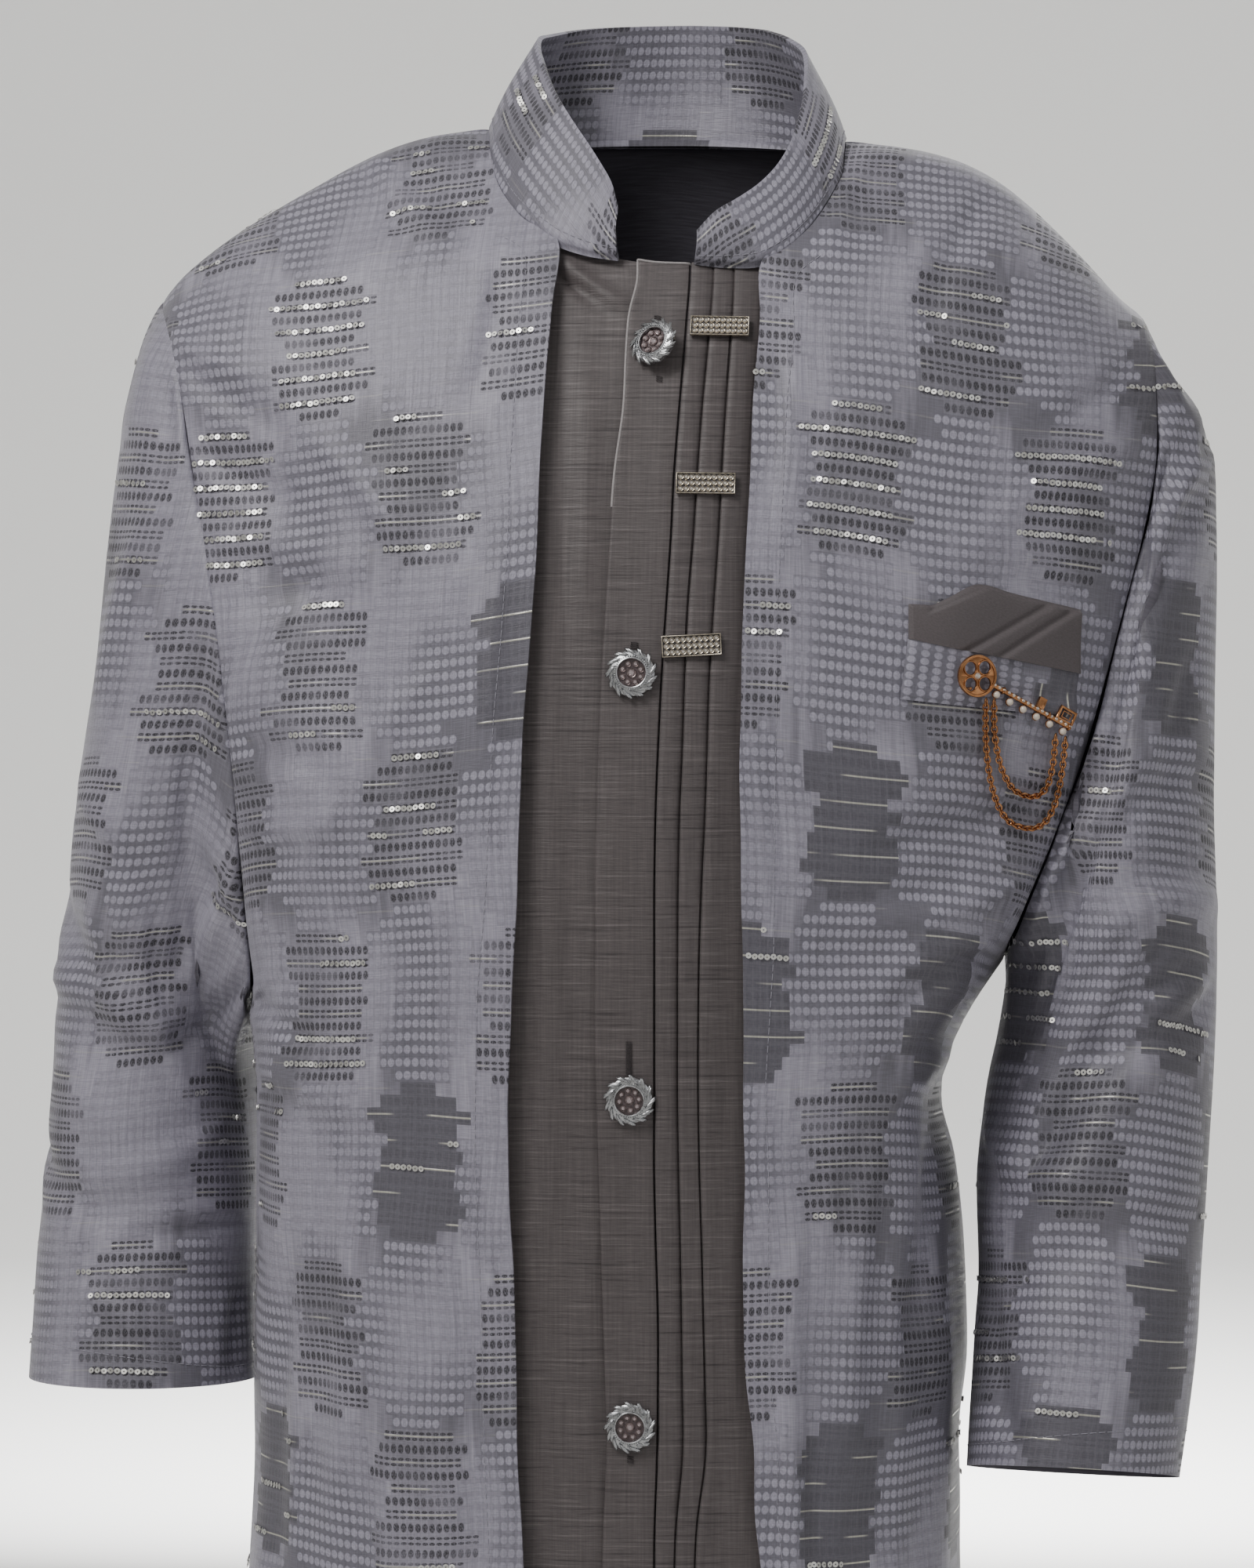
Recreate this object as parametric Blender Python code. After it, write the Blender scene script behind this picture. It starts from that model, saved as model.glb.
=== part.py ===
"""A sherwani coat as it hangs when worn: open patterned coat over a plain inner front.

Metres. The coat's front faces -Y, up is +Z, and the wearer's left is at +X. The origin
is the middle of the neck's base, where the coat rests on its wearer.
"""

import math

import bpy
import numpy as np
from mathutils import Matrix

for thing in list(bpy.data.objects):
    bpy.data.objects.remove(thing)

whole = bpy.data.objects.new("sherwani_coat", None)
bpy.context.scene.collection.objects.link(whole)

# Walls, gaps and small sizes
COAT_WALL = 0.0022
INNER_WALL = 0.0016
COLLAR_WALL = 0.0024
SEAM_GAP = 0.0004
NECK_GAP = 0.0005
INNER_SINK = 0.0060
UNDER_SINK = 0.0084
TUCK_HEIGHT = 0.0016
COAT_LENGTH = 0.95
SHARP_ANGLE = math.radians(40.0)

# How the outline was measured: one sight line for each measured point
SIGHT_FOCAL = 6303.0
SIGHT_FAR = 2.2
SIGHT_TURN = math.radians(5.0)
SIGHT_SIDE = -0.0185
SIGHT_HEIGHT = -0.281
SIGHT_MID_X = 800.0
SIGHT_MID_Y = 1000.0


def seen(px, py, depth):
    """The point on the sight line through (px, py) that lies at y = depth."""
    right = (px - SIGHT_MID_X) / SIGHT_FOCAL
    up = (SIGHT_MID_Y - py) / SIGHT_FOCAL
    sine = math.sin(SIGHT_TURN)
    cosine = math.cos(SIGHT_TURN)
    ray = np.array((-sine + right * cosine, cosine + right * sine, up))
    eye = np.array((SIGHT_SIDE + SIGHT_FAR * sine, -SIGHT_FAR * cosine, SIGHT_HEIGHT))
    return eye + ray * ((depth - eye[1]) / ray[1])


def level(py):
    """Height of a measured row on the plane of the shoulders."""
    return seen(SIGHT_MID_X, py, 0.0)[2]


class Curve:
    """Smooth curve through (position, value) pairs, without overshoot."""

    def __init__(self, *pairs):
        pairs = sorted(pairs)
        self.at = np.array([pair[0] for pair in pairs], float)
        self.value = np.array([pair[1] for pair in pairs], float)
        step = np.diff(self.at)
        slope = np.diff(self.value) / step
        tangent = np.zeros(len(pairs))
        tangent[0] = slope[0]
        tangent[-1] = slope[-1]
        for index in range(1, len(pairs) - 1):
            before, after = slope[index - 1], slope[index]
            if before * after > 0:
                first = 2 * step[index] + step[index - 1]
                second = step[index] + 2 * step[index - 1]
                tangent[index] = (first + second) / (first / before + second / after)
        self.tangent = tangent

    def __call__(self, place):
        place = min(max(place, self.at[0]), self.at[-1])
        index = int(np.searchsorted(self.at, place, side="right")) - 1
        index = min(max(index, 0), len(self.at) - 2)
        width = self.at[index + 1] - self.at[index]
        t = (place - self.at[index]) / width
        near, far = self.value[index], self.value[index + 1]
        lean_near = self.tangent[index] * width
        lean_far = self.tangent[index + 1] * width
        return (
            near * (1 + 2 * t) * (1 - t) ** 2
            + lean_near * t * (1 - t) ** 2
            + far * t * t * (3 - 2 * t)
            + lean_far * t * t * (t - 1)
        )


def soft(t):
    """Ease from 0 to 1."""
    t = min(max(t, 0.0), 1.0)
    return t * t * (3 - 2 * t)


def unit(vector):
    return vector / max(np.linalg.norm(vector), 1e-12)


# The body's form under the coat, by height
FRONT_DEEP = Curve(
    (0.03, 0.036), (0.0, 0.044), (-0.02, 0.050), (-0.035, 0.058), (-0.05, 0.069),
    (-0.07, 0.079), (-0.10, 0.092), (-0.15, 0.106),
    (-0.20, 0.116), (-0.27, 0.124), (-0.35, 0.127), (-0.45, 0.123), (-0.56, 0.124),
    (-0.66, 0.130), (-0.80, 0.142), (-0.95, 0.156),
)
BACK_DEEP = Curve(
    (0.03, 0.055), (0.0, 0.066), (-0.05, 0.086), (-0.10, 0.098), (-0.16, 0.103),
    (-0.25, 0.099), (-0.35, 0.091), (-0.45, 0.087), (-0.56, 0.096), (-0.66, 0.106),
    (-0.80, 0.117), (-0.95, 0.128),
)
FRONT_MIDDLE = Curve(
    (0.03, -0.004), (-0.05, -0.004), (-0.15, -0.006), (-0.30, -0.010), (-0.45, -0.013),
    (-0.65, -0.014), (-0.95, -0.014),
)
LEFT_SIDE_PX = Curve(
    (150, 120), (395, 130), (600, 180), (800, 226), (1000, 266), (1150, 300), (1260, 323),
    (1400, 333), (1550, 332), (1700, 332), (1850, 333), (2000, 334),
)
RIGHT_SIDE_PX = Curve(
    (150, 1560), (405, 1556), (560, 1546), (700, 1524), (870, 1478), (1010, 1422),
    (1140, 1345), (1210, 1288), (1270, 1248), (1330, 1214), (1385, 1200), (1440, 1212),
    (1500, 1223), (1620, 1232), (1700, 1234), (1760, 1232), (1830, 1222), (1900, 1224),
    (2000, 1220),
)
# The broad form behind the sides' own rounding
LEFT_WIDE_PX = Curve(
    (150, 130), (395, 132), (800, 196), (1260, 284), (1600, 296), (2000, 294),
)
RIGHT_WIDE_PX = Curve(
    (150, 1550), (405, 1545), (800, 1492), (1260, 1352), (1600, 1282), (2000, 1268),
)
SIDE_ROUND = {
    -1: Curve((150, 0.026), (2000, 0.026)),
    1: Curve((150, 0.026), (950, 0.026), (1120, 0.015), (1320, 0.015), (1500, 0.026), (2000, 0.026)),
}
LAST_SEEN_ROW = 2000.0
HEM_SPREAD = 0.024


def row_of(z):
    return SIGHT_MID_Y - (z - SIGHT_HEIGHT) * SIGHT_FOCAL / SIGHT_FAR


def side_x(z, hand, wide=False):
    """x of the side seam at a height; hand is -1 for the wearer's right, +1 for the left."""
    py = row_of(z)
    if wide:
        table = LEFT_WIDE_PX if hand < 0 else RIGHT_WIDE_PX
    else:
        table = LEFT_SIDE_PX if hand < 0 else RIGHT_SIDE_PX
    x = seen(table(py), min(py, LAST_SEEN_ROW), 0.0)[0]
    below = soft((py - LAST_SEEN_ROW + 200) / 1200.0) * HEM_SPREAD
    return x + hand * below


# The shoulder line, seen from the front
RIDGE = Curve(*[
    (float(seen(px, py, 0.0)[0]), float(seen(px, py, 0.0)[2]))
    for px, py in (
        (150, 405), (195, 392), (230, 357), (270, 322), (320, 286), (370, 256), (420, 227),
        (470, 200), (520, 180), (570, 168), (628, 163), (700, 130), (853, 90), (1000, 130),
        (1078, 178), (1130, 183), (1180, 191), (1230, 206), (1280, 233), (1330, 276),
        (1380, 326), (1420, 371), (1445, 394), (1461, 405), (1500, 420),
    )
])
RIDGE_ROUND = 0.070
SIDE_POWER = 2.4


def side_share(x, z):
    """How far out x lies between the middle and the side seam, 0 to 1, and the hand."""
    middle = FRONT_MIDDLE(z)
    hand = -1 if x < middle else 1
    return min(abs((x - middle) / (side_x(z, hand) - middle)), 1.0), hand


def flatness(x, z):
    """Share of the full depth left at x: broad form times the turn at the side seam."""
    middle = FRONT_MIDDLE(z)
    hand = -1 if x < middle else 1
    wide = min(abs((x - middle) / (side_x(z, hand, True) - middle)), 1.0)
    broad = (1 - wide ** SIDE_POWER) ** (1 / SIDE_POWER)
    turn = SIDE_ROUND[hand](row_of(z))
    left = min(max(hand * (side_x(z, hand) - x), 0.0) / turn, 1.0)
    return broad * math.sqrt(max(1 - (1 - left) ** 2, 0.0))


def rounding(x, z, reach=RIDGE_ROUND):
    drop = min(max(RIDGE(x) - z, 0.0) / reach, 1.0)
    return math.sqrt(max(1 - (1 - drop) ** 2, 0.0))


# Largest folds of the fronts: x and z of both ends, half width, height
FRONT_FOLDS = (
    (-0.190, -0.130, -0.120, -0.235, 0.016, -0.0045),
    (-0.205, -0.190, -0.140, -0.300, 0.018, 0.0040),
    (-0.165, -0.095, -0.095, -0.190, 0.018, 0.0030),
    (-0.175, -0.360, -0.110, -0.330, 0.016, -0.0035),
    (-0.165, -0.480, -0.130, -0.900, 0.020, -0.0045),
    (-0.105, -0.520, -0.085, -0.930, 0.022, 0.0040),
    (0.185, -0.130, 0.125, -0.215, 0.018, 0.0035),
    (0.180, -0.275, 0.110, -0.330, 0.016, -0.0045),
    (0.165, -0.300, 0.100, -0.385, 0.016, 0.0045),
    (0.125, -0.375, 0.070, -0.350, 0.014, -0.0035),
    (0.105, -0.440, 0.085, -0.900, 0.018, -0.0050),
    (0.065, -0.500, 0.060, -0.930, 0.020, 0.0040),
)
BACK_FOLDS = (
    (-0.150, -0.130, -0.090, -0.330, 0.020, -0.0040),
    (0.135, -0.120, 0.080, -0.300, 0.020, -0.0040),
    (-0.020, -0.400, -0.025, -0.920, 0.028, 0.0050),
    (-0.095, -0.430, -0.110, -0.930, 0.022, -0.0055),
    (0.055, -0.450, 0.060, -0.930, 0.024, -0.0050),
    (0.100, -0.400, 0.110, -0.900, 0.020, 0.0045),
)


def folded(x, z, folds):
    """Height of the soft folds at a place, counted outwards."""
    total = 0.0
    for x0, z0, x1, z1, wide, high in folds:
        along_x, along_z = x1 - x0, z1 - z0
        square = along_x * along_x + along_z * along_z
        t = ((x - x0) * along_x + (z - z0) * along_z) / square
        off = math.hypot(x - x0 - along_x * t, z - z0 - along_z * t) / wide
        ends = soft((t + 0.25) / 0.45) * soft((1.25 - t) / 0.45)
        total += high * math.exp(-off * off) * ends
    return total


def front_y(x, z):
    flat = flatness(x, z)
    deep = FRONT_DEEP(z) * flat * rounding(x, z)
    return -deep - folded(x, z, FRONT_FOLDS) * min(flat * 1.6, 1.0)


def back_y(x, z):
    flat = flatness(x, z)
    deep = BACK_DEEP(z) * flat * rounding(x, z, 0.06)
    return deep + folded(x, z, BACK_FOLDS) * min(flat * 1.6, 1.0)


def on_front(px, py):
    """The point of the front's outer face on a sight line."""
    depth = -0.10
    for turn in range(8):
        point = seen(px, py, depth)
        depth = 0.5 * (depth + front_y(point[0], point[2]))
    point[1] = front_y(point[0], point[2])
    return point


def front_out(point):
    """Outward direction of the front's face at a point of it."""
    step = 0.003
    x, z = point[0], point[2]
    across = (front_y(x + step, z) - front_y(x - step, z)) / (2 * step)
    down = (front_y(x, z + step) - front_y(x, z - step)) / (2 * step)
    across = min(max(across, -1.6), 1.6)
    down = min(max(down, -1.6), 1.6)
    return unit(np.array((across, -1.0, down)))


def over_front(px, py, out):
    point = on_front(px, py)
    return point + front_out(point) * out


# Lines of the fronts, by measured row
EDGE_RIGHT = Curve(
    (305, 712), (380, 705), (450, 700), (520, 692), (600, 688), (680, 684), (760, 680),
    (840, 675), (920, 668), (1000, 664), (1100, 660), (1200, 655), (1350, 650), (1450, 648),
    (1550, 650), (1650, 655), (1750, 658), (1850, 660), (1930, 665), (2000, 668),
    (2400, 676), (3100, 680),
)
EDGE_LEFT = Curve(
    (330, 972), (400, 970), (480, 962), (560, 958), (650, 955), (750, 950), (850, 947),
    (950, 943), (1100, 945), (1200, 948), (1300, 950), (1400, 948), (1500, 950),
    (1600, 948), (1700, 950), (1790, 955), (1850, 962), (1900, 965), (1950, 963),
    (2000, 972), (2400, 984), (3100, 992),
)
PLACKET_EDGE = Curve(
    (343, 813), (370, 808), (400, 800), (430, 797), (470, 797), (520, 793), (560, 787),
    (620, 780), (700, 775), (780, 770), (860, 765), (930, 762), (1000, 760), (1100, 757),
    (1300, 757), (1500, 762), (1700, 768), (1850, 772), (1950, 768), (2000, 765),
    (3100, 772),
)
TUCKS = (
    Curve(
        (335, 882), (378, 878), (440, 873), (500, 868), (600, 860), (700, 855), (800, 848),
        (900, 842), (1000, 838), (1100, 835), (1500, 835), (1700, 840), (1800, 840),
        (2000, 835), (3100, 842),
    ),
    Curve(
        (335, 912), (400, 907), (480, 900), (560, 893), (650, 888), (750, 880), (850, 875),
        (950, 872), (1050, 868), (1200, 866), (1400, 866), (1600, 870), (1850, 873),
        (2000, 862), (3100, 872),
    ),
    Curve(
        (335, 938), (400, 935), (500, 928), (600, 922), (700, 917), (800, 910), (900, 905),
        (1000, 903), (1100, 898), (1300, 893), (1400, 893), (1600, 898), (1850, 903),
        (2000, 888), (3100, 900),
    ),
)
INNER_TOP = Curve(
    (560, 262), (600, 270), (640, 280), (680, 288), (712, 294), (735, 302), (760, 311),
    (785, 318), (810, 323), (840, 327), (881, 328), (912, 325), (940, 323), (972, 318),
    (1010, 310), (1040, 304), (1080, 296),
)
ARMHOLE_RIGHT = (
    (195, 392), (207, 408), (215, 430), (222, 470), (235, 540), (245, 600), (252, 660),
    (262, 720), (272, 780), (280, 860), (290, 950), (299, 1040), (306, 1130), (313, 1200),
    (318, 1235), (321, 1262),
)
ARMHOLE_LEFT = (
    (1461, 405), (1470, 430), (1476, 470), (1479, 560), (1470, 640), (1456, 700),
    (1440, 760), (1425, 830), (1409, 880), (1393, 940), (1369, 1010), (1344, 1075),
    (1320, 1135), (1302, 1175), (1289, 1200), (1284, 1214),
)

# Rows and columns of the panels
ARM_ROWS = 14
UNDERARM_ROW = 10
SKIRT_ROWS = 20
SHOULDER_STEPS = 10
NECK_STEPS = 8
ARM_SHARES = (
    0.0, 0.025, 0.06, 0.105, 0.165, 0.24, 0.325, 0.42, 0.52, 0.62, 0.72, 0.81, 0.885, 0.945, 1.0,
)
# How far the row at the underarm sags below the armhole
UNDERARM_SAG = 0.010
NECK_ROWS = 5
NECK_SHARES = (0.0, 0.14, 0.32, 0.54, 0.78, 1.0)


def spread(points, shares):
    """Points at given shares of a smooth line's length through the given points."""
    points = np.array(points, float)
    run = np.concatenate(([0.0], np.cumsum(np.linalg.norm(np.diff(points, axis=0), axis=1))))
    curves = [Curve(*zip(run, points[:, axis])) for axis in range(3)]
    fine = np.linspace(0, run[-1], 400)
    dense = np.array([[curve(place) for curve in curves] for place in fine])
    length = np.concatenate(([0.0], np.cumsum(np.linalg.norm(np.diff(dense, axis=0), axis=1))))
    return [
        np.array([np.interp(share * length[-1], length, dense[:, axis]) for axis in range(3)])
        for share in shares
    ]


def armhole(hand):
    """The armhole's front half, shoulder tip to underarm, on the coat's outer face."""
    measured = ARMHOLE_RIGHT if hand < 0 else ARMHOLE_LEFT
    points = [on_front(px, py) for px, py in measured]
    points[0][1] = 0.0
    points[0][2] = RIDGE(points[0][0])
    points[-1] = seen(measured[-1][0], measured[-1][1], 0.0)
    points[-1][0] = side_x(points[-1][2], hand)
    return spread(points, ARM_SHARES)


def armhole_back(hand):
    """The back half of the armhole, a little nearer to the middle than the front half."""
    front = armhole(hand)
    tip, under = front[0], front[-1]
    points = []
    for index, point in enumerate(front):
        share = index / ARM_ROWS
        inward = 0.007 * math.sin(math.pi * share)
        x = point[0] - hand * inward
        z = point[2]
        points.append(np.array((x, back_y(x, z), z)))
    points[0] = tip.copy()
    points[-1] = under.copy()
    return spread(points, ARM_SHARES)


ARM_FRONT = {-1: armhole(-1), 1: armhole(1)}
ARM_BACK = {-1: armhole_back(-1), 1: armhole_back(1)}

# The collar's seam on the body, from each front end to the shoulder seam
SEAM_RIGHT = (
    (712, 307), (690, 293), (665, 276), (647, 255), (634, 231), (627, 205), (626, 175),
)
SEAM_LEFT = (
    (972, 332), (998, 319), (1020, 302), (1044, 275), (1061, 249), (1075, 218), (1080, 186),
)
BACK_NECK = (
    (-0.0665, 0.0080), (-0.0420, 0.0095), (0.0, 0.0100), (0.0430, 0.0080), (0.0685, 0.0050),
)


def neck_line(hand):
    measured = SEAM_RIGHT if hand < 0 else SEAM_LEFT
    points = [on_front(px, py) for px, py in measured[:-1]]
    last = seen(*measured[-1], 0.0)
    last[2] = RIDGE(last[0])
    return points + [last]


def back_neck():
    """The back's neckline, wearer's right to left, between the two shoulder seams."""
    points = [neck_line(-1)[-1]]
    points += [np.array((x, back_y(x, z), z)) for x, z in BACK_NECK]
    points.append(neck_line(1)[-1])
    return spread(points, [index / NECK_STEPS for index in range(NECK_STEPS + 1)])


def sag(j, u):
    """Sag of the rows round the armhole's bottom, u from the front edge to the side."""
    rise = soft((j - UNDERARM_ROW) / (ARM_ROWS - UNDERARM_ROW))
    settle = 1 - soft((j - ARM_ROWS) / 6.0)
    return UNDERARM_SAG * rise * settle * soft((u - 0.35) / 0.45) * soft((1 - u) / 0.12)


def side_grid(hand):
    """Points of one front panel, shoulder seam to hem, opening edge to side."""
    edge = EDGE_RIGHT if hand < 0 else EDGE_LEFT
    neck = neck_line(hand)[::-1]
    inner = spread(neck, NECK_SHARES)
    corner_row = 307.0 if hand < 0 else 332.0
    arm = ARM_FRONT[hand]
    under_row = row_of(arm[-1][2])
    for index in range(1, ARM_ROWS - NECK_ROWS + 1):
        share = index / (ARM_ROWS - NECK_ROWS)
        py = corner_row + (under_row - corner_row) * (0.72 * share + 0.28 * share * share)
        inner.append(on_front(edge(py), py))
    hem = -COAT_LENGTH
    outer = list(arm)
    start_in, start_out = inner[-1][2], arm[-1][2]
    for index in range(1, SKIRT_ROWS + 1):
        share = index / SKIRT_ROWS
        z_in = start_in + (hem - start_in) * share
        z_out = start_out + (hem - start_out) * share
        py = row_of(z_in)
        for turn in range(4):
            point = on_front(edge(py), py)
            py += (point[2] - z_in) * SIGHT_FOCAL / SIGHT_FAR
        inner.append(point)
        outer.append(np.array((side_x(z_out, hand), 0.0, z_out)))

    rows = []
    for j in range(ARM_ROWS + SKIRT_ROWS + 1):
        first, last = inner[j], outer[j]
        row = []
        angle_in = math.asin(side_share(first[0], first[2])[0])
        angle_out = math.asin(side_share(last[0], last[2])[0])
        if j > ARM_ROWS:
            angle_out = math.pi / 2
        for i in range(SHOULDER_STEPS + 1):
            u = i / SHOULDER_STEPS
            if i == 0:
                row.append(first.copy())
                continue
            if i == SHOULDER_STEPS:
                row.append(last.copy())
                continue
            z = first[2] + (last[2] - first[2]) * u
            angle = angle_in + (angle_out - angle_in) * u
            middle = FRONT_MIDDLE(z)
            x = middle + (side_x(z, hand) - middle) * math.sin(angle)
            if j == 0:
                x = first[0] + (last[0] - first[0]) * u
            arched = RIDGE(x) - RIDGE(first[0]) * (1 - u) - RIDGE(last[0]) * u
            z += arched * (1 - soft(j / (ARM_ROWS - 1))) - sag(j, u)
            if j == 0:
                row.append(np.array((x, 0.0, RIDGE(x))))
                continue
            middle = FRONT_MIDDLE(z)
            x = middle + (side_x(z, hand) - middle) * math.sin(angle)
            row.append(np.array((x, front_y(x, z), z)))
        rows.append(row)
    return np.array(rows)


def back_grid():
    """Points of the back, from the wearer's right side to the left."""
    right, left = side_top(-1), side_top(1)
    columns = 2 * SHOULDER_STEPS + NECK_STEPS
    top = list(right)
    top += back_neck()[1:-1]
    top += list(left[::-1])
    rows = [top]
    hem = -COAT_LENGTH
    shares_top = []
    for point in top:
        share, hand = side_share(point[0], point[2])
        shares_top.append(hand * math.asin(share))
    for j in range(1, ARM_ROWS + SKIRT_ROWS + 1):
        if j <= ARM_ROWS:
            ends = (ARM_BACK[-1][j], ARM_BACK[1][j])
        else:
            share = (j - ARM_ROWS) / SKIRT_ROWS
            ends = []
            for hand in (-1, 1):
                start = ARM_BACK[hand][-1][2]
                z = start + (hem - start) * share
                ends.append(np.array((side_x(z, hand), 0.0, z)))
        angles = []
        for hand, end in zip((-1, 1), ends):
            angle = math.asin(side_share(end[0], end[2])[0])
            angles.append(hand * (math.pi / 2 if j > ARM_ROWS else angle))
        row = []
        blend = soft(j / (ARM_ROWS + 4))
        for i in range(columns + 1):
            u = i / columns
            if i == 0:
                row.append(ends[0].copy())
                continue
            if i == columns:
                row.append(ends[1].copy())
                continue
            even = angles[0] + (angles[1] - angles[0]) * u
            near = shares_top[i] - shares_top[0] * (1 - u) - shares_top[-1] * u
            angle = even + near * (1 - blend)
            low = ends[0][2] + (ends[1][2] - ends[0][2]) * u
            drop = top[i][2] - (top[0][2] * (1 - u) + top[-1][2] * u)
            z = low + drop * (1 - soft(j / (ARM_ROWS + 1))) - sag(j, abs(2 * u - 1))
            middle = FRONT_MIDDLE(z)
            hand = -1 if angle < 0 else 1
            x = middle + (side_x(z, hand) - middle) * math.sin(abs(angle))
            y = back_y(x, z)
            close = 1 - soft(j / 4)
            y = y * (1 - close) + max(y, top[i][1] + 0.004 * j) * close
            row.append(np.array((x, y, z)))
        rows.append(row)
    return np.array(rows)


def side_top(hand):
    """Shoulder seam points, tip to neck, shared by the front and the back."""
    grid = side_grid(hand)
    return [point.copy() for point in grid[0][::-1]]


def normals(grid, closed=False, flip=False):
    """Outward directions of a grid of points."""
    if closed:
        across = np.roll(grid, -1, axis=1) - np.roll(grid, 1, axis=1)
    else:
        across = np.gradient(grid, axis=1)
    down = np.gradient(grid, axis=0)
    out = np.cross(down, across)
    out /= np.maximum(np.linalg.norm(out, axis=2, keepdims=True), 1e-12)
    return -out if flip else out


def mitre(own, other):
    """Direction shared by two walls at their seam, long enough to keep the thickness."""
    shared = unit(own + other)
    return shared / max(float(np.dot(shared, own)), 0.72)


def mix(first, second, share):
    return first * (1 - share) + second * share


def body_side(y, z, hand):
    """x of the coat body's outer face at a depth and height near the side."""
    inside, outside = side_x(z, hand) - hand * 0.07, side_x(z, hand)
    for turn in range(14):
        middle = 0.5 * (inside + outside)
        reach = -front_y(middle, z) if y < 0 else back_y(middle, z)
        if reach > abs(y):
            inside = middle
        else:
            outside = middle
    return outside


# Finishes: base colour, roughness, metallic
FINISHES = {
    "patterned": ((0.33, 0.31, 0.39), 0.58, 0.0),
    "plain": ((0.105, 0.092, 0.097), 0.62, 0.0),
    "silver": ((0.62, 0.61, 0.60), 0.30, 1.0),
    "stones": ((0.74, 0.71, 0.66), 0.18, 0.9),
    "copper": ((0.55, 0.28, 0.13), 0.30, 1.0),
}
FINISH_OF = (
    ("inner", "plain"), ("placket", "plain"), ("pocket_square", "plain"),
    ("button", "silver"), ("bar", "stones"), ("brooch", "copper"), ("", "patterned"),
)


def finish_for(name):
    """A material of its own for each piece."""
    kind = next(finish for start, finish in FINISH_OF if name.startswith(start))
    colour, roughness, metallic = FINISHES[kind]
    made = bpy.data.materials.new(name)
    made.use_nodes = True
    shader = made.node_tree.nodes["Principled BSDF"]
    shader.inputs["Base Color"].default_value = (*colour, 1.0)
    shader.inputs["Roughness"].default_value = roughness
    shader.inputs["Metallic"].default_value = metallic
    return made


def mesh_object(name, points, faces):
    data = bpy.data.meshes.new(name)
    data.from_pydata([tuple(point) for point in points], [], faces)
    data.validate()
    data.materials.append(finish_for(name))
    data.shade_smooth()
    data.set_sharp_from_angle(angle=SHARP_ANGLE)
    made = bpy.data.objects.new(name, data)
    bpy.context.scene.collection.objects.link(made)
    made.parent = whole
    return made


def placed(made, frame):
    """Stand a piece modelled about its own origin at its place on the front."""
    middle, right, up, normal = frame
    turn = Matrix((right, up, normal)).transposed().to_4x4()
    made.location = middle
    made.rotation_euler = turn.to_euler()
    return made


def wall(name, outer, inner, closed=False):
    """A closed wall between two grids of points."""
    rows, columns = outer.shape[:2]
    points = list(outer.reshape(-1, 3)) + list(inner.reshape(-1, 3))
    half = rows * columns
    faces = []
    spans = columns if closed else columns - 1
    for j in range(rows - 1):
        for i in range(spans):
            a = j * columns + i
            b = j * columns + (i + 1) % columns
            c = b + columns
            d = a + columns
            faces.append((a, d, c, b))
            faces.append((half + a, half + b, half + c, half + d))
    for i in range(spans):
        a, b = i, (i + 1) % columns
        faces.append((a, b, half + b, half + a))
        low = (rows - 1) * columns
        faces.append((low + b, low + a, half + low + a, half + low + b))
    if not closed:
        for j in range(rows - 1):
            a, d = j * columns, (j + 1) * columns
            faces.append((d, a, half + a, half + d))
            b, c = a + columns - 1, d + columns - 1
            faces.append((b, c, half + c, half + b))
    made = mesh_object(name, points, faces)
    return face_out(made)


def face_out(made):
    """Turn all faces outward by the sign of the volume."""
    data = made.data
    volume = 0.0
    for face in data.polygons:
        corners = [np.array(data.vertices[index].co) for index in face.vertices]
        for index in range(1, len(corners) - 1):
            volume += np.dot(corners[0], np.cross(corners[index], corners[index + 1]))
    if volume < 0:
        data.flip_normals()
    return made


def drawn_in(grid, gap, top=False, bottom=False, left=False, right=False):
    """The grid with chosen borders drawn in by a gap."""
    result = grid.copy()
    if top:
        for i in range(grid.shape[1]):
            result[0, i] += unit(grid[1, i] - grid[0, i]) * gap
    if bottom:
        for i in range(grid.shape[1]):
            result[-1, i] += unit(grid[-2, i] - grid[-1, i]) * gap
    if left:
        for j in range(grid.shape[0]):
            result[j, 0] += unit(result[j, 1] - result[j, 0]) * gap
    if right:
        for j in range(grid.shape[0]):
            result[j, -1] += unit(result[j, -2] - result[j, -1]) * gap
    return result


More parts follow.
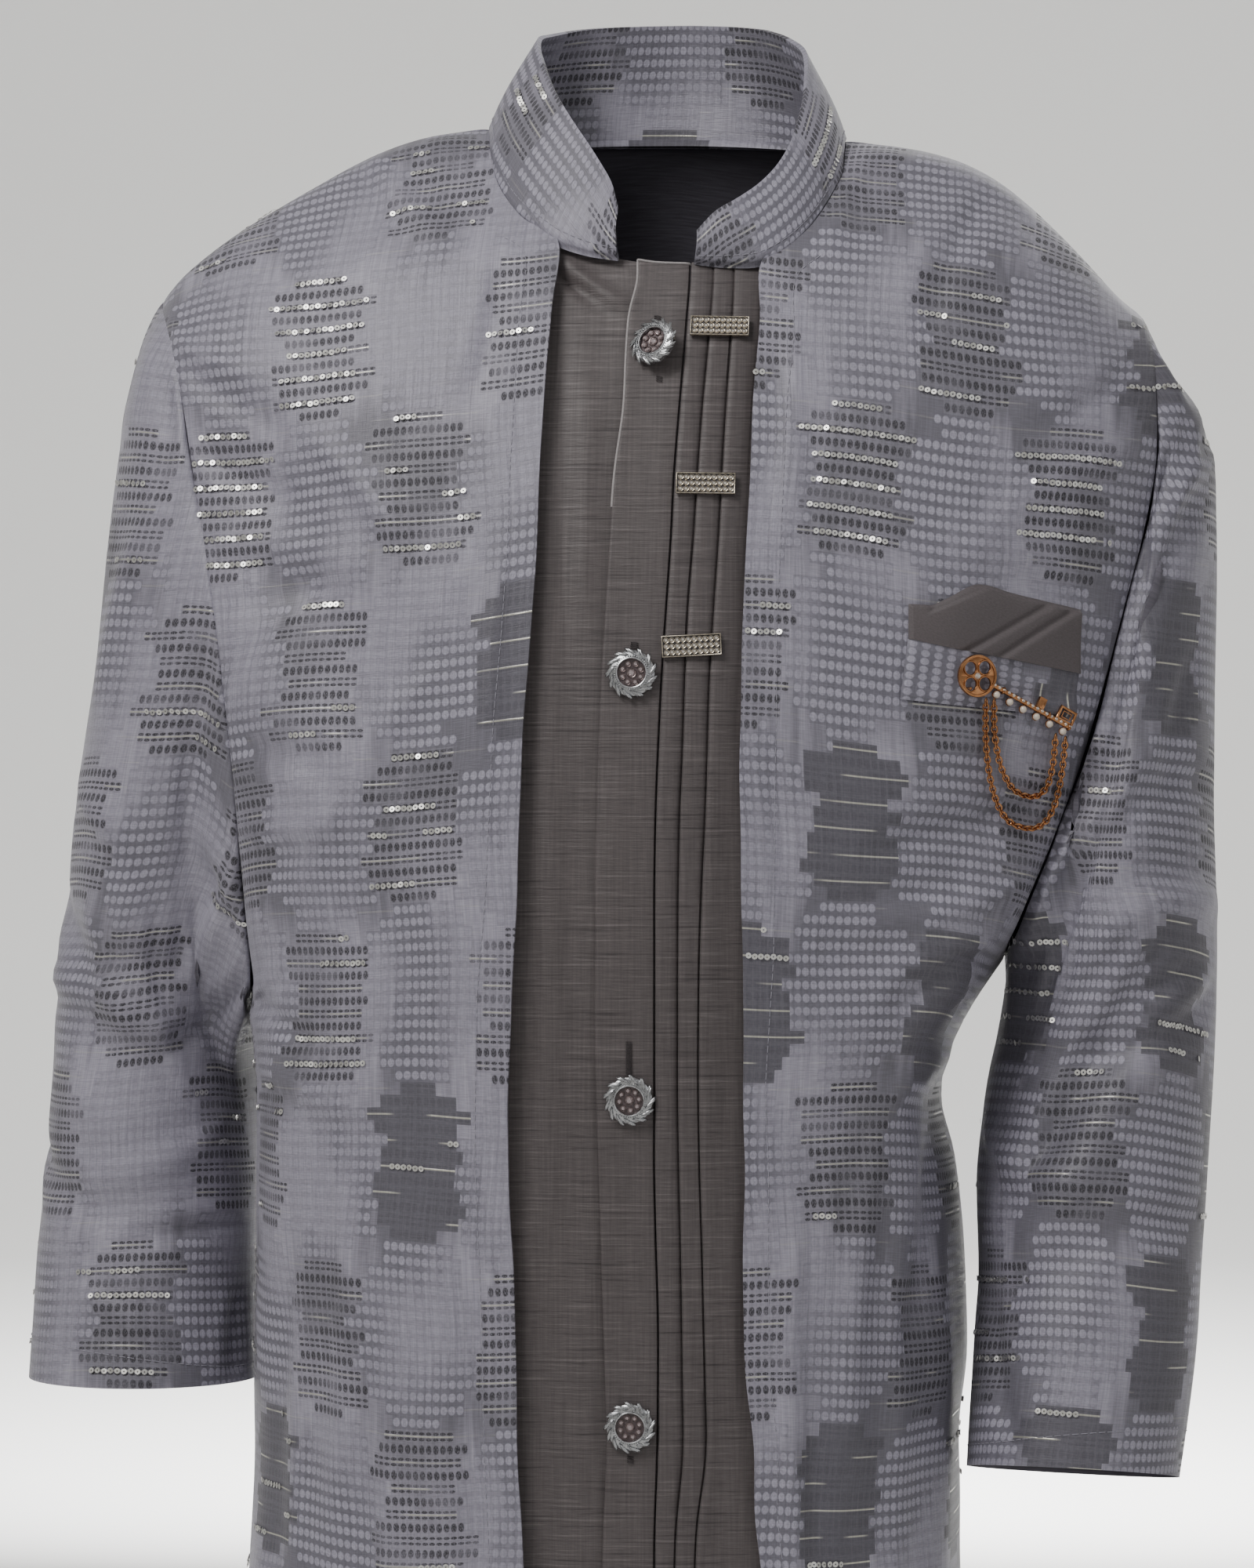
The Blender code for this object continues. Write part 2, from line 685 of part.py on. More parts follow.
# Sleeves: row, outer and inner pixel, middle depth, half depth
SLEEVE_RIGHT_ROWS = (
    (385, 196, 520, 0.000, 0.034), (410, 183, 510, 0.000, 0.042),
    (430, 175, 500, 0.000, 0.048), (500, 160, 480, 0.000, 0.056),
    (620, 148, 455, -0.002, 0.064), (780, 133, 432, -0.002, 0.068),
    (930, 115, 402, 0.002, 0.068), (1060, 97, 374, 0.010, 0.066),
    (1180, 84, 345, 0.018, 0.064), (1260, 77, 328, 0.026, 0.061),
    (1360, 73, 327, 0.031, 0.059), (1500, 63, 328, 0.032, 0.057),
    (1620, 50, 328, 0.028, 0.055), (1700, 45, 328, 0.024, 0.054),
    (1767, 40, 328, 0.020, 0.053),
)
SLEEVE_LEFT_ROWS = (
    (395, 1460, 1150, 0.000, 0.034), (430, 1470, 1160, 0.000, 0.044),
    (460, 1480, 1165, 0.000, 0.050), (500, 1502, 1172, 0.000, 0.055),
    (565, 1548, 1182, 0.000, 0.060), (700, 1553, 1190, -0.003, 0.066),
    (900, 1550, 1205, -0.007, 0.069), (1060, 1549, 1225, -0.009, 0.069),
    (1160, 1553, 1248, -0.009, 0.067), (1212, 1553, 1272, -0.008, 0.064),
    (1300, 1552, 1270, -0.008, 0.062), (1400, 1546, 1256, -0.012, 0.060),
    (1500, 1540, 1246, -0.018, 0.058), (1600, 1533, 1248, -0.024, 0.057),
    (1700, 1527, 1243, -0.030, 0.056), (1800, 1514, 1236, -0.036, 0.055),
    (1854, 1505, 1233, -0.040, 0.054),
)
SLEEVE_ROWS = 19
SLEEVE_CLEAR = 0.0024
CUFF_TILT = {-1: (0.0, 0.0), 1: (-0.0020, 0.0085)}


def sleeve_tables(hand):
    rows = SLEEVE_RIGHT_ROWS if hand < 0 else SLEEVE_LEFT_ROWS
    far, near, depth, half = [], [], [], []
    for py, out_px, in_px, middle, deep in rows:
        z = float(level(py))
        far.append((z, float(seen(out_px, py, middle)[0])))
        near.append((z, float(seen(in_px, py, middle)[0])))
        depth.append((z, middle))
        half.append((z, deep))
    return Curve(*far), Curve(*near), Curve(*depth), Curve(*half)


# Largest folds of the sleeves: turn round the sleeve, share down it, slope, widths, height
SLEEVE_FOLDS = {
    -1: (
        (-0.9, 0.62, 0.35, 0.60, 0.045, -0.0040),
        (-1.2, 0.74, -0.30, 0.70, 0.040, 0.0035),
        (-1.5, 0.50, 0.25, 0.55, 0.045, 0.0030),
        (1.4, 0.60, 0.30, 0.80, 0.045, -0.0045),
        (1.2, 0.76, -0.25, 0.80, 0.040, 0.0040),
        (2.8, 0.55, 0.20, 0.60, 0.045, -0.0030),
    ),
    1: (
        (-1.8, 0.56, 0.40, 0.60, 0.040, -0.0055),
        (-1.4, 0.65, 0.35, 0.60, 0.040, 0.0045),
        (-2.1, 0.74, -0.30, 0.60, 0.045, -0.0035),
        (-0.8, 0.14, 0.10, 0.45, 0.040, -0.0060),
        (1.4, 0.58, 0.30, 0.80, 0.045, -0.0045),
        (1.7, 0.72, -0.30, 0.80, 0.040, 0.0040),
    ),
}


def sleeve_grid(hand):
    """Rings of one sleeve: round the arm by column, armhole to cuff by row."""
    far, near, depth, half = sleeve_tables(hand)
    front, back = ARM_FRONT[hand], ARM_BACK[hand]
    loop = list(front) + list(back[-2:0:-1])
    count = len(loop)
    bottom = min(far.at)

    def section(z, angle):
        out_x, in_x = far(z), near(z)
        middle = 0.5 * (out_x + in_x)
        reach = abs(out_x - in_x) * 0.5
        x = middle + hand * reach * math.cos(angle)
        y = depth(z) - half(z) * math.sin(angle)
        return np.array((x, y, z))

    def angle_at(point):
        out_x, in_x = far(point[2]), near(point[2])
        middle = 0.5 * (out_x + in_x)
        reach = abs(out_x - in_x) * 0.5
        side = (point[0] - middle) / reach * hand
        fore = (depth(point[2]) - point[1]) / half(point[2])
        return math.atan2(fore, side)

    starts = [angle_at(point) for point in loop]
    starts[0] = 0.0
    starts[ARM_ROWS] = math.pi
    for index in range(ARM_ROWS + 1, count):
        if starts[index] < 0:
            starts[index] += 2 * math.pi
    starts = [starts[0]] + starts[1:]
    even = [2 * math.pi * index / count for index in range(count)]
    rows = []
    tilt_side, tilt_fore = CUFF_TILT[hand]
    for j in range(SLEEVE_ROWS + 1):
        share = j / SLEEVE_ROWS
        ring = []
        for k, point in enumerate(loop):
            turn = soft(share / 0.55)
            angle = starts[k] * (1 - turn) + even[k] * turn
            cuff = bottom + tilt_side * math.cos(angle) + tilt_fore * math.sin(angle)
            drop = share ** 1.12
            z = point[2] + (cuff - point[2]) * drop
            place = section(max(z, bottom), angle)
            start = section(point[2], starts[k])
            fade = 1 - soft(share / 0.30)
            place = place + (point - start) * fade
            place[2] = z
            bump = 0.0
            signed = angle if angle <= math.pi else angle - 2 * math.pi
            for at, down, slope, wide, long, high in SLEEVE_FOLDS[hand]:
                aside = (signed + at) / wide
                below = (share - down - slope * aside * 0.12) / long
                bump += high * math.exp(-aside * aside - below * below)
            outward = unit(place - section(max(z, bottom), angle + math.pi) + 1e-9)
            outward[2] = 0.0
            place = place + outward * bump * soft(share * 12)
            under = loop[ARM_ROWS][2]
            if place[2] < under + 0.022 and j > 0:
                clear = body_side(place[1], min(place[2], under), hand) + hand * SLEEVE_CLEAR
                if place[0] * hand < clear * hand:
                    place[0] = mix(place[0], clear, soft((under + 0.022 - place[2]) / 0.014))
            ring.append(place)
        rows.append(ring)
    return np.array(rows)


def build_coat():
    fronts = {hand: side_grid(hand) for hand in (-1, 1)}
    back = back_grid()
    sleeves = {hand: sleeve_grid(hand) for hand in (-1, 1)}
    out_front = {}
    for hand in (-1, 1):
        out_front[hand] = normals(fronts[hand], flip=hand > 0)
    out_back = normals(back)
    if np.dot(out_back[20, 14], (0, 1, 0)) < 0:
        out_back = -out_back
    for hand in (-1, 1):
        if out_front[hand][20, 3][1] > 0:
            out_front[hand] = -out_front[hand]
    out_sleeve = {}
    for hand in (-1, 1):
        out = normals(sleeves[hand], closed=True)
        if out[8, 0][0] * hand < 0:
            out = -out
        out_sleeve[hand] = out

    last = SHOULDER_STEPS
    columns = back.shape[1] - 1
    wall_front = {hand: out_front[hand].copy() for hand in (-1, 1)}
    wall_back = out_back.copy()
    wall_sleeve = {hand: out_sleeve[hand].copy() for hand in (-1, 1)}
    for hand in (-1, 1):
        for i in range(0, SHOULDER_STEPS):
            column = SHOULDER_STEPS - i if hand < 0 else columns - SHOULDER_STEPS + i
            own, other = out_front[hand][0, i], out_back[0, column]
            wall_front[hand][0, i] = mitre(own, other)
            wall_back[0, column] = mitre(other, own)
        side = 0 if hand < 0 else columns
        for j in range(ARM_ROWS + 1, ARM_ROWS + SKIRT_ROWS + 1):
            own, other = out_front[hand][j, last], out_back[j, side]
            wall_front[hand][j, last] = mitre(own, other)
            wall_back[j, side] = mitre(other, own)
        count = 2 * ARM_ROWS
        for j in range(0, ARM_ROWS + 1):
            sleeve = out_sleeve[hand][0, j]
            own = out_front[hand][j, last]
            back_index = (count - j) % count
            behind = out_back[j, side]
            if j == 0:
                body = unit(own + behind)
                wall_front[hand][j, last] = mitre(body, sleeve)
                wall_back[j, side] = mitre(body, sleeve)
                wall_sleeve[hand][0, j] = mitre(sleeve, body)
                continue
            if j == ARM_ROWS:
                aside = np.array((float(hand), 0.0, 0.0))
                wall_front[hand][j, last] = aside
                wall_back[j, side] = aside
                wall_sleeve[hand][0, j] = -aside
                continue
            sleeve_back = out_sleeve[hand][0, back_index]
            ease = 1 - soft((j - UNDERARM_ROW + 3) / 3)
            wall_front[hand][j, last] = mix(own, mitre(own, sleeve), ease)
            wall_sleeve[hand][0, j] = mix(sleeve, mitre(sleeve, own), ease)
            wall_back[j, side] = mix(behind, mitre(behind, sleeve_back), ease)
            wall_sleeve[hand][0, back_index] = mix(
                sleeve_back, mitre(sleeve_back, behind), ease
            )

    half = SEAM_GAP * 0.5
    for hand, name in ((-1, "front_right"), (1, "front_left")):
        grid = fronts[hand]
        inner = grid - wall_front[hand] * COAT_WALL
        outer = drawn_in(grid, half, top=True, right=True)
        inner = drawn_in(inner, half, top=True, right=True)
        for j in range(NECK_ROWS + 1):
            step = unit(grid[j, 1] - grid[j, 0]) * NECK_GAP * 1.8
            outer[j, 0] += step
            inner[j, 0] += step
        for j in range(UNDERARM_ROW - 1, ARM_ROWS + 1):
            step = wall_front[hand][j, last] * half
            outer[j, last] -= step
            inner[j, last] -= step
        wall(name, outer, inner)
    inner = back - wall_back * COAT_WALL
    outer = drawn_in(back, half, top=True, left=True, right=True)
    inner = drawn_in(inner, half, top=True, left=True, right=True)
    for i in range(SHOULDER_STEPS, SHOULDER_STEPS + NECK_STEPS + 1):
        step = unit(back[1, i] - back[0, i]) * NECK_GAP
        outer[0, i] += step
        inner[0, i] += step
    for j in range(UNDERARM_ROW - 1, ARM_ROWS + 1):
        for column in (0, columns):
            step = wall_back[j, column] * half
            outer[j, column] -= step
            inner[j, column] -= step
    wall("back", outer, inner)
    for hand, name in ((-1, "sleeve_right"), (1, "sleeve_left")):
        grid = sleeves[hand]
        inner = grid - wall_sleeve[hand] * COAT_WALL
        outer = drawn_in(grid, half, top=True)
        inner = drawn_in(inner, half, top=True)
        for j in range(UNDERARM_ROW - 1, 2 * ARM_ROWS - UNDERARM_ROW + 2):
            step = wall_sleeve[hand][0, j] * half
            outer[0, j] -= step
            inner[0, j] -= step
        wall(name, outer, inner, closed=True)


# The collar: lower seam and upper edge, right front end, round the back, left front end
COLLAR_END_RIGHT = ((786, 326), (762, 323), (738, 316))
COLLAR_END_LEFT = ((930, 335), (886, 333))
COLLAR_TOP_RIGHT = (
    (789, 268, -0.0650), (782, 240, -0.0625), (760, 200, -0.0560), (730, 155, -0.0455),
    (706, 115, -0.0310), (692, 80, -0.0150), (685, 52, 0.0020),
)
COLLAR_TOP_BACK = (
    (-0.053, 0.022, 0.056), (-0.034, 0.040, 0.061), (0.0, 0.050, 0.063),
    (0.035, 0.040, 0.060), (0.054, 0.022, 0.052),
)
COLLAR_TOP_LEFT = (
    (1031, 75, 0.0020), (1029, 110, -0.0150), (1020, 150, -0.0300), (1000, 200, -0.0450),
    (960, 243, -0.0580), (912, 272, -0.0670), (889, 296, -0.0705),
)
COLLAR_STEPS = 34
COLLAR_ROWS = 4


def collar_grid():
    low = [on_front(px, py) for px, py in COLLAR_END_RIGHT]
    low += neck_line(-1)[:-1]
    low += back_neck()
    low += neck_line(1)[-2::-1]
    low += [on_front(px, py) for px, py in COLLAR_END_LEFT]
    top = [seen(*place) for place in COLLAR_TOP_RIGHT]
    top += [np.array(place) for place in COLLAR_TOP_BACK]
    top += [seen(*place) for place in COLLAR_TOP_LEFT]
    shares = [index / COLLAR_STEPS for index in range(COLLAR_STEPS + 1)]
    low = spread(low, shares)
    top = spread(top, shares)
    rows = []
    for j in range(COLLAR_ROWS + 1):
        share = j / COLLAR_ROWS
        row = []
        for first, last in zip(top, low):
            point = first + (last - first) * share
            point = point + np.array((0.0, 0.0, 0.0009))
            out = unit(np.array((point[0], point[1] + 0.004, 0.0)))
            row.append(point + out * 0.0022 * math.sin(math.pi * share))
        rows.append(row)
    return np.array(rows)


def build_collar():
    grid = collar_grid()
    out = normals(grid)
    if out[2, COLLAR_STEPS // 2][1] < 0:
        out = -out
    wall("collar", grid, grid - out * COLLAR_WALL)


INNER_ROW_LIST = (
    0, 30, 70, 120, 190, 270, 350, 440, 530, 620, 710, 800, 890, 980, 1070, 1160, 1250,
    1340, 1430, 1520, 1620, 1740, 1880, 2040, 2220, 2420, 2580,
)
HEM_ROW = 2930.0


def inner_rows(px_of, px_count):
    """Rows of picture points for an inner panel, from its neckline to the hem."""
    rows = []
    for reach in INNER_ROW_LIST:
        share = reach / INNER_ROW_LIST[-1]
        row = []
        for i in range(px_count):
            px_top = px_of(i, 345.0)
            start = INNER_TOP(px_top)
            py = start + (HEM_ROW - start) * share
            row.append((px_of(i, max(py, 345.0)), py))
        rows.append(row)
    return rows


def near_top(py, px):
    """1 at the inner neckline, 0 well below it."""
    return 1 - soft((py - INNER_TOP(px)) / 130.0)


def inner_panel(name, columns, sink, wall_thick, raised):
    """A panel below the coat's face: picture columns, how deep, and its relief."""
    rows = inner_rows(lambda i, py: columns[i](py), len(columns))
    outer, inner = [], []
    for row in rows:
        line_out, line_in = [], []
        for i, (px, py) in enumerate(row):
            point = on_front(px, py)
            out = front_out(point)
            high = raised(i, px, py)
            top = near_top(py, px)
            deep = sink - (sink - 0.0036) * 0.55 * top
            line_out.append(point + out * (high - deep))
            line_in.append(point + out * (min(high, 0.0) - deep - wall_thick))
            if high > 0.0022:
                line_in[-1] = point + out * (high - deep - wall_thick)
        outer.append(line_out)
        inner.append(line_in)
    return wall(name, np.array(outer), np.array(inner))


def build_inner():
    def shifted(curve, by):
        return lambda py: curve(py) + by

    under = [
        shifted(EDGE_RIGHT, -88), shifted(EDGE_RIGHT, -64), shifted(EDGE_RIGHT, -32),
        shifted(EDGE_RIGHT, 0), lambda py: 0.5 * (EDGE_RIGHT(py) + PLACKET_EDGE(py)),
        shifted(PLACKET_EDGE, 0), shifted(PLACKET_EDGE, 32), shifted(PLACKET_EDGE, 62),
    ]
    sewn = {0: 0.0052, 1: 0.0044, 2: 0.0012}
    wave = Curve((300, 0.0), (700, 0.0008), (1200, -0.0006), (1700, 0.0010), (2930, 0.0))

    def relief_under(i, px, py):
        if i in sewn:
            top = near_top(py, px)
            return sewn[i] * (1 - 0.45 * top)
        return -0.0004 + (wave(py) - 0.001 if i in (3, 4) else -0.0006)

    inner_panel("inner_front_right", under, UNDER_SINK, INNER_WALL, relief_under)

    first, second, third = TUCKS
    left = [
        first, shifted(first, 1.0), shifted(first, 10), shifted(second, -1.2), second,
        shifted(second, 9), shifted(third, -1.2), third, shifted(third, 9),
        shifted(third, 30), shifted(EDGE_LEFT, 6), shifted(EDGE_LEFT, 44),
        shifted(EDGE_LEFT, 88),
    ]
    heights = (
        0.0002, TUCK_HEIGHT, TUCK_HEIGHT, 0.0004, TUCK_HEIGHT + 0.0002, TUCK_HEIGHT + 0.0002,
        0.0004, TUCK_HEIGHT + 0.0002, TUCK_HEIGHT + 0.0002, 0.0003, 0.0, -0.0002, 0.0026,
    )
    inner_panel(
        "inner_front_left", left, INNER_SINK, INNER_WALL,
        lambda i, px, py: heights[i] * (1 - 0.75 * near_top(py, px)),
    )
    strip = [
        PLACKET_EDGE, shifted(PLACKET_EDGE, 8),
        lambda py: 0.5 * (PLACKET_EDGE(py) + first(py)), shifted(first, -1.4),
    ]
    edge_lift = (0.0003, 0.0, 0.0, 0.0)
    inner_panel("placket", strip, INNER_SINK, INNER_WALL, lambda i, px, py: edge_lift[i])


def frame_at(px, py, out, turn=0.0):
    """Middle, right, up and outward directions for a small piece lying on the front."""
    point = on_front(px, py)
    normal = front_out(point)
    right = unit(np.cross(normal, np.array((0.0, 0.0, 1.0))))
    right = right if right[0] > 0 else -right
    up = unit(np.cross(right, normal))
    up = up if up[2] > 0 else -up
    angle = math.radians(turn)
    turned = right * math.cos(angle) + up * math.sin(angle)
    up = up * math.cos(angle) - right * math.sin(angle)
    return point + normal * out, turned, up, normal


def lathe(name, frame, profile, steps=16, scallop=0.0):
    """A turned piece: (radius, height) pairs from the back's middle to the face's middle."""
    points = [(0.0, 0.0, profile[0][1])]
    for index, (radius, high) in enumerate(profile[1:-1]):
        for step in range(steps):
            angle = 2 * math.pi * step / steps
            wavy = radius + (scallop if step % 2 else 0.0) * (index in (0, 1))
            points.append((math.cos(angle) * wavy, math.sin(angle) * wavy, high))
    points.append((0.0, 0.0, profile[-1][1]))
    faces = []
    rings = len(profile) - 2
    for step in range(steps):
        after = (step + 1) % steps
        faces.append((0, 1 + after, 1 + step))
        for ring in range(rings - 1):
            low, high = 1 + ring * steps, 1 + (ring + 1) * steps
            faces.append((low + step, low + after, high + after, high + step))
        low = 1 + (rings - 1) * steps
        faces.append((low + step, low + after, len(points) - 1))
    return placed(face_out(mesh_object(name, points, faces)), frame)


# Buttons: row, column, tilt, turn
BUTTON_RADIUS = 0.0113
BUTTONS = (
    (840, 435, 0.0), (805, 857, 8.0), (802, 1405, -6.0), (803, 1822, 4.0),
)


def build_buttons():
    profile = (
        (0.0, 0.0), (BUTTON_RADIUS * 0.86, 0.0), (BUTTON_RADIUS, 0.0012),
        (BUTTON_RADIUS * 0.93, 0.0026), (BUTTON_RADIUS * 0.66, 0.0034),
        (BUTTON_RADIUS * 0.58, 0.0026), (BUTTON_RADIUS * 0.30, 0.0034), (0.0, 0.0040),
    )
    for index, (px, py, turn) in enumerate(BUTTONS):
        frame = frame_at(px, py, -INNER_SINK + 0.0008 + 0.0012 * near_top(py, px), turn)
        if index == 0:
            middle, right, up, normal = frame
            normal = unit(normal - right * 0.45)
            right = unit(np.cross(up, normal))
            right = right if right[0] > 0 else -right
            frame = (middle + normal * 0.0036, right, up, normal)
        lathe("button_%d" % (index + 1), frame, profile, scallop=-0.0007)


def slab(name, frame, width, height, thick, bevel):
    """A small block with a bevelled face."""
    points = []
    for half_w, half_h, high in (
        (width / 2, height / 2, 0.0),
        (width / 2, height / 2, thick - bevel),
        (width / 2 - bevel, height / 2 - bevel, thick),
    ):
        for side, rise in ((-1, -1), (1, -1), (1, 1), (-1, 1)):
            points.append((half_w * side, half_h * rise, high))
    faces = [(3, 2, 1, 0), (8, 9, 10, 11)]
    for base in (0, 4):
        for index in range(4):
            after = (index + 1) % 4
            faces.append((base + index, base + after, base + 4 + after, base + 4 + index))
    return placed(face_out(mesh_object(name, points, faces)), frame)


BARS = ((918, 412, -1.5), (900, 614, -1.0), (882, 822, 3.0))


def build_bars():
    for index, (px, py, turn) in enumerate(BARS):
        lift = -INNER_SINK + TUCK_HEIGHT + 0.0002 + 0.0009 * near_top(py, px) + 0.0006
        frame = frame_at(px, py, lift, turn)
        slab("bar_%d" % (index + 1), frame, 0.0252, 0.0092, 0.0020, 0.0004)


def patch(name, corners, steps_x, steps_y, low, relief):
    """A sheet lying on the front between four picture corners."""
    outer, inner = [], []
    for j in range(steps_y + 1):
        v = j / steps_y
        row_out, row_in = [], []
        for i in range(steps_x + 1):
            u = i / steps_x
            top = np.array(corners[0]) * (1 - u) + np.array(corners[1]) * u
            base = np.array(corners[3]) * (1 - u) + np.array(corners[2]) * u
            px, py = top * (1 - v) + base * v
            point = on_front(px, py)
            out = front_out(point)
            row_in.append(point + out * low)
            row_out.append(point + out * (low + relief(u, v)))
        outer.append(row_out)
        inner.append(row_in)
    return wall(name, np.array(outer), np.array(inner))


SQUARE_TOP = Curve(
    (0.0, 771), (0.13, 772), (0.22, 764), (0.42, 745), (0.60, 756), (1.0, 778),
)


POCKET_LIFT = 0.0011


def build_pocket():
    welt = ((1158, 815), (1375, 859), (1368, 915), (1148, 892))
    patch("pocket_welt", welt, 10, 3, POCKET_LIFT, lambda u, v: 0.0013)
    outer, inner = [], []
    steps_x, steps_y = 12, 4
    for j in range(steps_y + 1):
        v = j / steps_y
        row_out, row_in = [], []
        for i in range(steps_x + 1):
            u = i / steps_x
            px = 1159 + (1376 - 1159) * u
            low = 812.5 + (856.5 - 812.5) * u
            py = SQUARE_TOP(u) * (1 - v) + low * v
            point = on_front(px, py)
            out = front_out(point)
            fold = 0.0016 * math.exp(-(((u - 0.62 + (v - 0.5) * 0.45) / 0.14) ** 2))
            row_in.append(point + out * POCKET_LIFT)
            row_out.append(point + out * (0.0024 + fold * (1 - 0.5 * v)))
        outer.append(row_out)
        inner.append(row_in)
    wall("pocket_square", np.array(outer), np.array(inner))


def tube(name, line, radius, sides=6):
    """A closed tube along a line of points."""
    line = [np.array(point, float) for point in line]
    points, faces = [], []
    for index, middle in enumerate(line):
        before = line[max(index - 1, 0)]
        after = line[min(index + 1, len(line) - 1)]
        along = unit(after - before)
        across = unit(np.cross(along, np.array((0.0, -1.0, 0.15))))
        up = unit(np.cross(across, along))
        for step in range(sides):
            angle = 2 * math.pi * (step + 0.5) / sides
            points.append(middle + (across * math.cos(angle) + up * math.sin(angle)) * radius)
    for index in range(len(line) - 1):
        for step in range(sides):
            after = (step + 1) % sides
            low, high = index * sides, (index + 1) * sides
            faces.append((low + step, low + after, high + after, high + step))
    faces.append(tuple(range(sides))[::-1])
    end = (len(line) - 1) * sides
    faces.append(tuple(end + step for step in range(sides)))
    return face_out(mesh_object(name, points, faces))


# The key is straight, so it clears the curved chest between its two ends
BROOCH_LIFT = 0.0063


def build_brooch():
    """The key: one flat outline of bow ring, shaft and bit, thickened off the welt."""
    normal = front_out(on_front(1290, 893))
    bow = on_front(1238, 862) + normal * BROOCH_LIFT
    tip = on_front(1357, 928) + normal * BROOCH_LIFT
    along = unit(tip - bow)
    across = unit(np.cross(normal, along))
    across = across if across[2] > 0 else -across
    length = float(np.linalg.norm(tip - bow))
    radius = 0.0090
    outline = []
    steps = 22
    for step in range(steps + 1):
        angle = math.radians(14 + (360 - 28) * step / steps)
        outline.append((math.cos(angle) * radius, math.sin(angle) * radius))
    shaft = 0.0013
    bit_lower = (
        (length * 0.62, -shaft), (length * 0.62, -0.0034), (length * 0.72, -0.0034),
        (length * 0.72, -shaft), (length * 0.84, -shaft), (length * 0.84, -0.0026),
        (length, -0.0026),
    )
    bit_upper = (
        (length, 0.0062), (length * 0.85, 0.0062), (length * 0.85, shaft),
        (length * 0.72, shaft), (length * 0.72, 0.0042), (length * 0.62, 0.0042),
        (length * 0.62, shaft),
    )
    outline = outline + list(bit_lower) + list(bit_upper)
    front, rear = [], []
    for a, b in outline:
        front.append(bow + along * a + across * b + normal * 0.0010)
        rear.append(bow + along * a + across * b - normal * 0.0008)
    count = len(outline)
    faces = [tuple(range(count)), tuple(range(2 * count - 1, count - 1, -1))]
    for index in range(count):
        after = (index + 1) % count
        faces.append((index, index + count, after + count, after))
    face_out(mesh_object("brooch_key", front + rear, faces))

    for name, low, start, end in (
        ("brooch_chain_inner", (1301, 1013), (1262, 897), (1337, 938)),
        ("brooch_chain_outer", (1298, 1056), (1252, 896), (1349, 941)),
    ):
        line = []
        steps = 18
        for step in range(steps + 1):
            t = step / steps * 2 - 1
            px = 0.5 * (start[0] + end[0]) + 0.5 * (end[0] - start[0]) * math.sin(
                t * math.pi / 2
            )
            px += (low[0] - 0.5 * (start[0] + end[0])) * (1 - t * t)
            top = start[1] + (end[1] - start[1]) * (t + 1) / 2
            sag = (1 - abs(t) ** 2.3) * (low[1] - 0.5 * (start[1] + end[1]))
            line.append(over_front(px, top + sag, 0.0040))
        tube(name, line, 0.0009)


build_coat()
build_collar()
build_inner()
build_buttons()
build_bars()
build_pocket()
build_brooch()
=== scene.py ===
"""Looks of a sherwani coat: its cloth, trim, sequins, stitching, light and camera.

Metres. The coat's front faces -Y, up is +Z, and the wearer's left is at +X.
"""

import math
import random

import bmesh
import bpy
import numpy as np
from mathutils import Matrix, Vector
from mathutils.bvhtree import BVHTree


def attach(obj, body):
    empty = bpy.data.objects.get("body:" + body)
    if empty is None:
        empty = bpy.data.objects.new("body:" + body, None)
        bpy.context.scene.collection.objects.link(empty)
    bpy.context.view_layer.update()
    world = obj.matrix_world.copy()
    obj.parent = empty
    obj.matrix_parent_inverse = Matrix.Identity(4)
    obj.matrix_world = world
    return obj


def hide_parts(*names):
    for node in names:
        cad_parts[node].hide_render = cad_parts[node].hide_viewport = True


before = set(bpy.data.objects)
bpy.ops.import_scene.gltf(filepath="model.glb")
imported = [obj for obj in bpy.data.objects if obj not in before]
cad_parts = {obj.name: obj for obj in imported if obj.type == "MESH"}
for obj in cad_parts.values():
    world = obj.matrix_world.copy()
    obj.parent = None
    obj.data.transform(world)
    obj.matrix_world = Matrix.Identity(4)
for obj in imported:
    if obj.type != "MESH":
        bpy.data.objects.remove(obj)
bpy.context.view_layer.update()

# Walls and small sizes
COAT_THICK = 0.0015
INNER_THICK = 0.0011
COLLAR_THICK = 0.0022
INNER_SINK = 0.0060
UNDER_SINK = 0.0084
COAT_LENGTH = 0.95

# How the outline was measured: one sight line for each measured point
SIGHT_FOCAL = 6303.0
SIGHT_FAR = 2.2
SIGHT_TURN = math.radians(5.0)
SIGHT_SIDE = -0.0185
SIGHT_HEIGHT = -0.281
SIGHT_MID_X = 800.0
SIGHT_MID_Y = 1000.0


def seen(px, py, depth):
    """The point on the sight line through (px, py) that lies at y = depth."""
    right = (px - SIGHT_MID_X) / SIGHT_FOCAL
    up = (SIGHT_MID_Y - py) / SIGHT_FOCAL
    sine = math.sin(SIGHT_TURN)
    cosine = math.cos(SIGHT_TURN)
    ray = np.array((-sine + right * cosine, cosine + right * sine, up))
    eye = np.array((SIGHT_SIDE + SIGHT_FAR * sine, -SIGHT_FAR * cosine, SIGHT_HEIGHT))
    return eye + ray * ((depth - eye[1]) / ray[1])


def level(py):
    """Height of a measured row on the plane of the shoulders."""
    return seen(SIGHT_MID_X, py, 0.0)[2]


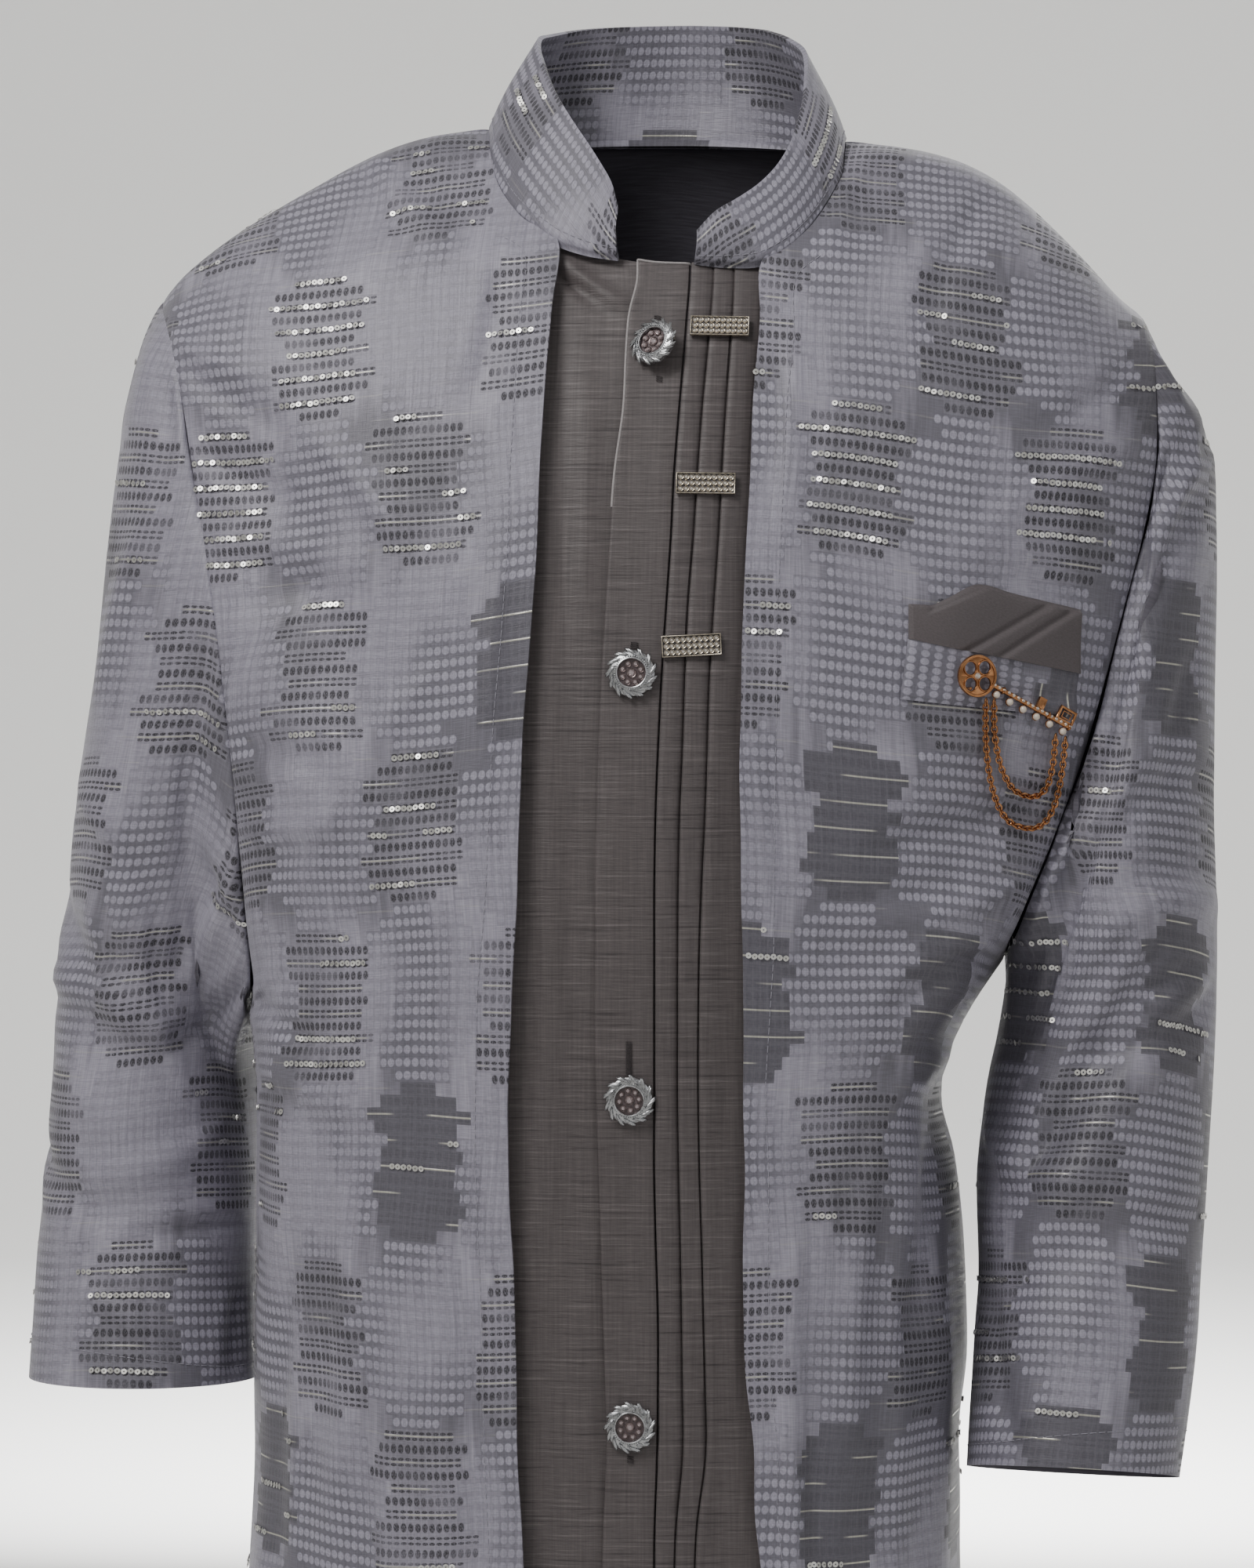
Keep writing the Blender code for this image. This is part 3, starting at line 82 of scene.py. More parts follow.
class Curve:
    """Smooth curve through (position, value) pairs, without overshoot."""

    def __init__(self, *pairs):
        pairs = sorted(pairs)
        self.at = np.array([pair[0] for pair in pairs], float)
        self.value = np.array([pair[1] for pair in pairs], float)
        step = np.diff(self.at)
        slope = np.diff(self.value) / step
        tangent = np.zeros(len(pairs))
        tangent[0] = slope[0]
        tangent[-1] = slope[-1]
        for index in range(1, len(pairs) - 1):
            before, after = slope[index - 1], slope[index]
            if before * after > 0:
                first = 2 * step[index] + step[index - 1]
                second = step[index] + 2 * step[index - 1]
                tangent[index] = (first + second) / (first / before + second / after)
        self.tangent = tangent

    def __call__(self, place):
        place = min(max(place, self.at[0]), self.at[-1])
        index = int(np.searchsorted(self.at, place, side="right")) - 1
        index = min(max(index, 0), len(self.at) - 2)
        width = self.at[index + 1] - self.at[index]
        t = (place - self.at[index]) / width
        near, far = self.value[index], self.value[index + 1]
        lean_near = self.tangent[index] * width
        lean_far = self.tangent[index + 1] * width
        return (
            near * (1 + 2 * t) * (1 - t) ** 2
            + lean_near * t * (1 - t) ** 2
            + far * t * t * (3 - 2 * t)
            + lean_far * t * t * (t - 1)
        )


def soft(t):
    """Ease from 0 to 1."""
    t = min(max(t, 0.0), 1.0)
    return t * t * (3 - 2 * t)


def eased(t):
    """The same ease for whole arrays of numbers."""
    t = np.clip(t, 0.0, 1.0)
    return t * t * (3 - 2 * t)


def unit(vector):
    return vector / max(np.linalg.norm(vector), 1e-12)


def running(points):
    """Running length along a line of points."""
    steps = np.linalg.norm(np.diff(points, axis=0), axis=1)
    return np.concatenate(([0.0], np.cumsum(steps)))


def point_at(reach, run, points):
    """The point that lies at a running length along a line."""
    return np.array([np.interp(reach, run, points[:, axis]) for axis in range(3)])


# The body's form under the coat, by height
FRONT_DEEP = Curve(
    (0.03, 0.036), (0.0, 0.044), (-0.02, 0.050), (-0.035, 0.058), (-0.05, 0.069),
    (-0.07, 0.079), (-0.10, 0.092), (-0.15, 0.106),
    (-0.20, 0.116), (-0.27, 0.124), (-0.35, 0.127), (-0.45, 0.123), (-0.56, 0.124),
    (-0.66, 0.130), (-0.80, 0.142), (-0.95, 0.156),
)
BACK_DEEP = Curve(
    (0.03, 0.055), (0.0, 0.066), (-0.05, 0.086), (-0.10, 0.098), (-0.16, 0.103),
    (-0.25, 0.099), (-0.35, 0.091), (-0.45, 0.087), (-0.56, 0.096), (-0.66, 0.106),
    (-0.80, 0.117), (-0.95, 0.128),
)
FRONT_MIDDLE = Curve(
    (0.03, -0.004), (-0.05, -0.004), (-0.15, -0.006), (-0.30, -0.010), (-0.45, -0.013),
    (-0.65, -0.014), (-0.95, -0.014),
)
LEFT_SIDE_PX = Curve(
    (150, 120), (395, 130), (600, 180), (800, 226), (1000, 266), (1150, 300), (1260, 323),
    (1400, 333), (1550, 332), (1700, 332), (1850, 333), (2000, 334),
)
RIGHT_SIDE_PX = Curve(
    (150, 1560), (405, 1556), (560, 1546), (700, 1524), (870, 1478), (1010, 1422),
    (1140, 1345), (1210, 1288), (1270, 1248), (1330, 1214), (1385, 1200), (1440, 1212),
    (1500, 1223), (1620, 1232), (1700, 1234), (1760, 1232), (1830, 1222), (1900, 1224),
    (2000, 1220),
)
# The broad form behind the sides' own rounding
LEFT_WIDE_PX = Curve(
    (150, 130), (395, 132), (800, 196), (1260, 284), (1600, 296), (2000, 294),
)
RIGHT_WIDE_PX = Curve(
    (150, 1550), (405, 1545), (800, 1492), (1260, 1352), (1600, 1282), (2000, 1268),
)
SIDE_ROUND = {
    -1: Curve((150, 0.026), (2000, 0.026)),
    1: Curve(
        (150, 0.026), (950, 0.026), (1120, 0.015), (1320, 0.015), (1500, 0.026), (2000, 0.026),
    ),
}
LAST_SEEN_ROW = 2000.0
HEM_SPREAD = 0.024


def row_of(z):
    """Measured row of a height, the other way round from level()."""
    return SIGHT_MID_Y - (z - SIGHT_HEIGHT) * SIGHT_FOCAL / SIGHT_FAR


def side_x(z, hand, wide=False):
    """x of the side seam at a height; hand is -1 for the wearer's right, +1 for the left."""
    py = row_of(z)
    if wide:
        table = LEFT_WIDE_PX if hand < 0 else RIGHT_WIDE_PX
    else:
        table = LEFT_SIDE_PX if hand < 0 else RIGHT_SIDE_PX
    x = seen(table(py), min(py, LAST_SEEN_ROW), 0.0)[0]
    below = soft((py - LAST_SEEN_ROW + 200) / 1200.0) * HEM_SPREAD
    return x + hand * below


# The shoulder line, seen from the front
RIDGE = Curve(*[
    (float(seen(px, py, 0.0)[0]), float(seen(px, py, 0.0)[2]))
    for px, py in (
        (150, 405), (195, 392), (230, 357), (270, 322), (320, 286), (370, 256), (420, 227),
        (470, 200), (520, 180), (570, 168), (628, 163), (700, 130), (853, 90), (1000, 130),
        (1078, 178), (1130, 183), (1180, 191), (1230, 206), (1280, 233), (1330, 276),
        (1380, 326), (1420, 371), (1445, 394), (1461, 405), (1500, 420),
    )
])
# How far below the shoulder line its rounding reaches, front and back
RIDGE_ROUND = 0.070
BACK_RIDGE_ROUND = 0.060
SIDE_POWER = 2.4


def side_share(x, z):
    """How far out x lies between the middle and the side seam, 0 to 1, and the hand."""
    middle = FRONT_MIDDLE(z)
    hand = -1 if x < middle else 1
    return min(abs((x - middle) / (side_x(z, hand) - middle)), 1.0), hand


def flatness(x, z):
    """Share of the full depth left at x: broad form times the turn at the side seam."""
    middle = FRONT_MIDDLE(z)
    hand = -1 if x < middle else 1
    wide = min(abs((x - middle) / (side_x(z, hand, True) - middle)), 1.0)
    broad = (1 - wide ** SIDE_POWER) ** (1 / SIDE_POWER)
    turn = SIDE_ROUND[hand](row_of(z))
    left = min(max(hand * (side_x(z, hand) - x), 0.0) / turn, 1.0)
    return broad * math.sqrt(max(1 - (1 - left) ** 2, 0.0))


def rounding(x, z, reach):
    """Share of the depth left near the shoulder line."""
    drop = min(max(RIDGE(x) - z, 0.0) / reach, 1.0)
    return math.sqrt(max(1 - (1 - drop) ** 2, 0.0))


# Folds reach their full height where this many times the flatness is over 1
FOLD_FADE = 1.6
# Largest folds of the fronts: x and z of both ends, half width, height
FRONT_FOLDS = (
    (-0.190, -0.130, -0.120, -0.235, 0.016, -0.0045),
    (-0.205, -0.190, -0.140, -0.300, 0.018, 0.0040),
    (-0.165, -0.095, -0.095, -0.190, 0.018, 0.0030),
    (-0.175, -0.360, -0.110, -0.330, 0.016, -0.0035),
    (-0.165, -0.480, -0.130, -0.900, 0.020, -0.0045),
    (-0.105, -0.520, -0.085, -0.930, 0.022, 0.0040),
    (0.185, -0.130, 0.125, -0.215, 0.018, 0.0035),
    (0.180, -0.275, 0.110, -0.330, 0.016, -0.0045),
    (0.165, -0.300, 0.100, -0.385, 0.016, 0.0045),
    (0.125, -0.375, 0.070, -0.350, 0.014, -0.0035),
    (0.105, -0.440, 0.085, -0.900, 0.018, -0.0050),
    (0.065, -0.500, 0.060, -0.930, 0.020, 0.0040),
)
BACK_FOLDS = (
    (-0.150, -0.130, -0.090, -0.330, 0.020, -0.0040),
    (0.135, -0.120, 0.080, -0.300, 0.020, -0.0040),
    (-0.020, -0.400, -0.025, -0.920, 0.028, 0.0050),
    (-0.095, -0.430, -0.110, -0.930, 0.022, -0.0055),
    (0.055, -0.450, 0.060, -0.930, 0.024, -0.0050),
    (0.100, -0.400, 0.110, -0.900, 0.020, 0.0045),
)


def folded(x, z, folds):
    """Height of the soft folds at a place, counted outwards."""
    total = 0.0
    for x0, z0, x1, z1, wide, high in folds:
        along_x, along_z = x1 - x0, z1 - z0
        square = along_x * along_x + along_z * along_z
        t = ((x - x0) * along_x + (z - z0) * along_z) / square
        off = math.hypot(x - x0 - along_x * t, z - z0 - along_z * t) / wide
        ends = soft((t + 0.25) / 0.45) * soft((1.25 - t) / 0.45)
        total += high * math.exp(-off * off) * ends
    return total


def front_y(x, z):
    """Depth of the front's outer face."""
    flat = flatness(x, z)
    deep = FRONT_DEEP(z) * flat * rounding(x, z, RIDGE_ROUND)
    return -deep - folded(x, z, FRONT_FOLDS) * min(flat * FOLD_FADE, 1.0)


def back_y(x, z):
    """Depth of the back's outer face."""
    flat = flatness(x, z)
    deep = BACK_DEEP(z) * flat * rounding(x, z, BACK_RIDGE_ROUND)
    return deep + folded(x, z, BACK_FOLDS) * min(flat * FOLD_FADE, 1.0)


def on_front(px, py):
    """The point of the front's outer face on a sight line."""
    depth = -0.10
    for turn in range(8):
        point = seen(px, py, depth)
        depth = 0.5 * (depth + front_y(point[0], point[2]))
    point[1] = front_y(point[0], point[2])
    return point


def front_out(point):
    """Outward direction of the front's face at a point of it."""
    step = 0.003
    x, z = point[0], point[2]
    across = (front_y(x + step, z) - front_y(x - step, z)) / (2 * step)
    down = (front_y(x, z + step) - front_y(x, z - step)) / (2 * step)
    across = min(max(across, -1.6), 1.6)
    down = min(max(down, -1.6), 1.6)
    return unit(np.array((across, -1.0, down)))


# Lines of the fronts, by measured row
EDGE_RIGHT = Curve(
    (305, 712), (380, 705), (450, 700), (520, 692), (600, 688), (680, 684), (760, 680),
    (840, 675), (920, 668), (1000, 664), (1100, 660), (1200, 655), (1350, 650), (1450, 648),
    (1550, 650), (1650, 655), (1750, 658), (1850, 660), (1930, 665), (2000, 668),
    (2400, 676), (3100, 680),
)
EDGE_LEFT = Curve(
    (330, 972), (400, 970), (480, 962), (560, 958), (650, 955), (750, 950), (850, 947),
    (950, 943), (1100, 945), (1200, 948), (1300, 950), (1400, 948), (1500, 950),
    (1600, 948), (1700, 950), (1790, 955), (1850, 962), (1900, 965), (1950, 963),
    (2000, 972), (2400, 984), (3100, 992),
)
PLACKET_EDGE = Curve(
    (343, 813), (370, 808), (400, 800), (430, 797), (470, 797), (520, 793), (560, 787),
    (620, 780), (700, 775), (780, 770), (860, 765), (930, 762), (1000, 760), (1100, 757),
    (1300, 757), (1500, 762), (1700, 768), (1850, 772), (1950, 768), (2000, 765),
    (3100, 772),
)
TUCKS = (
    Curve(
        (335, 882), (378, 878), (440, 873), (500, 868), (600, 860), (700, 855), (800, 848),
        (900, 842), (1000, 838), (1100, 835), (1500, 835), (1700, 840), (1800, 840),
        (2000, 835), (3100, 842),
    ),
    Curve(
        (335, 912), (400, 907), (480, 900), (560, 893), (650, 888), (750, 880), (850, 875),
        (950, 872), (1050, 868), (1200, 866), (1400, 866), (1600, 870), (1850, 873),
        (2000, 862), (3100, 872),
    ),
    Curve(
        (335, 938), (400, 935), (500, 928), (600, 922), (700, 917), (800, 910), (900, 905),
        (1000, 903), (1100, 898), (1300, 893), (1400, 893), (1600, 898), (1850, 903),
        (2000, 888), (3100, 900),
    ),
)
INNER_TOP = Curve(
    (560, 262), (600, 270), (640, 280), (680, 288), (712, 294), (735, 302), (760, 311),
    (785, 318), (810, 323), (840, 327), (881, 328), (912, 325), (940, 323), (972, 318),
    (1010, 310), (1040, 304), (1080, 296),
)
ARMHOLE_RIGHT = (
    (195, 392), (207, 408), (215, 430), (222, 470), (235, 540), (245, 600), (252, 660),
    (262, 720), (272, 780), (280, 860), (290, 950), (299, 1040), (306, 1130), (313, 1200),
    (318, 1235), (321, 1262),
)
ARMHOLE_LEFT = (
    (1461, 405), (1470, 430), (1476, 470), (1479, 560), (1470, 640), (1456, 700),
    (1440, 760), (1425, 830), (1409, 880), (1393, 940), (1369, 1010), (1344, 1075),
    (1320, 1135), (1302, 1175), (1289, 1200), (1284, 1214),
)

# Rows and columns of the panels
ARM_ROWS = 14
UNDERARM_ROW = 10
SKIRT_ROWS = 20
SHOULDER_STEPS = 10
NECK_STEPS = 8
ARM_SHARES = (
    0.0, 0.025, 0.06, 0.105, 0.165, 0.24, 0.325, 0.42, 0.52, 0.62, 0.72, 0.81, 0.885, 0.945, 1.0,
)
# How far the row at the underarm sags below the armhole
UNDERARM_SAG = 0.010
NECK_ROWS = 5
NECK_SHARES = (0.0, 0.14, 0.32, 0.54, 0.78, 1.0)


def spread(points, shares):
    """Points at given shares of a smooth line's length through the given points."""
    points = np.array(points, float)
    run = running(points)
    curves = [Curve(*zip(run, points[:, axis])) for axis in range(3)]
    fine = np.linspace(0, run[-1], 400)
    dense = np.array([[curve(place) for curve in curves] for place in fine])
    length = running(dense)
    return [point_at(share * length[-1], length, dense) for share in shares]


def armhole(hand):
    """The armhole's front half, shoulder tip to underarm, on the coat's outer face."""
    measured = ARMHOLE_RIGHT if hand < 0 else ARMHOLE_LEFT
    points = [on_front(px, py) for px, py in measured]
    points[0][1] = 0.0
    points[0][2] = RIDGE(points[0][0])
    points[-1] = seen(measured[-1][0], measured[-1][1], 0.0)
    points[-1][0] = side_x(points[-1][2], hand)
    return spread(points, ARM_SHARES)


def armhole_back(hand):
    """The back half of the armhole, a little nearer to the middle than the front half."""
    front = armhole(hand)
    tip, under = front[0], front[-1]
    points = []
    for index, point in enumerate(front):
        share = index / ARM_ROWS
        inward = 0.007 * math.sin(math.pi * share)
        x = point[0] - hand * inward
        z = point[2]
        points.append(np.array((x, back_y(x, z), z)))
    points[0] = tip.copy()
    points[-1] = under.copy()
    return spread(points, ARM_SHARES)


ARM_FRONT = {-1: armhole(-1), 1: armhole(1)}
ARM_BACK = {-1: armhole_back(-1), 1: armhole_back(1)}

# The collar's seam on the body, from each front end to the shoulder seam
SEAM_RIGHT = (
    (712, 307), (690, 293), (665, 276), (647, 255), (634, 231), (627, 205), (626, 175),
)
SEAM_LEFT = (
    (972, 332), (998, 319), (1020, 302), (1044, 275), (1061, 249), (1075, 218), (1080, 186),
)
BACK_NECK = (
    (-0.0665, 0.0080), (-0.0420, 0.0095), (0.0, 0.0100), (0.0430, 0.0080), (0.0685, 0.0050),
)


def neck_line(hand):
    """The front half of the neckline, from its front end to the shoulder seam."""
    measured = SEAM_RIGHT if hand < 0 else SEAM_LEFT
    points = [on_front(px, py) for px, py in measured[:-1]]
    last = seen(*measured[-1], 0.0)
    last[2] = RIDGE(last[0])
    return points + [last]


def back_neck():
    """The back's neckline, wearer's right to left, between the two shoulder seams."""
    points = [neck_line(-1)[-1]]
    points += [np.array((x, back_y(x, z), z)) for x, z in BACK_NECK]
    points.append(neck_line(1)[-1])
    return spread(points, [index / NECK_STEPS for index in range(NECK_STEPS + 1)])


def sag(j, u):
    """Sag of the rows round the armhole's bottom, u from the front edge to the side."""
    rise = soft((j - UNDERARM_ROW) / (ARM_ROWS - UNDERARM_ROW))
    settle = 1 - soft((j - ARM_ROWS) / 6.0)
    return UNDERARM_SAG * rise * settle * soft((u - 0.35) / 0.45) * soft((1 - u) / 0.12)


def side_grid(hand):
    """Points of one front panel, shoulder seam to hem, opening edge to side."""
    edge = EDGE_RIGHT if hand < 0 else EDGE_LEFT
    neck = neck_line(hand)[::-1]
    inner = spread(neck, NECK_SHARES)
    corner_row = 307.0 if hand < 0 else 332.0
    arm = ARM_FRONT[hand]
    under_row = row_of(arm[-1][2])
    for index in range(1, ARM_ROWS - NECK_ROWS + 1):
        share = index / (ARM_ROWS - NECK_ROWS)
        py = corner_row + (under_row - corner_row) * (0.72 * share + 0.28 * share * share)
        inner.append(on_front(edge(py), py))
    hem = -COAT_LENGTH
    outer = list(arm)
    start_in, start_out = inner[-1][2], arm[-1][2]
    for index in range(1, SKIRT_ROWS + 1):
        share = index / SKIRT_ROWS
        z_in = start_in + (hem - start_in) * share
        z_out = start_out + (hem - start_out) * share
        py = row_of(z_in)
        for turn in range(4):
            point = on_front(edge(py), py)
            py += (point[2] - z_in) * SIGHT_FOCAL / SIGHT_FAR
        inner.append(point)
        outer.append(np.array((side_x(z_out, hand), 0.0, z_out)))

    rows = []
    for j in range(ARM_ROWS + SKIRT_ROWS + 1):
        first, last = inner[j], outer[j]
        row = []
        angle_in = math.asin(side_share(first[0], first[2])[0])
        angle_out = math.asin(side_share(last[0], last[2])[0])
        if j > ARM_ROWS:
            angle_out = math.pi / 2
        for i in range(SHOULDER_STEPS + 1):
            u = i / SHOULDER_STEPS
            if i == 0:
                row.append(first.copy())
                continue
            if i == SHOULDER_STEPS:
                row.append(last.copy())
                continue
            z = first[2] + (last[2] - first[2]) * u
            angle = angle_in + (angle_out - angle_in) * u
            middle = FRONT_MIDDLE(z)
            x = middle + (side_x(z, hand) - middle) * math.sin(angle)
            if j == 0:
                x = first[0] + (last[0] - first[0]) * u
            arched = RIDGE(x) - RIDGE(first[0]) * (1 - u) - RIDGE(last[0]) * u
            z += arched * (1 - soft(j / (ARM_ROWS - 1))) - sag(j, u)
            if j == 0:
                row.append(np.array((x, 0.0, RIDGE(x))))
                continue
            middle = FRONT_MIDDLE(z)
            x = middle + (side_x(z, hand) - middle) * math.sin(angle)
            row.append(np.array((x, front_y(x, z), z)))
        rows.append(row)
    return np.array(rows)


def back_grid():
    """Points of the back, from the wearer's right side to the left."""
    right, left = side_top(-1), side_top(1)
    columns = 2 * SHOULDER_STEPS + NECK_STEPS
    top = list(right)
    top += back_neck()[1:-1]
    top += list(left[::-1])
    rows = [top]
    hem = -COAT_LENGTH
    shares_top = []
    for point in top:
        share, hand = side_share(point[0], point[2])
        shares_top.append(hand * math.asin(share))
    for j in range(1, ARM_ROWS + SKIRT_ROWS + 1):
        if j <= ARM_ROWS:
            ends = (ARM_BACK[-1][j], ARM_BACK[1][j])
        else:
            share = (j - ARM_ROWS) / SKIRT_ROWS
            ends = []
            for hand in (-1, 1):
                start = ARM_BACK[hand][-1][2]
                z = start + (hem - start) * share
                ends.append(np.array((side_x(z, hand), 0.0, z)))
        angles = []
        for hand, end in zip((-1, 1), ends):
            angle = math.asin(side_share(end[0], end[2])[0])
            angles.append(hand * (math.pi / 2 if j > ARM_ROWS else angle))
        row = []
        settled = soft(j / (ARM_ROWS + 4))
        for i in range(columns + 1):
            u = i / columns
            if i == 0:
                row.append(ends[0].copy())
                continue
            if i == columns:
                row.append(ends[1].copy())
                continue
            even = angles[0] + (angles[1] - angles[0]) * u
            near = shares_top[i] - shares_top[0] * (1 - u) - shares_top[-1] * u
            angle = even + near * (1 - settled)
            low = ends[0][2] + (ends[1][2] - ends[0][2]) * u
            drop = top[i][2] - (top[0][2] * (1 - u) + top[-1][2] * u)
            z = low + drop * (1 - soft(j / (ARM_ROWS + 1))) - sag(j, abs(2 * u - 1))
            middle = FRONT_MIDDLE(z)
            hand = -1 if angle < 0 else 1
            x = middle + (side_x(z, hand) - middle) * math.sin(abs(angle))
            y = back_y(x, z)
            close = 1 - soft(j / 4)
            y = y * (1 - close) + max(y, top[i][1] + 0.004 * j) * close
            row.append(np.array((x, y, z)))
        rows.append(row)
    return np.array(rows)


def side_top(hand):
    """Shoulder seam points, tip to neck, shared by the front and the back."""
    grid = side_grid(hand)
    return [point.copy() for point in grid[0][::-1]]


def mix(first, second, share):
    """A value between two others."""
    return first * (1 - share) + second * share


def body_side(y, z, hand):
    """x of the coat body's outer face at a depth and height near the side."""
    inside, outside = side_x(z, hand) - hand * 0.07, side_x(z, hand)
    for turn in range(14):
        middle = 0.5 * (inside + outside)
        reach = -front_y(middle, z) if y < 0 else back_y(middle, z)
        if reach > abs(y):
            inside = middle
        else:
            outside = middle
    return outside


# Sleeves: measured row, outer and inner column, middle depth, half depth
SLEEVE_RIGHT_ROWS = (
    (385, 196, 520, 0.000, 0.034), (410, 183, 510, 0.000, 0.042),
    (430, 175, 500, 0.000, 0.048), (500, 160, 480, 0.000, 0.056),
    (620, 148, 455, -0.002, 0.064), (780, 133, 432, -0.002, 0.068),
    (930, 115, 402, 0.002, 0.068), (1060, 97, 374, 0.010, 0.066),
    (1180, 84, 345, 0.018, 0.064), (1260, 77, 328, 0.026, 0.061),
    (1360, 73, 327, 0.031, 0.059), (1500, 63, 328, 0.032, 0.057),
    (1620, 50, 328, 0.028, 0.055), (1700, 45, 328, 0.024, 0.054),
    (1767, 40, 328, 0.020, 0.053),
)
SLEEVE_LEFT_ROWS = (
    (395, 1460, 1150, 0.000, 0.034), (430, 1470, 1160, 0.000, 0.044),
    (460, 1480, 1165, 0.000, 0.050), (500, 1502, 1172, 0.000, 0.055),
    (565, 1548, 1182, 0.000, 0.060), (700, 1553, 1190, -0.003, 0.066),
    (900, 1550, 1205, -0.007, 0.069), (1060, 1549, 1225, -0.009, 0.069),
    (1160, 1553, 1248, -0.009, 0.067), (1212, 1553, 1272, -0.008, 0.064),
    (1300, 1552, 1270, -0.008, 0.062), (1400, 1546, 1256, -0.012, 0.060),
    (1500, 1540, 1246, -0.018, 0.058), (1600, 1533, 1248, -0.024, 0.057),
    (1700, 1527, 1243, -0.030, 0.056), (1800, 1514, 1236, -0.036, 0.055),
    (1854, 1505, 1233, -0.040, 0.054),
)
SLEEVE_ROWS = 19
SLEEVE_CLEAR = 0.0024
CUFF_TILT = {-1: (0.0, 0.0), 1: (-0.0020, 0.0085)}


def sleeve_tables(hand):
    """Outer and inner side, middle depth and half depth of one sleeve, by height."""
    rows = SLEEVE_RIGHT_ROWS if hand < 0 else SLEEVE_LEFT_ROWS
    far, near, depth, half = [], [], [], []
    for py, out_px, in_px, middle, deep in rows:
        z = float(level(py))
        far.append((z, float(seen(out_px, py, middle)[0])))
        near.append((z, float(seen(in_px, py, middle)[0])))
        depth.append((z, middle))
        half.append((z, deep))
    return Curve(*far), Curve(*near), Curve(*depth), Curve(*half)


# Largest folds of the sleeves: turn round the sleeve, share down it, slope, widths, height
SLEEVE_FOLDS = {
    -1: (
        (-0.9, 0.62, 0.35, 0.60, 0.045, -0.0040),
        (-1.2, 0.74, -0.30, 0.70, 0.040, 0.0035),
        (-1.5, 0.50, 0.25, 0.55, 0.045, 0.0030),
        (1.4, 0.60, 0.30, 0.80, 0.045, -0.0045),
        (1.2, 0.76, -0.25, 0.80, 0.040, 0.0040),
        (2.8, 0.55, 0.20, 0.60, 0.045, -0.0030),
    ),
    1: (
        (-1.8, 0.56, 0.40, 0.60, 0.040, -0.0055),
        (-1.4, 0.65, 0.35, 0.60, 0.040, 0.0045),
        (-2.1, 0.74, -0.30, 0.60, 0.045, -0.0035),
        (-0.8, 0.14, 0.10, 0.45, 0.040, -0.0060),
        (1.4, 0.58, 0.30, 0.80, 0.045, -0.0045),
        (1.7, 0.72, -0.30, 0.80, 0.040, 0.0040),
    ),
}


def sleeve_grid(hand):
    """Rings of one sleeve: round the arm by column, armhole to cuff by row."""
    far, near, depth, half = sleeve_tables(hand)
    front, back = ARM_FRONT[hand], ARM_BACK[hand]
    loop = list(front) + list(back[-2:0:-1])
    count = len(loop)
    bottom = min(far.at)

    def section(z, angle):
        out_x, in_x = far(z), near(z)
        middle = 0.5 * (out_x + in_x)
        reach = abs(out_x - in_x) * 0.5
        x = middle + hand * reach * math.cos(angle)
        y = depth(z) - half(z) * math.sin(angle)
        return np.array((x, y, z))

    def angle_at(point):
        out_x, in_x = far(point[2]), near(point[2])
        middle = 0.5 * (out_x + in_x)
        reach = abs(out_x - in_x) * 0.5
        side = (point[0] - middle) / reach * hand
        fore = (depth(point[2]) - point[1]) / half(point[2])
        return math.atan2(fore, side)

    starts = [angle_at(point) for point in loop]
    starts[0] = 0.0
    starts[ARM_ROWS] = math.pi
    for index in range(ARM_ROWS + 1, count):
        if starts[index] < 0:
            starts[index] += 2 * math.pi
    even = [2 * math.pi * index / count for index in range(count)]
    rows = []
    tilt_side, tilt_fore = CUFF_TILT[hand]
    for j in range(SLEEVE_ROWS + 1):
        share = j / SLEEVE_ROWS
        around = []
        for k, point in enumerate(loop):
            turn = soft(share / 0.55)
            angle = starts[k] * (1 - turn) + even[k] * turn
            cuff = bottom + tilt_side * math.cos(angle) + tilt_fore * math.sin(angle)
            drop = share ** 1.12
            z = point[2] + (cuff - point[2]) * drop
            place = section(max(z, bottom), angle)
            start = section(point[2], starts[k])
            fade = 1 - soft(share / 0.30)
            place = place + (point - start) * fade
            place[2] = z
            bump = 0.0
            signed = angle if angle <= math.pi else angle - 2 * math.pi
            for turned_by, down, slope, wide, long, high in SLEEVE_FOLDS[hand]:
                aside = (signed + turned_by) / wide
                below = (share - down - slope * aside * 0.12) / long
                bump += high * math.exp(-aside * aside - below * below)
            away = unit(place - section(max(z, bottom), angle + math.pi) + 1e-9)
            away[2] = 0.0
            place = place + away * bump * soft(share * 12)
            under = loop[ARM_ROWS][2]
            if place[2] < under + 0.022 and j > 0:
                clear = body_side(place[1], min(place[2], under), hand) + hand * SLEEVE_CLEAR
                if place[0] * hand < clear * hand:
                    place[0] = mix(place[0], clear, soft((under + 0.022 - place[2]) / 0.014))
            around.append(place)
        rows.append(around)
    return np.array(rows)


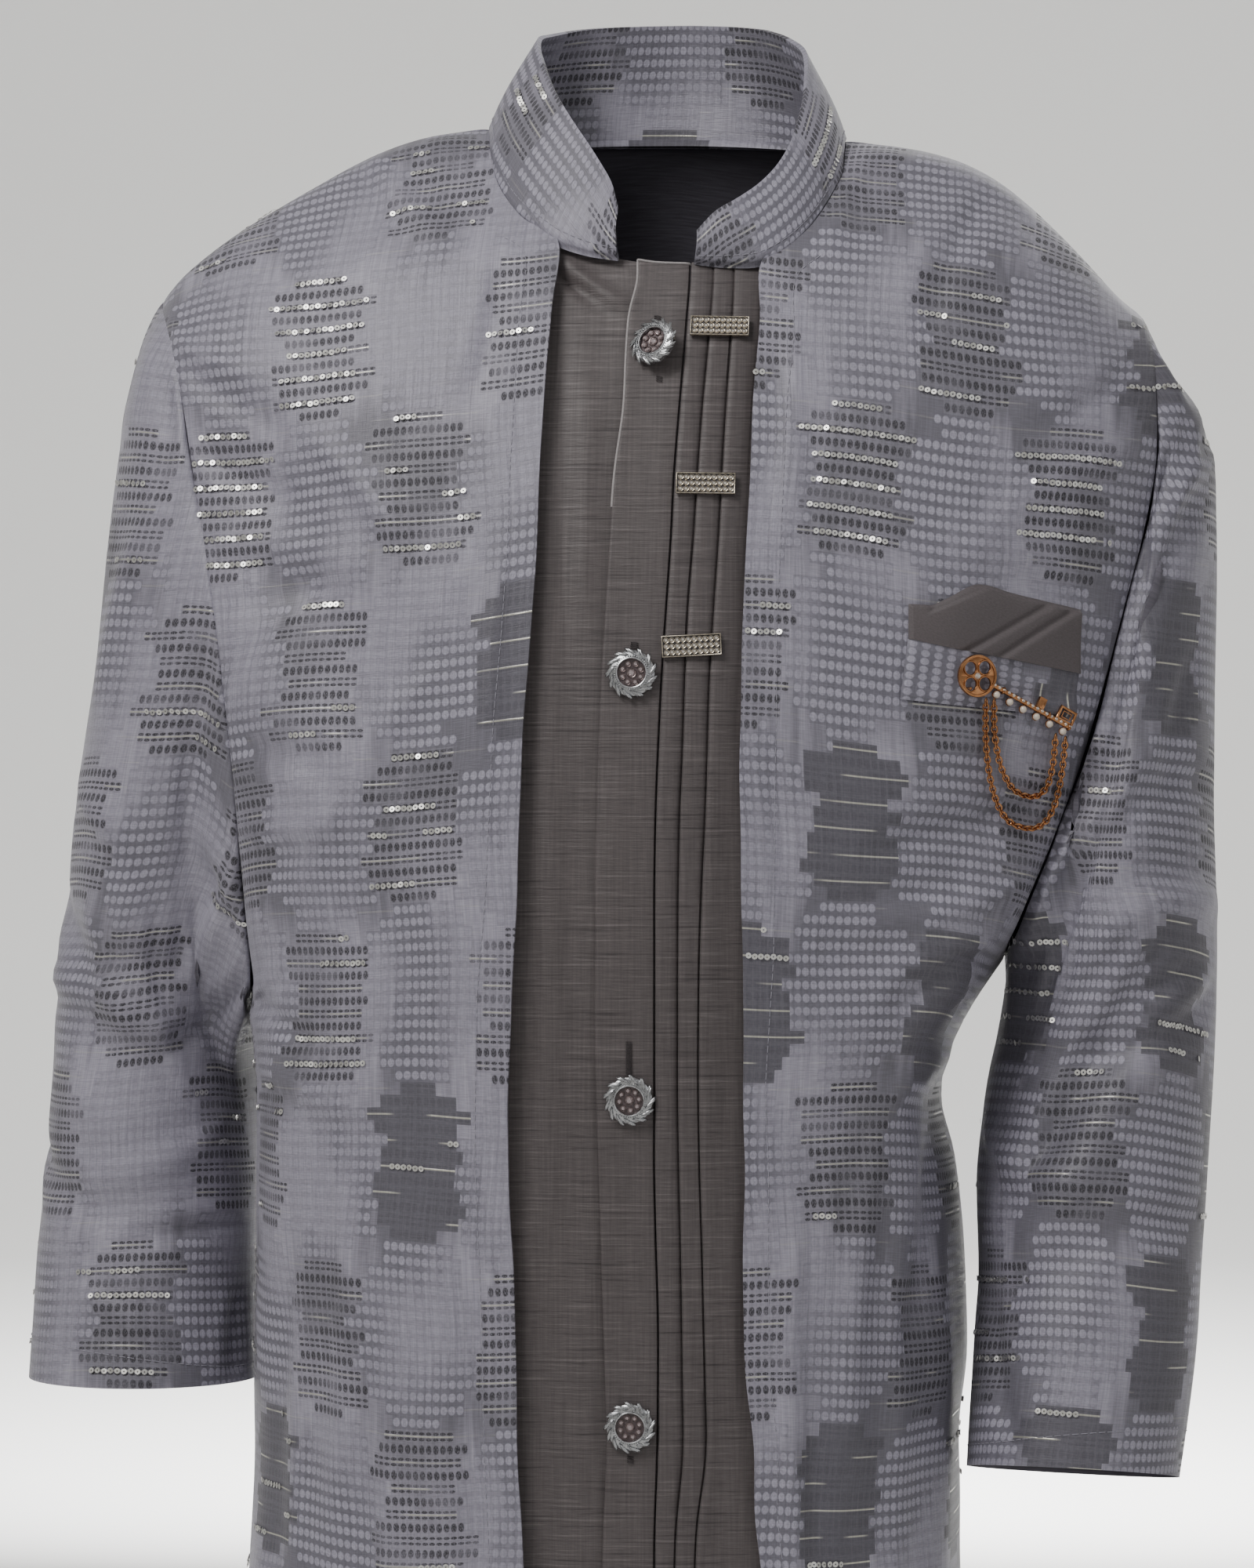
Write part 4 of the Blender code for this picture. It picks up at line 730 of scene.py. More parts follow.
# The collar: lower seam and upper edge, right front end, round the back, left front end
COLLAR_END_RIGHT = ((786, 326), (762, 323), (738, 316))
COLLAR_END_LEFT = ((930, 335), (886, 333))
COLLAR_TOP_RIGHT = (
    (789, 268, -0.0650), (782, 240, -0.0625), (760, 200, -0.0560), (730, 155, -0.0455),
    (706, 115, -0.0310), (692, 80, -0.0150), (685, 52, 0.0020),
)
COLLAR_TOP_BACK = (
    (-0.053, 0.022, 0.056), (-0.034, 0.040, 0.061), (0.0, 0.050, 0.063),
    (0.035, 0.040, 0.060), (0.054, 0.022, 0.052),
)
COLLAR_TOP_LEFT = (
    (1031, 75, 0.0020), (1029, 110, -0.0150), (1020, 150, -0.0300), (1000, 200, -0.0450),
    (960, 243, -0.0580), (912, 272, -0.0670), (889, 296, -0.0705),
)
COLLAR_STEPS = 34
COLLAR_ROWS = 4
# The collar stands off the neckline by this much, and its middle swells by this much
COLLAR_LIFT = 0.0009
COLLAR_SWELL = 0.0022


def collar_grid():
    """Points of the collar's outer face, upper edge to seam, wearer's right to left."""
    low = [on_front(px, py) for px, py in COLLAR_END_RIGHT]
    low += neck_line(-1)[:-1]
    low += back_neck()
    low += neck_line(1)[-2::-1]
    low += [on_front(px, py) for px, py in COLLAR_END_LEFT]
    top = [seen(*place) for place in COLLAR_TOP_RIGHT]
    top += [np.array(place) for place in COLLAR_TOP_BACK]
    top += [seen(*place) for place in COLLAR_TOP_LEFT]
    shares = [index / COLLAR_STEPS for index in range(COLLAR_STEPS + 1)]
    low = spread(low, shares)
    top = spread(top, shares)
    rows = []
    for j in range(COLLAR_ROWS + 1):
        share = j / COLLAR_ROWS
        row = []
        for first, last in zip(top, low):
            point = first + (last - first) * share
            point = point + np.array((0.0, 0.0, COLLAR_LIFT))
            out = unit(np.array((point[0], point[1] + 0.004, 0.0)))
            row.append(point + out * COLLAR_SWELL * math.sin(math.pi * share))
        rows.append(row)
    return np.array(rows)


# Rows of the plain panels: steps from the neckline, and the measured rows of top and hem
PANEL_STEPS = (
    0, 30, 70, 120, 190, 270, 350, 440, 530, 620, 710, 800, 890, 980, 1070, 1160, 1250,
    1340, 1430, 1520, 1620, 1740, 1880, 2040, 2220, 2420, 2580,
)
TOP_ROW = 345.0
HEM_ROW = 2930.0


def near_top(py, px):
    """1 at the inner neckline, 0 well below it."""
    return 1 - soft((py - INNER_TOP(px)) / 130.0)


def frame_at(px, py, out, turn=0.0):
    """Middle, right, up and outward directions for a small piece lying on the front."""
    point = on_front(px, py)
    normal = front_out(point)
    right = unit(np.cross(normal, np.array((0.0, 0.0, 1.0))))
    right = right if right[0] > 0 else -right
    up = unit(np.cross(right, normal))
    up = up if up[2] > 0 else -up
    angle = math.radians(turn)
    leant = right * math.cos(angle) + up * math.sin(angle)
    up = up * math.cos(angle) - right * math.sin(angle)
    return point + normal * out, leant, up, normal


def denser(grid, times, closed=False):
    """More points along the first axis, on smooth curves through the given ones."""
    if closed:
        padded = np.concatenate((grid[-1:], grid, grid[:2]))
        spans = len(grid)
    else:
        first = 2 * grid[:1] - grid[1:2]
        last = 2 * grid[-1:] - grid[-2:-1]
        padded = np.concatenate((first, grid, last))
        spans = len(grid) - 1
    parts = []
    for step in range(times):
        t = step / times
        p0, p1 = padded[:spans], padded[1:spans + 1]
        p2, p3 = padded[2:spans + 2], padded[3:spans + 3]
        parts.append(0.5 * (
            2 * p1 + (p2 - p0) * t + (2 * p0 - 5 * p1 + 4 * p2 - p3) * t * t
            + (3 * p1 - p0 - 3 * p2 + p3) * t ** 3
        ))
    fine = np.stack(parts, axis=1).reshape((spans * times,) + grid.shape[1:])
    if not closed:
        fine = np.concatenate((fine, grid[-1:]))
    return fine


def finer(grid, down, across, closed=False):
    """A grid of points with more rows and more columns."""
    fine = denser(grid, down)
    fine = denser(fine.transpose(1, 0, 2), across, closed)
    return fine.transpose(1, 0, 2)


def pictured(points):
    """Measured column and row of points: the other way round from seen()."""
    sine, cosine = math.sin(SIGHT_TURN), math.cos(SIGHT_TURN)
    eye = np.array((SIGHT_SIDE + SIGHT_FAR * sine, -SIGHT_FAR * cosine, SIGHT_HEIGHT))
    away = points - eye
    deep = -away[..., 0] * sine + away[..., 1] * cosine
    right = away[..., 0] * cosine + away[..., 1] * sine
    px = SIGHT_MID_X + right / deep * SIGHT_FOCAL
    py = SIGHT_MID_Y - away[..., 2] / deep * SIGHT_FOCAL
    return px, py


def creased(a, b, creases, strength=1.0):
    """Height of the given creases at places (a, b).

    Each crease runs from (a0, b0) through a bent middle to (a1, b1); it has a half width,
    a height in millimetres (below 0 for a trough) and a bend to one side.
    """
    total = np.zeros_like(a)
    for a0, b0, a1, b1, wide, high, bend in creases:
        length = math.hypot(a1 - a0, b1 - b0)
        ua, ub = (a1 - a0) / length, (b1 - b0) / length
        along = ((a - a0) * ua + (b - b0) * ub) / length
        aside = -(a - a0) * ub + (b - b0) * ua
        aside = aside - bend * (1 - (2 * np.clip(along, 0, 1) - 1) ** 2)
        width = wide * (0.75 + 0.5 * np.clip(along, 0, 1))
        off = aside / width
        shape = np.exp(-off * off) - 0.35 * np.exp(-((off - 1.7) ** 2))
        ends = eased((along + 0.12) / 0.40) * eased((1.12 - along) / 0.40)
        total += high * 0.001 * strength * shape * ends
    return total


def arcs(grid, weight=None):
    """Running length along the second axis, with a share of the depth counted."""
    step = np.diff(grid, axis=1)
    side = step[..., 1] if weight is None else step[..., 1] * weight[:, 1:]
    run = np.sqrt(step[..., 0] ** 2 + side ** 2)
    return np.concatenate((np.zeros((grid.shape[0], 1)), np.cumsum(run, axis=1)), axis=1)


def drops(grid, start_row):
    """Running length down each column in height and depth, 0 at one row."""
    step = np.diff(grid, axis=0)
    run = np.sqrt(step[..., 2] ** 2 + step[..., 1] ** 2)
    total = np.concatenate((np.zeros((1, grid.shape[1])), np.cumsum(run, axis=0)))
    return total - total[start_row]


def lengths(grid, axis):
    """Running length along one axis of a grid of points."""
    step = np.linalg.norm(np.diff(grid, axis=axis), axis=2)
    start = np.zeros_like(step.take([0], axis=axis))
    return np.concatenate((start, np.cumsum(step, axis=axis)), axis=axis)


def placed(name, data):
    """A new object in the scene."""
    made = bpy.data.objects.new(name, data)
    bpy.context.scene.collection.objects.link(made)
    return made


# Edges sharper than this stay sharp on a cloth wall
CLOTH_SHARP = math.radians(48)


def sheet_mesh(name, outer, inner, flat, closed=False):
    """A closed thin wall between two grids, with flat cloth places as its UV map."""
    rows, columns = outer.shape[:2]
    spans = columns if closed else columns - 1
    half = rows * columns
    j, i = np.meshgrid(np.arange(rows - 1), np.arange(spans), indexing="ij")
    j, i = j.ravel(), i.ravel()
    a = j * columns + i
    b = j * columns + (i + 1) % columns
    c, d = b + columns, a + columns
    wide = spans + 1
    ua = j * wide + i
    ub, uc, ud = ua + 1, ua + wide + 1, ua + wide
    faces = [np.stack((a, d, c, b), 1), np.stack((half + a, half + b, half + c, half + d), 1)]
    maps = [np.stack((ua, ud, uc, ub), 1), np.stack((ua, ub, uc, ud), 1)]
    kinds = [np.zeros(len(a), int), np.ones(len(a), int)]
    i = np.arange(spans)
    for row, turn in ((0, False), (rows - 1, True)):
        a = row * columns + i
        b = row * columns + (i + 1) % columns
        ua = row * wide + i
        face = np.stack((a, b, half + b, half + a), 1)
        corners = np.stack((ua, ua + 1, ua + 1, ua), 1)
        faces.append(face[:, ::-1] if turn else face)
        maps.append(corners[:, ::-1] if turn else corners)
        kinds.append(np.zeros(spans, int))
    if not closed:
        j = np.arange(rows - 1)
        for column, turn in ((0, False), (columns - 1, True)):
            a = j * columns + column
            d = a + columns
            ua = j * wide + column
            face = np.stack((d, a, half + a, half + d), 1)
            corners = np.stack((ua + wide, ua, ua, ua + wide), 1)
            faces.append(face[:, ::-1] if turn else face)
            maps.append(corners[:, ::-1] if turn else corners)
            kinds.append(np.zeros(rows - 1, int))
    faces, maps, kinds = np.concatenate(faces), np.concatenate(maps), np.concatenate(kinds)
    points = np.concatenate((outer.reshape(-1, 3), inner.reshape(-1, 3)))
    corner = points[faces]
    volume = np.einsum("ij,ij->i", corner[:, 0], np.cross(corner[:, 1], corner[:, 2])).sum()
    volume += np.einsum("ij,ij->i", corner[:, 0], np.cross(corner[:, 2], corner[:, 3])).sum()
    if volume < 0:
        faces, maps = faces[:, ::-1], maps[:, ::-1]
    data = bpy.data.meshes.new(name)
    data.from_pydata(points.tolist(), [], faces.tolist())
    layer = data.uv_layers.new(name="cloth")
    layer.data.foreach_set("uv", flat.reshape(-1, 2)[maps.ravel()].astype(np.float32).ravel())
    data.polygons.foreach_set("material_index", kinds)
    data.shade_smooth()
    data.set_sharp_from_angle(angle=CLOTH_SHARP)
    return placed(name, data)


class Cloth:
    """A cut piece of cloth: its face as a grid, its flat places and its outward directions."""

    def __init__(self, grid, flat, out, closed=False):
        self.grid, self.flat, self.out, self.closed = grid, flat, out, closed
        points = grid
        if closed:
            points = np.concatenate((grid, grid[:, :1]), axis=1)
            out = np.concatenate((out, out[:, :1]), axis=1)
        rows, columns = points.shape[:2]
        self.points = points.reshape(-1, 3)
        self.outs = out.reshape(-1, 3)
        self.places = np.concatenate((flat.reshape(-1, 2), np.zeros((rows * columns, 1))), 1)
        j, i = np.meshgrid(np.arange(rows - 1), np.arange(columns - 1), indexing="ij")
        a = (j * columns + i).ravel()
        quads = np.stack((a, a + 1, a + columns + 1, a + columns), 1)
        self.triangles = np.concatenate((quads[:, [0, 1, 2]], quads[:, [0, 2, 3]]))
        self.tree = BVHTree.FromPolygons(self.places.tolist(), self.triangles.tolist())

    def at(self, u, v):
        """Point, outward direction and row direction of the face at a flat place."""
        hit = self.tree.ray_cast(Vector((u, v, 1.0)), Vector((0, 0, -1)))
        index = hit[2]
        if index is None:
            return None
        corners = self.triangles[index]
        p = self.places[corners][:, :2]
        span = np.array((p[1] - p[0], p[2] - p[0])).T
        s, t = np.linalg.solve(span, np.array((u, v)) - p[0])
        share = np.array((1 - s - t, s, t))
        point = share @ self.points[corners]
        out = unit(share @ self.outs[corners])
        q = self.points[corners]
        across = np.linalg.solve(span, np.array((1.0, 0.0)))
        along = (q[1] - q[0]) * across[0] + (q[2] - q[0]) * across[1]
        along = unit(along - out * float(np.dot(along, out)))
        return point, out, along


def outward(grid, toward, closed=False):
    """Outward unit directions of a grid, turned so that one sample faces a given way."""
    if closed:
        across = np.roll(grid, -1, axis=1) - np.roll(grid, 1, axis=1)
    else:
        across = np.gradient(grid, axis=1)
    down = np.gradient(grid, axis=0)
    out = np.cross(down, across)
    out /= np.maximum(np.linalg.norm(out, axis=2, keepdims=True), 1e-12)
    row, column, way = toward
    if float(np.dot(out[row, column], way)) < 0:
        out = -out
    return out


# Creases of the fronts in measured columns and rows: start, end, half width, height in mm, bend
FRONT_CREASES = {
    -1: (
        (236, 560, 392, 640, 15, -1.6, 10), (250, 690, 470, 735, 17, 1.7, -14),
        (262, 770, 420, 742, 13, -1.5, 9), (392, 560, 520, 700, 16, 1.5, -10),
        (205, 425, 330, 480, 13, 1.6, 6), (225, 480, 372, 560, 11, -1.2, -6),
        (470, 190, 560, 300, 16, 1.1, 8), (640, 330, 600, 520, 14, -0.9, -5),
        (292, 950, 420, 985, 16, -1.7, -8), (300, 1060, 450, 1040, 15, 1.4, 9),
        (325, 1270, 400, 1330, 12, -1.9, 7), (330, 1350, 470, 1420, 17, 1.3, 10),
        (520, 1130, 560, 1480, 19, -1.1, 12), (440, 1480, 420, 1990, 20, 1.7, -14),
        (372, 1560, 350, 2080, 15, -1.9, 10), (590, 1580, 604, 2070, 17, -1.2, -9),
        (500, 1700, 520, 2500, 20, 1.6, 12), (330, 1900, 310, 2600, 16, 1.8, -8),
        (560, 2150, 590, 2800, 22, -1.9, 12), (400, 2200, 380, 2860, 22, -2.2, -10),
        (640, 700, 622, 980, 13, 0.9, 6), (560, 860, 470, 960, 15, 1.1, 9),
    ),
    1: (
        (1440, 470, 1300, 560, 15, -1.5, -9), (1466, 560, 1240, 690, 14, 1.4, 12),
        (1420, 760, 1180, 740, 17, -1.3, 8), (1390, 900, 1130, 1000, 18, 1.6, 14),
        (1350, 1020, 1100, 1095, 15, -1.8, 10), (1310, 1130, 1050, 1180, 16, 1.8, -12),
        (1280, 1215, 1130, 1290, 14, -2.1, 8), (1215, 1330, 1120, 1410, 14, 1.5, -7),
        (1100, 200, 1060, 330, 15, 1.1, 7), (1260, 250, 1180, 420, 17, -1.1, 10),
        (1010, 420, 1000, 700, 14, 0.9, -6), (985, 930, 1010, 1180, 13, -1.1, 6),
        (1190, 1400, 1150, 1760, 15, -1.9, -12), (1120, 1440, 1085, 1900, 17, 1.7, 12),
        (1040, 1500, 1050, 2050, 15, -1.4, 9), (1200, 1600, 1180, 2200, 16, 1.9, -9),
        (1000, 1700, 1010, 2500, 18, 1.5, -10), (1110, 2050, 1120, 2700, 22, -2.2, 12),
        (1220, 2150, 1230, 2840, 18, 1.8, 10), (1040, 2250, 1060, 2860, 18, -1.5, -8),
    ),
}
# Creases of the back in metres: x and z of start and end, half width, height in mm, bend
BACK_CREASES = (
    (-0.150, -0.150, -0.060, -0.250, 0.0065, 1.6, 0.006),
    (-0.140, -0.210, -0.075, -0.330, 0.0070, -1.7, -0.008),
    (-0.100, -0.090, -0.020, -0.130, 0.0060, -1.1, 0.004),
    (0.140, -0.140, 0.050, -0.240, 0.0065, -1.6, -0.006),
    (0.130, -0.220, 0.070, -0.350, 0.0075, 1.7, 0.008),
    (0.080, -0.080, 0.010, -0.120, 0.0060, 1.0, 0.004),
    (-0.150, -0.385, -0.060, -0.350, 0.0125, -0.9, 0.008),
    (-0.060, -0.390, 0.060, -0.380, 0.0080, 1.3, -0.008),
    (0.120, -0.400, 0.050, -0.430, 0.0105, -1.0, 0.006),
    (-0.130, -0.450, -0.140, -0.930, 0.0080, 2.2, 0.010),
    (-0.070, -0.480, -0.065, -0.910, 0.0075, -2.0, -0.010),
    (0.010, -0.430, 0.012, -0.900, 0.0090, 1.8, 0.010),
    (0.030, -0.540, 0.034, -0.960, 0.0070, -1.7, -0.006),
    (0.082, -0.470, 0.078, -0.940, 0.0075, 2.0, 0.009),
    (0.125, -0.520, 0.140, -0.960, 0.0070, -1.9, -0.006),
    (-0.020, -0.640, -0.028, -0.960, 0.0060, 1.5, 0.006),
    (-0.105, -0.700, -0.100, -0.960, 0.0065, 1.7, 0.005),
)
# Creases of the sleeves, flat, in metres: across from the front's middle, and from the cuff,
# below 0 for up the sleeve
SLEEVE_CREASES = {
    -1: (
        (-0.075, -0.225, 0.020, -0.190, 0.0085, -2.4, 0.010),
        (-0.080, -0.185, 0.030, -0.150, 0.0080, 2.2, -0.008),
        (-0.060, -0.275, 0.050, -0.250, 0.0090, 1.9, 0.010),
        (0.060, -0.210, -0.020, -0.260, 0.0075, -1.7, 0.006),
        (-0.090, -0.120, 0.010, -0.075, 0.0075, -2.0, 0.008),
        (0.050, -0.120, -0.030, -0.090, 0.0070, 1.5, -0.006),
        (-0.030, -0.400, -0.045, -0.300, 0.0090, 1.6, 0.006),
        (0.030, -0.430, 0.045, -0.330, 0.0080, -1.5, -0.006),
        (0.150, -0.240, 0.230, -0.180, 0.0090, 2.4, 0.010),
        (0.140, -0.180, 0.220, -0.140, 0.0080, -2.2, -0.008),
        (0.170, -0.360, 0.200, -0.260, 0.0090, 1.9, 0.010),
        (0.110, -0.080, 0.200, -0.050, 0.0070, 1.6, 0.006),
    ),
    1: (
        (0.085, -0.250, -0.020, -0.215, 0.0085, 2.6, 0.010),
        (0.080, -0.215, -0.030, -0.175, 0.0075, -2.6, -0.010),
        (0.085, -0.300, 0.000, -0.275, 0.0085, -2.0, 0.008),
        (-0.060, -0.260, 0.020, -0.300, 0.0080, 2.0, 0.008),
        (-0.075, -0.330, -0.010, -0.400, 0.0080, -2.2, 0.008),
        (0.070, -0.110, -0.015, -0.085, 0.0075, -1.8, 0.008),
        (-0.070, -0.150, 0.010, -0.120, 0.0080, 1.8, 0.008),
        (0.055, -0.450, 0.020, -0.340, 0.0090, 2.2, 0.008),
        (-0.220, -0.240, -0.150, -0.190, 0.0090, 2.3, 0.010),
        (-0.210, -0.180, -0.140, -0.150, 0.0080, -2.1, -0.008),
        (-0.180, -0.380, -0.160, -0.270, 0.0090, -1.8, 0.010),
        (-0.190, -0.090, -0.110, -0.060, 0.0070, 1.6, 0.006),
    ),
}
# Facets of the sleeve's cap and elbow where they face front: measured, as for the fronts
CAP_CREASES = {
    -1: (
        (200, 420, 165, 560, 13, 1.5, 0), (230, 470, 200, 640, 13, -1.6, 5),
        (250, 640, 215, 860, 15, 1.5, 6), (270, 820, 240, 1100, 15, -1.7, 8),
        (305, 1090, 215, 1290, 14, 1.8, -8), (318, 1240, 200, 1350, 13, -2.2, -8),
        (310, 1560, 150, 1590, 12, -1.9, 6), (305, 1640, 300, 1765, 11, -1.6, 3),
        (110, 1150, 170, 1330, 14, 1.5, 8), (95, 1640, 200, 1700, 13, 1.4, 5),
    ),
    1: (
        (1470, 430, 1545, 560, 13, 1.6, 0), (1553, 572, 1462, 700, 15, 2.2, 6),
        (1500, 560, 1470, 640, 12, -1.8, 0), (1475, 720, 1450, 880, 14, 1.6, 8),
        (1415, 880, 1290, 1215, 13, 2.4, -12), (1440, 900, 1330, 1230, 16, -2.4, -14),
        (1530, 820, 1490, 1080, 16, -1.5, 12), (1480, 1180, 1400, 1300, 14, 2.0, 8),
        (1530, 1230, 1450, 1290, 13, -1.9, 8), (1265, 1640, 1292, 1850, 12, -1.6, 5),
    ),
}
# How many times finer each shell is than its grid, both ways
FRONT_FINER = 6
BACK_FINER = 5
SLEEVE_FINER = 6
COLLAR_FINER = 5
PANEL_FINER = 7
# One row and column of each shell, and the way its outer face looks there
FRONT_SAMPLE = (120, 20, (0.0, -1.0, 0.0))
BACK_SAMPLE_ROW = 100
COLLAR_SAMPLE_ROW = 8
SLEEVE_SAMPLE_ROW = 60
# The sleeve's row whose girth its flat places are measured by
SLEEVE_GIRTH_ROW = 90
SEAM_SINK = 0.0011
# How much fuller the creases hang than their tables give, body and sleeves
BODY_FULL = 1.8
BACK_FULL = 2.5
SLEEVE_FULL = 1.5
# The collar's lower edge is tucked this far down inside the neckline
COLLAR_TUCK = 0.0030


def swayed(u, v):
    """The weave's rows and columns as they hang: a little off true, in long soft waves."""
    off_u = 0.0011 * np.sin(v * 31.0 + 1.3 * np.sin(u * 17.0))
    off_u = off_u + 0.0007 * np.sin(v * 73.0 + u * 21.0)
    off_v = 0.0019 * np.sin(u * 23.0 + 0.9 * np.sin(v * 13.0))
    off_v = off_v + 0.0008 * np.sin(u * 61.0 + v * 19.0)
    return np.stack((u + off_u, v + off_v), axis=2)


# Share of the shoulder's depth that counts as length down the cloth
SHOULDER_SHARE = 0.75


def hung(grid, aside):
    """How far down the cloth a place lies: its height, with the shoulder's depth added on top."""
    start = int(np.argmin(np.abs(grid[:, grid.shape[1] // 2, 2] + 0.10)))
    down = drops(grid, start)
    z = grid[..., 2]
    extra = down + (z - z[start][None, :])
    extra[start:] = 0.0
    slope = 0.09 * eased((z + 0.52) / 0.25) - 0.05 * eased((-0.50 - z) / 0.2)
    return -z + SHOULDER_SHARE * extra - slope * aside


def seam_valley(grid, out, rows, columns=(), last_row=0):
    """Sink rows a little, and columns down to a last row, as a stitched seam pulls cloth in."""
    for row, share in rows:
        grid[row] -= out[row] * SEAM_SINK * share
    upper = slice(0, last_row + 1)
    for column, share in columns:
        grid[upper, column] -= out[upper, column] * SEAM_SINK * share


def calm_border(rows, columns, near_start, near_end):
    """0 at the top and sides of a cloth and 1 inside, so that creases die out at its seams."""
    across = np.linspace(0, 1, columns)
    border = eased(across / near_start)[None, :] * eased((1 - across) / near_end)[None, :]
    return border * eased(np.arange(rows) / 8.0)[:, None]


def calm_ends(rows, first, last):
    """0 in the first and last row and 1 between, over so many rows at each end."""
    row = np.arange(rows)
    return eased(row / first)[:, None] * eased((rows - 1 - row) / last)[:, None]


def depth_share(z):
    """How much of the depth counts as width: little over the shoulder, all of it lower down."""
    return 0.15 + 0.85 * eased((-0.03 - z) / 0.12)


def front_cloth(hand):
    """One front: fine grid with creases, flat places, outward directions."""
    grid = finer(side_grid(hand), FRONT_FINER, FRONT_FINER)
    out = outward(grid, FRONT_SAMPLE)
    px, py = pictured(grid)
    bump = creased(px, py, FRONT_CREASES[hand], BODY_FULL)
    rows, columns = grid.shape[:2]
    grid = grid + out * (bump * calm_border(rows, columns, 0.06, 0.08))[..., None]
    wavy = 0.00030 * np.sin(py * 0.013 + hand) + 0.00012 * np.sin(py * 0.041 + 2 * hand)
    near = np.exp(-np.arange(columns) / 6.0)[None, :]
    grid[..., 0] += wavy * near * eased((np.arange(rows) - 30) / 12.0)[:, None]
    out = outward(grid, FRONT_SAMPLE)
    seam_valley(
        grid, out, ((0, 1.0), (1, 0.25)), ((-1, 1.0), (-2, 0.3)), ARM_ROWS * FRONT_FINER,
    )
    u = grid[:, :1, 0] + hand * arcs(grid, depth_share(grid[..., 2]))
    v = hung(grid, np.abs(u - u[:, :1]))
    return Cloth(grid, swayed(u, v), out)


def back_cloth():
    """The back: fine grid with creases, flat places, outward directions."""
    grid = finer(back_grid(), BACK_FINER, BACK_FINER)
    middle = grid.shape[1] // 2
    sample = (BACK_SAMPLE_ROW, middle, (0.0, 1.0, 0.0))
    out = outward(grid, sample)
    bump = creased(grid[..., 0], grid[..., 2], BACK_CREASES, BACK_FULL)
    grid = grid + out * (bump * calm_border(*grid.shape[:2], 0.05, 0.05))[..., None]
    out = outward(grid, sample)
    seam_valley(
        grid, out, ((0, 0.8), (1, 0.2)), ((0, 1.0), (-1, 1.0), (1, 0.3), (-2, 0.3)),
        ARM_ROWS * BACK_FINER,
    )
    run = arcs(grid, depth_share(grid[..., 2]))
    u = -(grid[:, middle, 0][:, None] + run - run[:, middle][:, None])
    v = hung(grid, 0.6 * np.abs(u))
    return Cloth(grid, swayed(u, v), out)


def sleeve_cloth(hand):
    """One sleeve as rings from armhole to cuff, split at the underarm for its flat places."""
    grid = finer(sleeve_grid(hand), SLEEVE_FINER, SLEEVE_FINER, closed=True)
    under = ARM_ROWS * SLEEVE_FINER
    grid = np.roll(grid, -under, axis=1)
    rows, columns = grid.shape[:2]
    sample = (SLEEVE_SAMPLE_ROW, columns - under, (float(hand), 0.0, 0.0))
    out = outward(grid, sample, closed=True)
    middle = SLEEVE_GIRTH_ROW
    front = int(np.argmin(grid[middle, :, 1]))
    loop = np.concatenate((grid, grid[:, :1]), axis=1)
    run = arcs(loop)
    length = lengths(loop, 0)
    turn = 1.0 if grid[middle, front + 4, 0] > grid[middle, front - 4, 0] else -1.0
    girth = np.convolve(np.pad(run[:, -1], 8, mode="edge"), np.ones(17) / 17, mode="valid")
    spread_out = np.clip(girth / girth[middle], 0.80, 1.12)[:, None]
    u = turn * (run[middle] - run[middle, front])[None, :] * spread_out
    v = length - length[-1]
    bump = creased(u[:, :-1], v[:, :-1], SLEEVE_CREASES[hand], SLEEVE_FULL)
    grid = grid + out * (bump * calm_ends(rows, 14.0, 5.0))[..., None]
    px, py = pictured(grid)
    facing = eased((-out[..., 1] + 0.2) / 0.5)
    bump = creased(px, py, CAP_CREASES[hand], SLEEVE_FULL) * facing
    grid = grid + out * (bump * calm_ends(rows, 6.0, 4.0))[..., None]
    out = outward(grid, sample, closed=True)
    seam_valley(grid, out, ((0, 1.0), (1, 0.3)))
    shift = float(np.mean(grid[-1, :, 2]))
    middle_x = float(grid[middle, front, 0])
    return Cloth(grid, swayed(u + middle_x, v - shift), out, closed=True)


def collar_cloth():
    """The collar, with its lower edge tucked inside the neckline."""
    grid = finer(collar_grid(), COLLAR_FINER, COLLAR_FINER)
    middle = grid.shape[1] // 2
    sample = (COLLAR_SAMPLE_ROW, middle, (0.0, 1.0, 0.0))
    out = outward(grid, sample)
    fall = grid[-1] - grid[-3]
    fall /= np.linalg.norm(fall, axis=1, keepdims=True)
    tucked = [
        grid[-1] + fall * COLLAR_TUCK * share - out[-1] * 0.0024 * soft(share * 1.3)
        for share in (0.3, 0.6, 1.0)
    ]
    grid = np.concatenate((grid, np.array(tucked)))
    out = outward(grid, sample)
    across = np.broadcast_to(lengths(grid, 1)[-1], grid.shape[:2])
    return Cloth(grid, np.stack((across, lengths(grid, 0)), axis=2), out)


# Finishes
def hue(code):
    """A hex colour as the linear values that a shader takes."""
    parts = [int(code[i:i + 2], 16) / 255 for i in (1, 3, 5)]
    line = [p / 12.92 if p <= 0.04045 else ((p + 0.055) / 1.055) ** 2.4 for p in parts]
    return (*line, 1.0)


def add(tree, kind, inputs=None, out=0, **settings):
    """Add a node with its settings and links, and give one of its outputs."""
    made = tree.nodes.new("ShaderNode" + kind)
    for key, value in settings.items():
        setattr(made, key, value)
    for key, value in (inputs or {}).items():
        if isinstance(value, bpy.types.NodeSocket):
            tree.links.new(value, made.inputs[key])
        else:
            made.inputs[key].default_value = value
    return made.outputs[out]


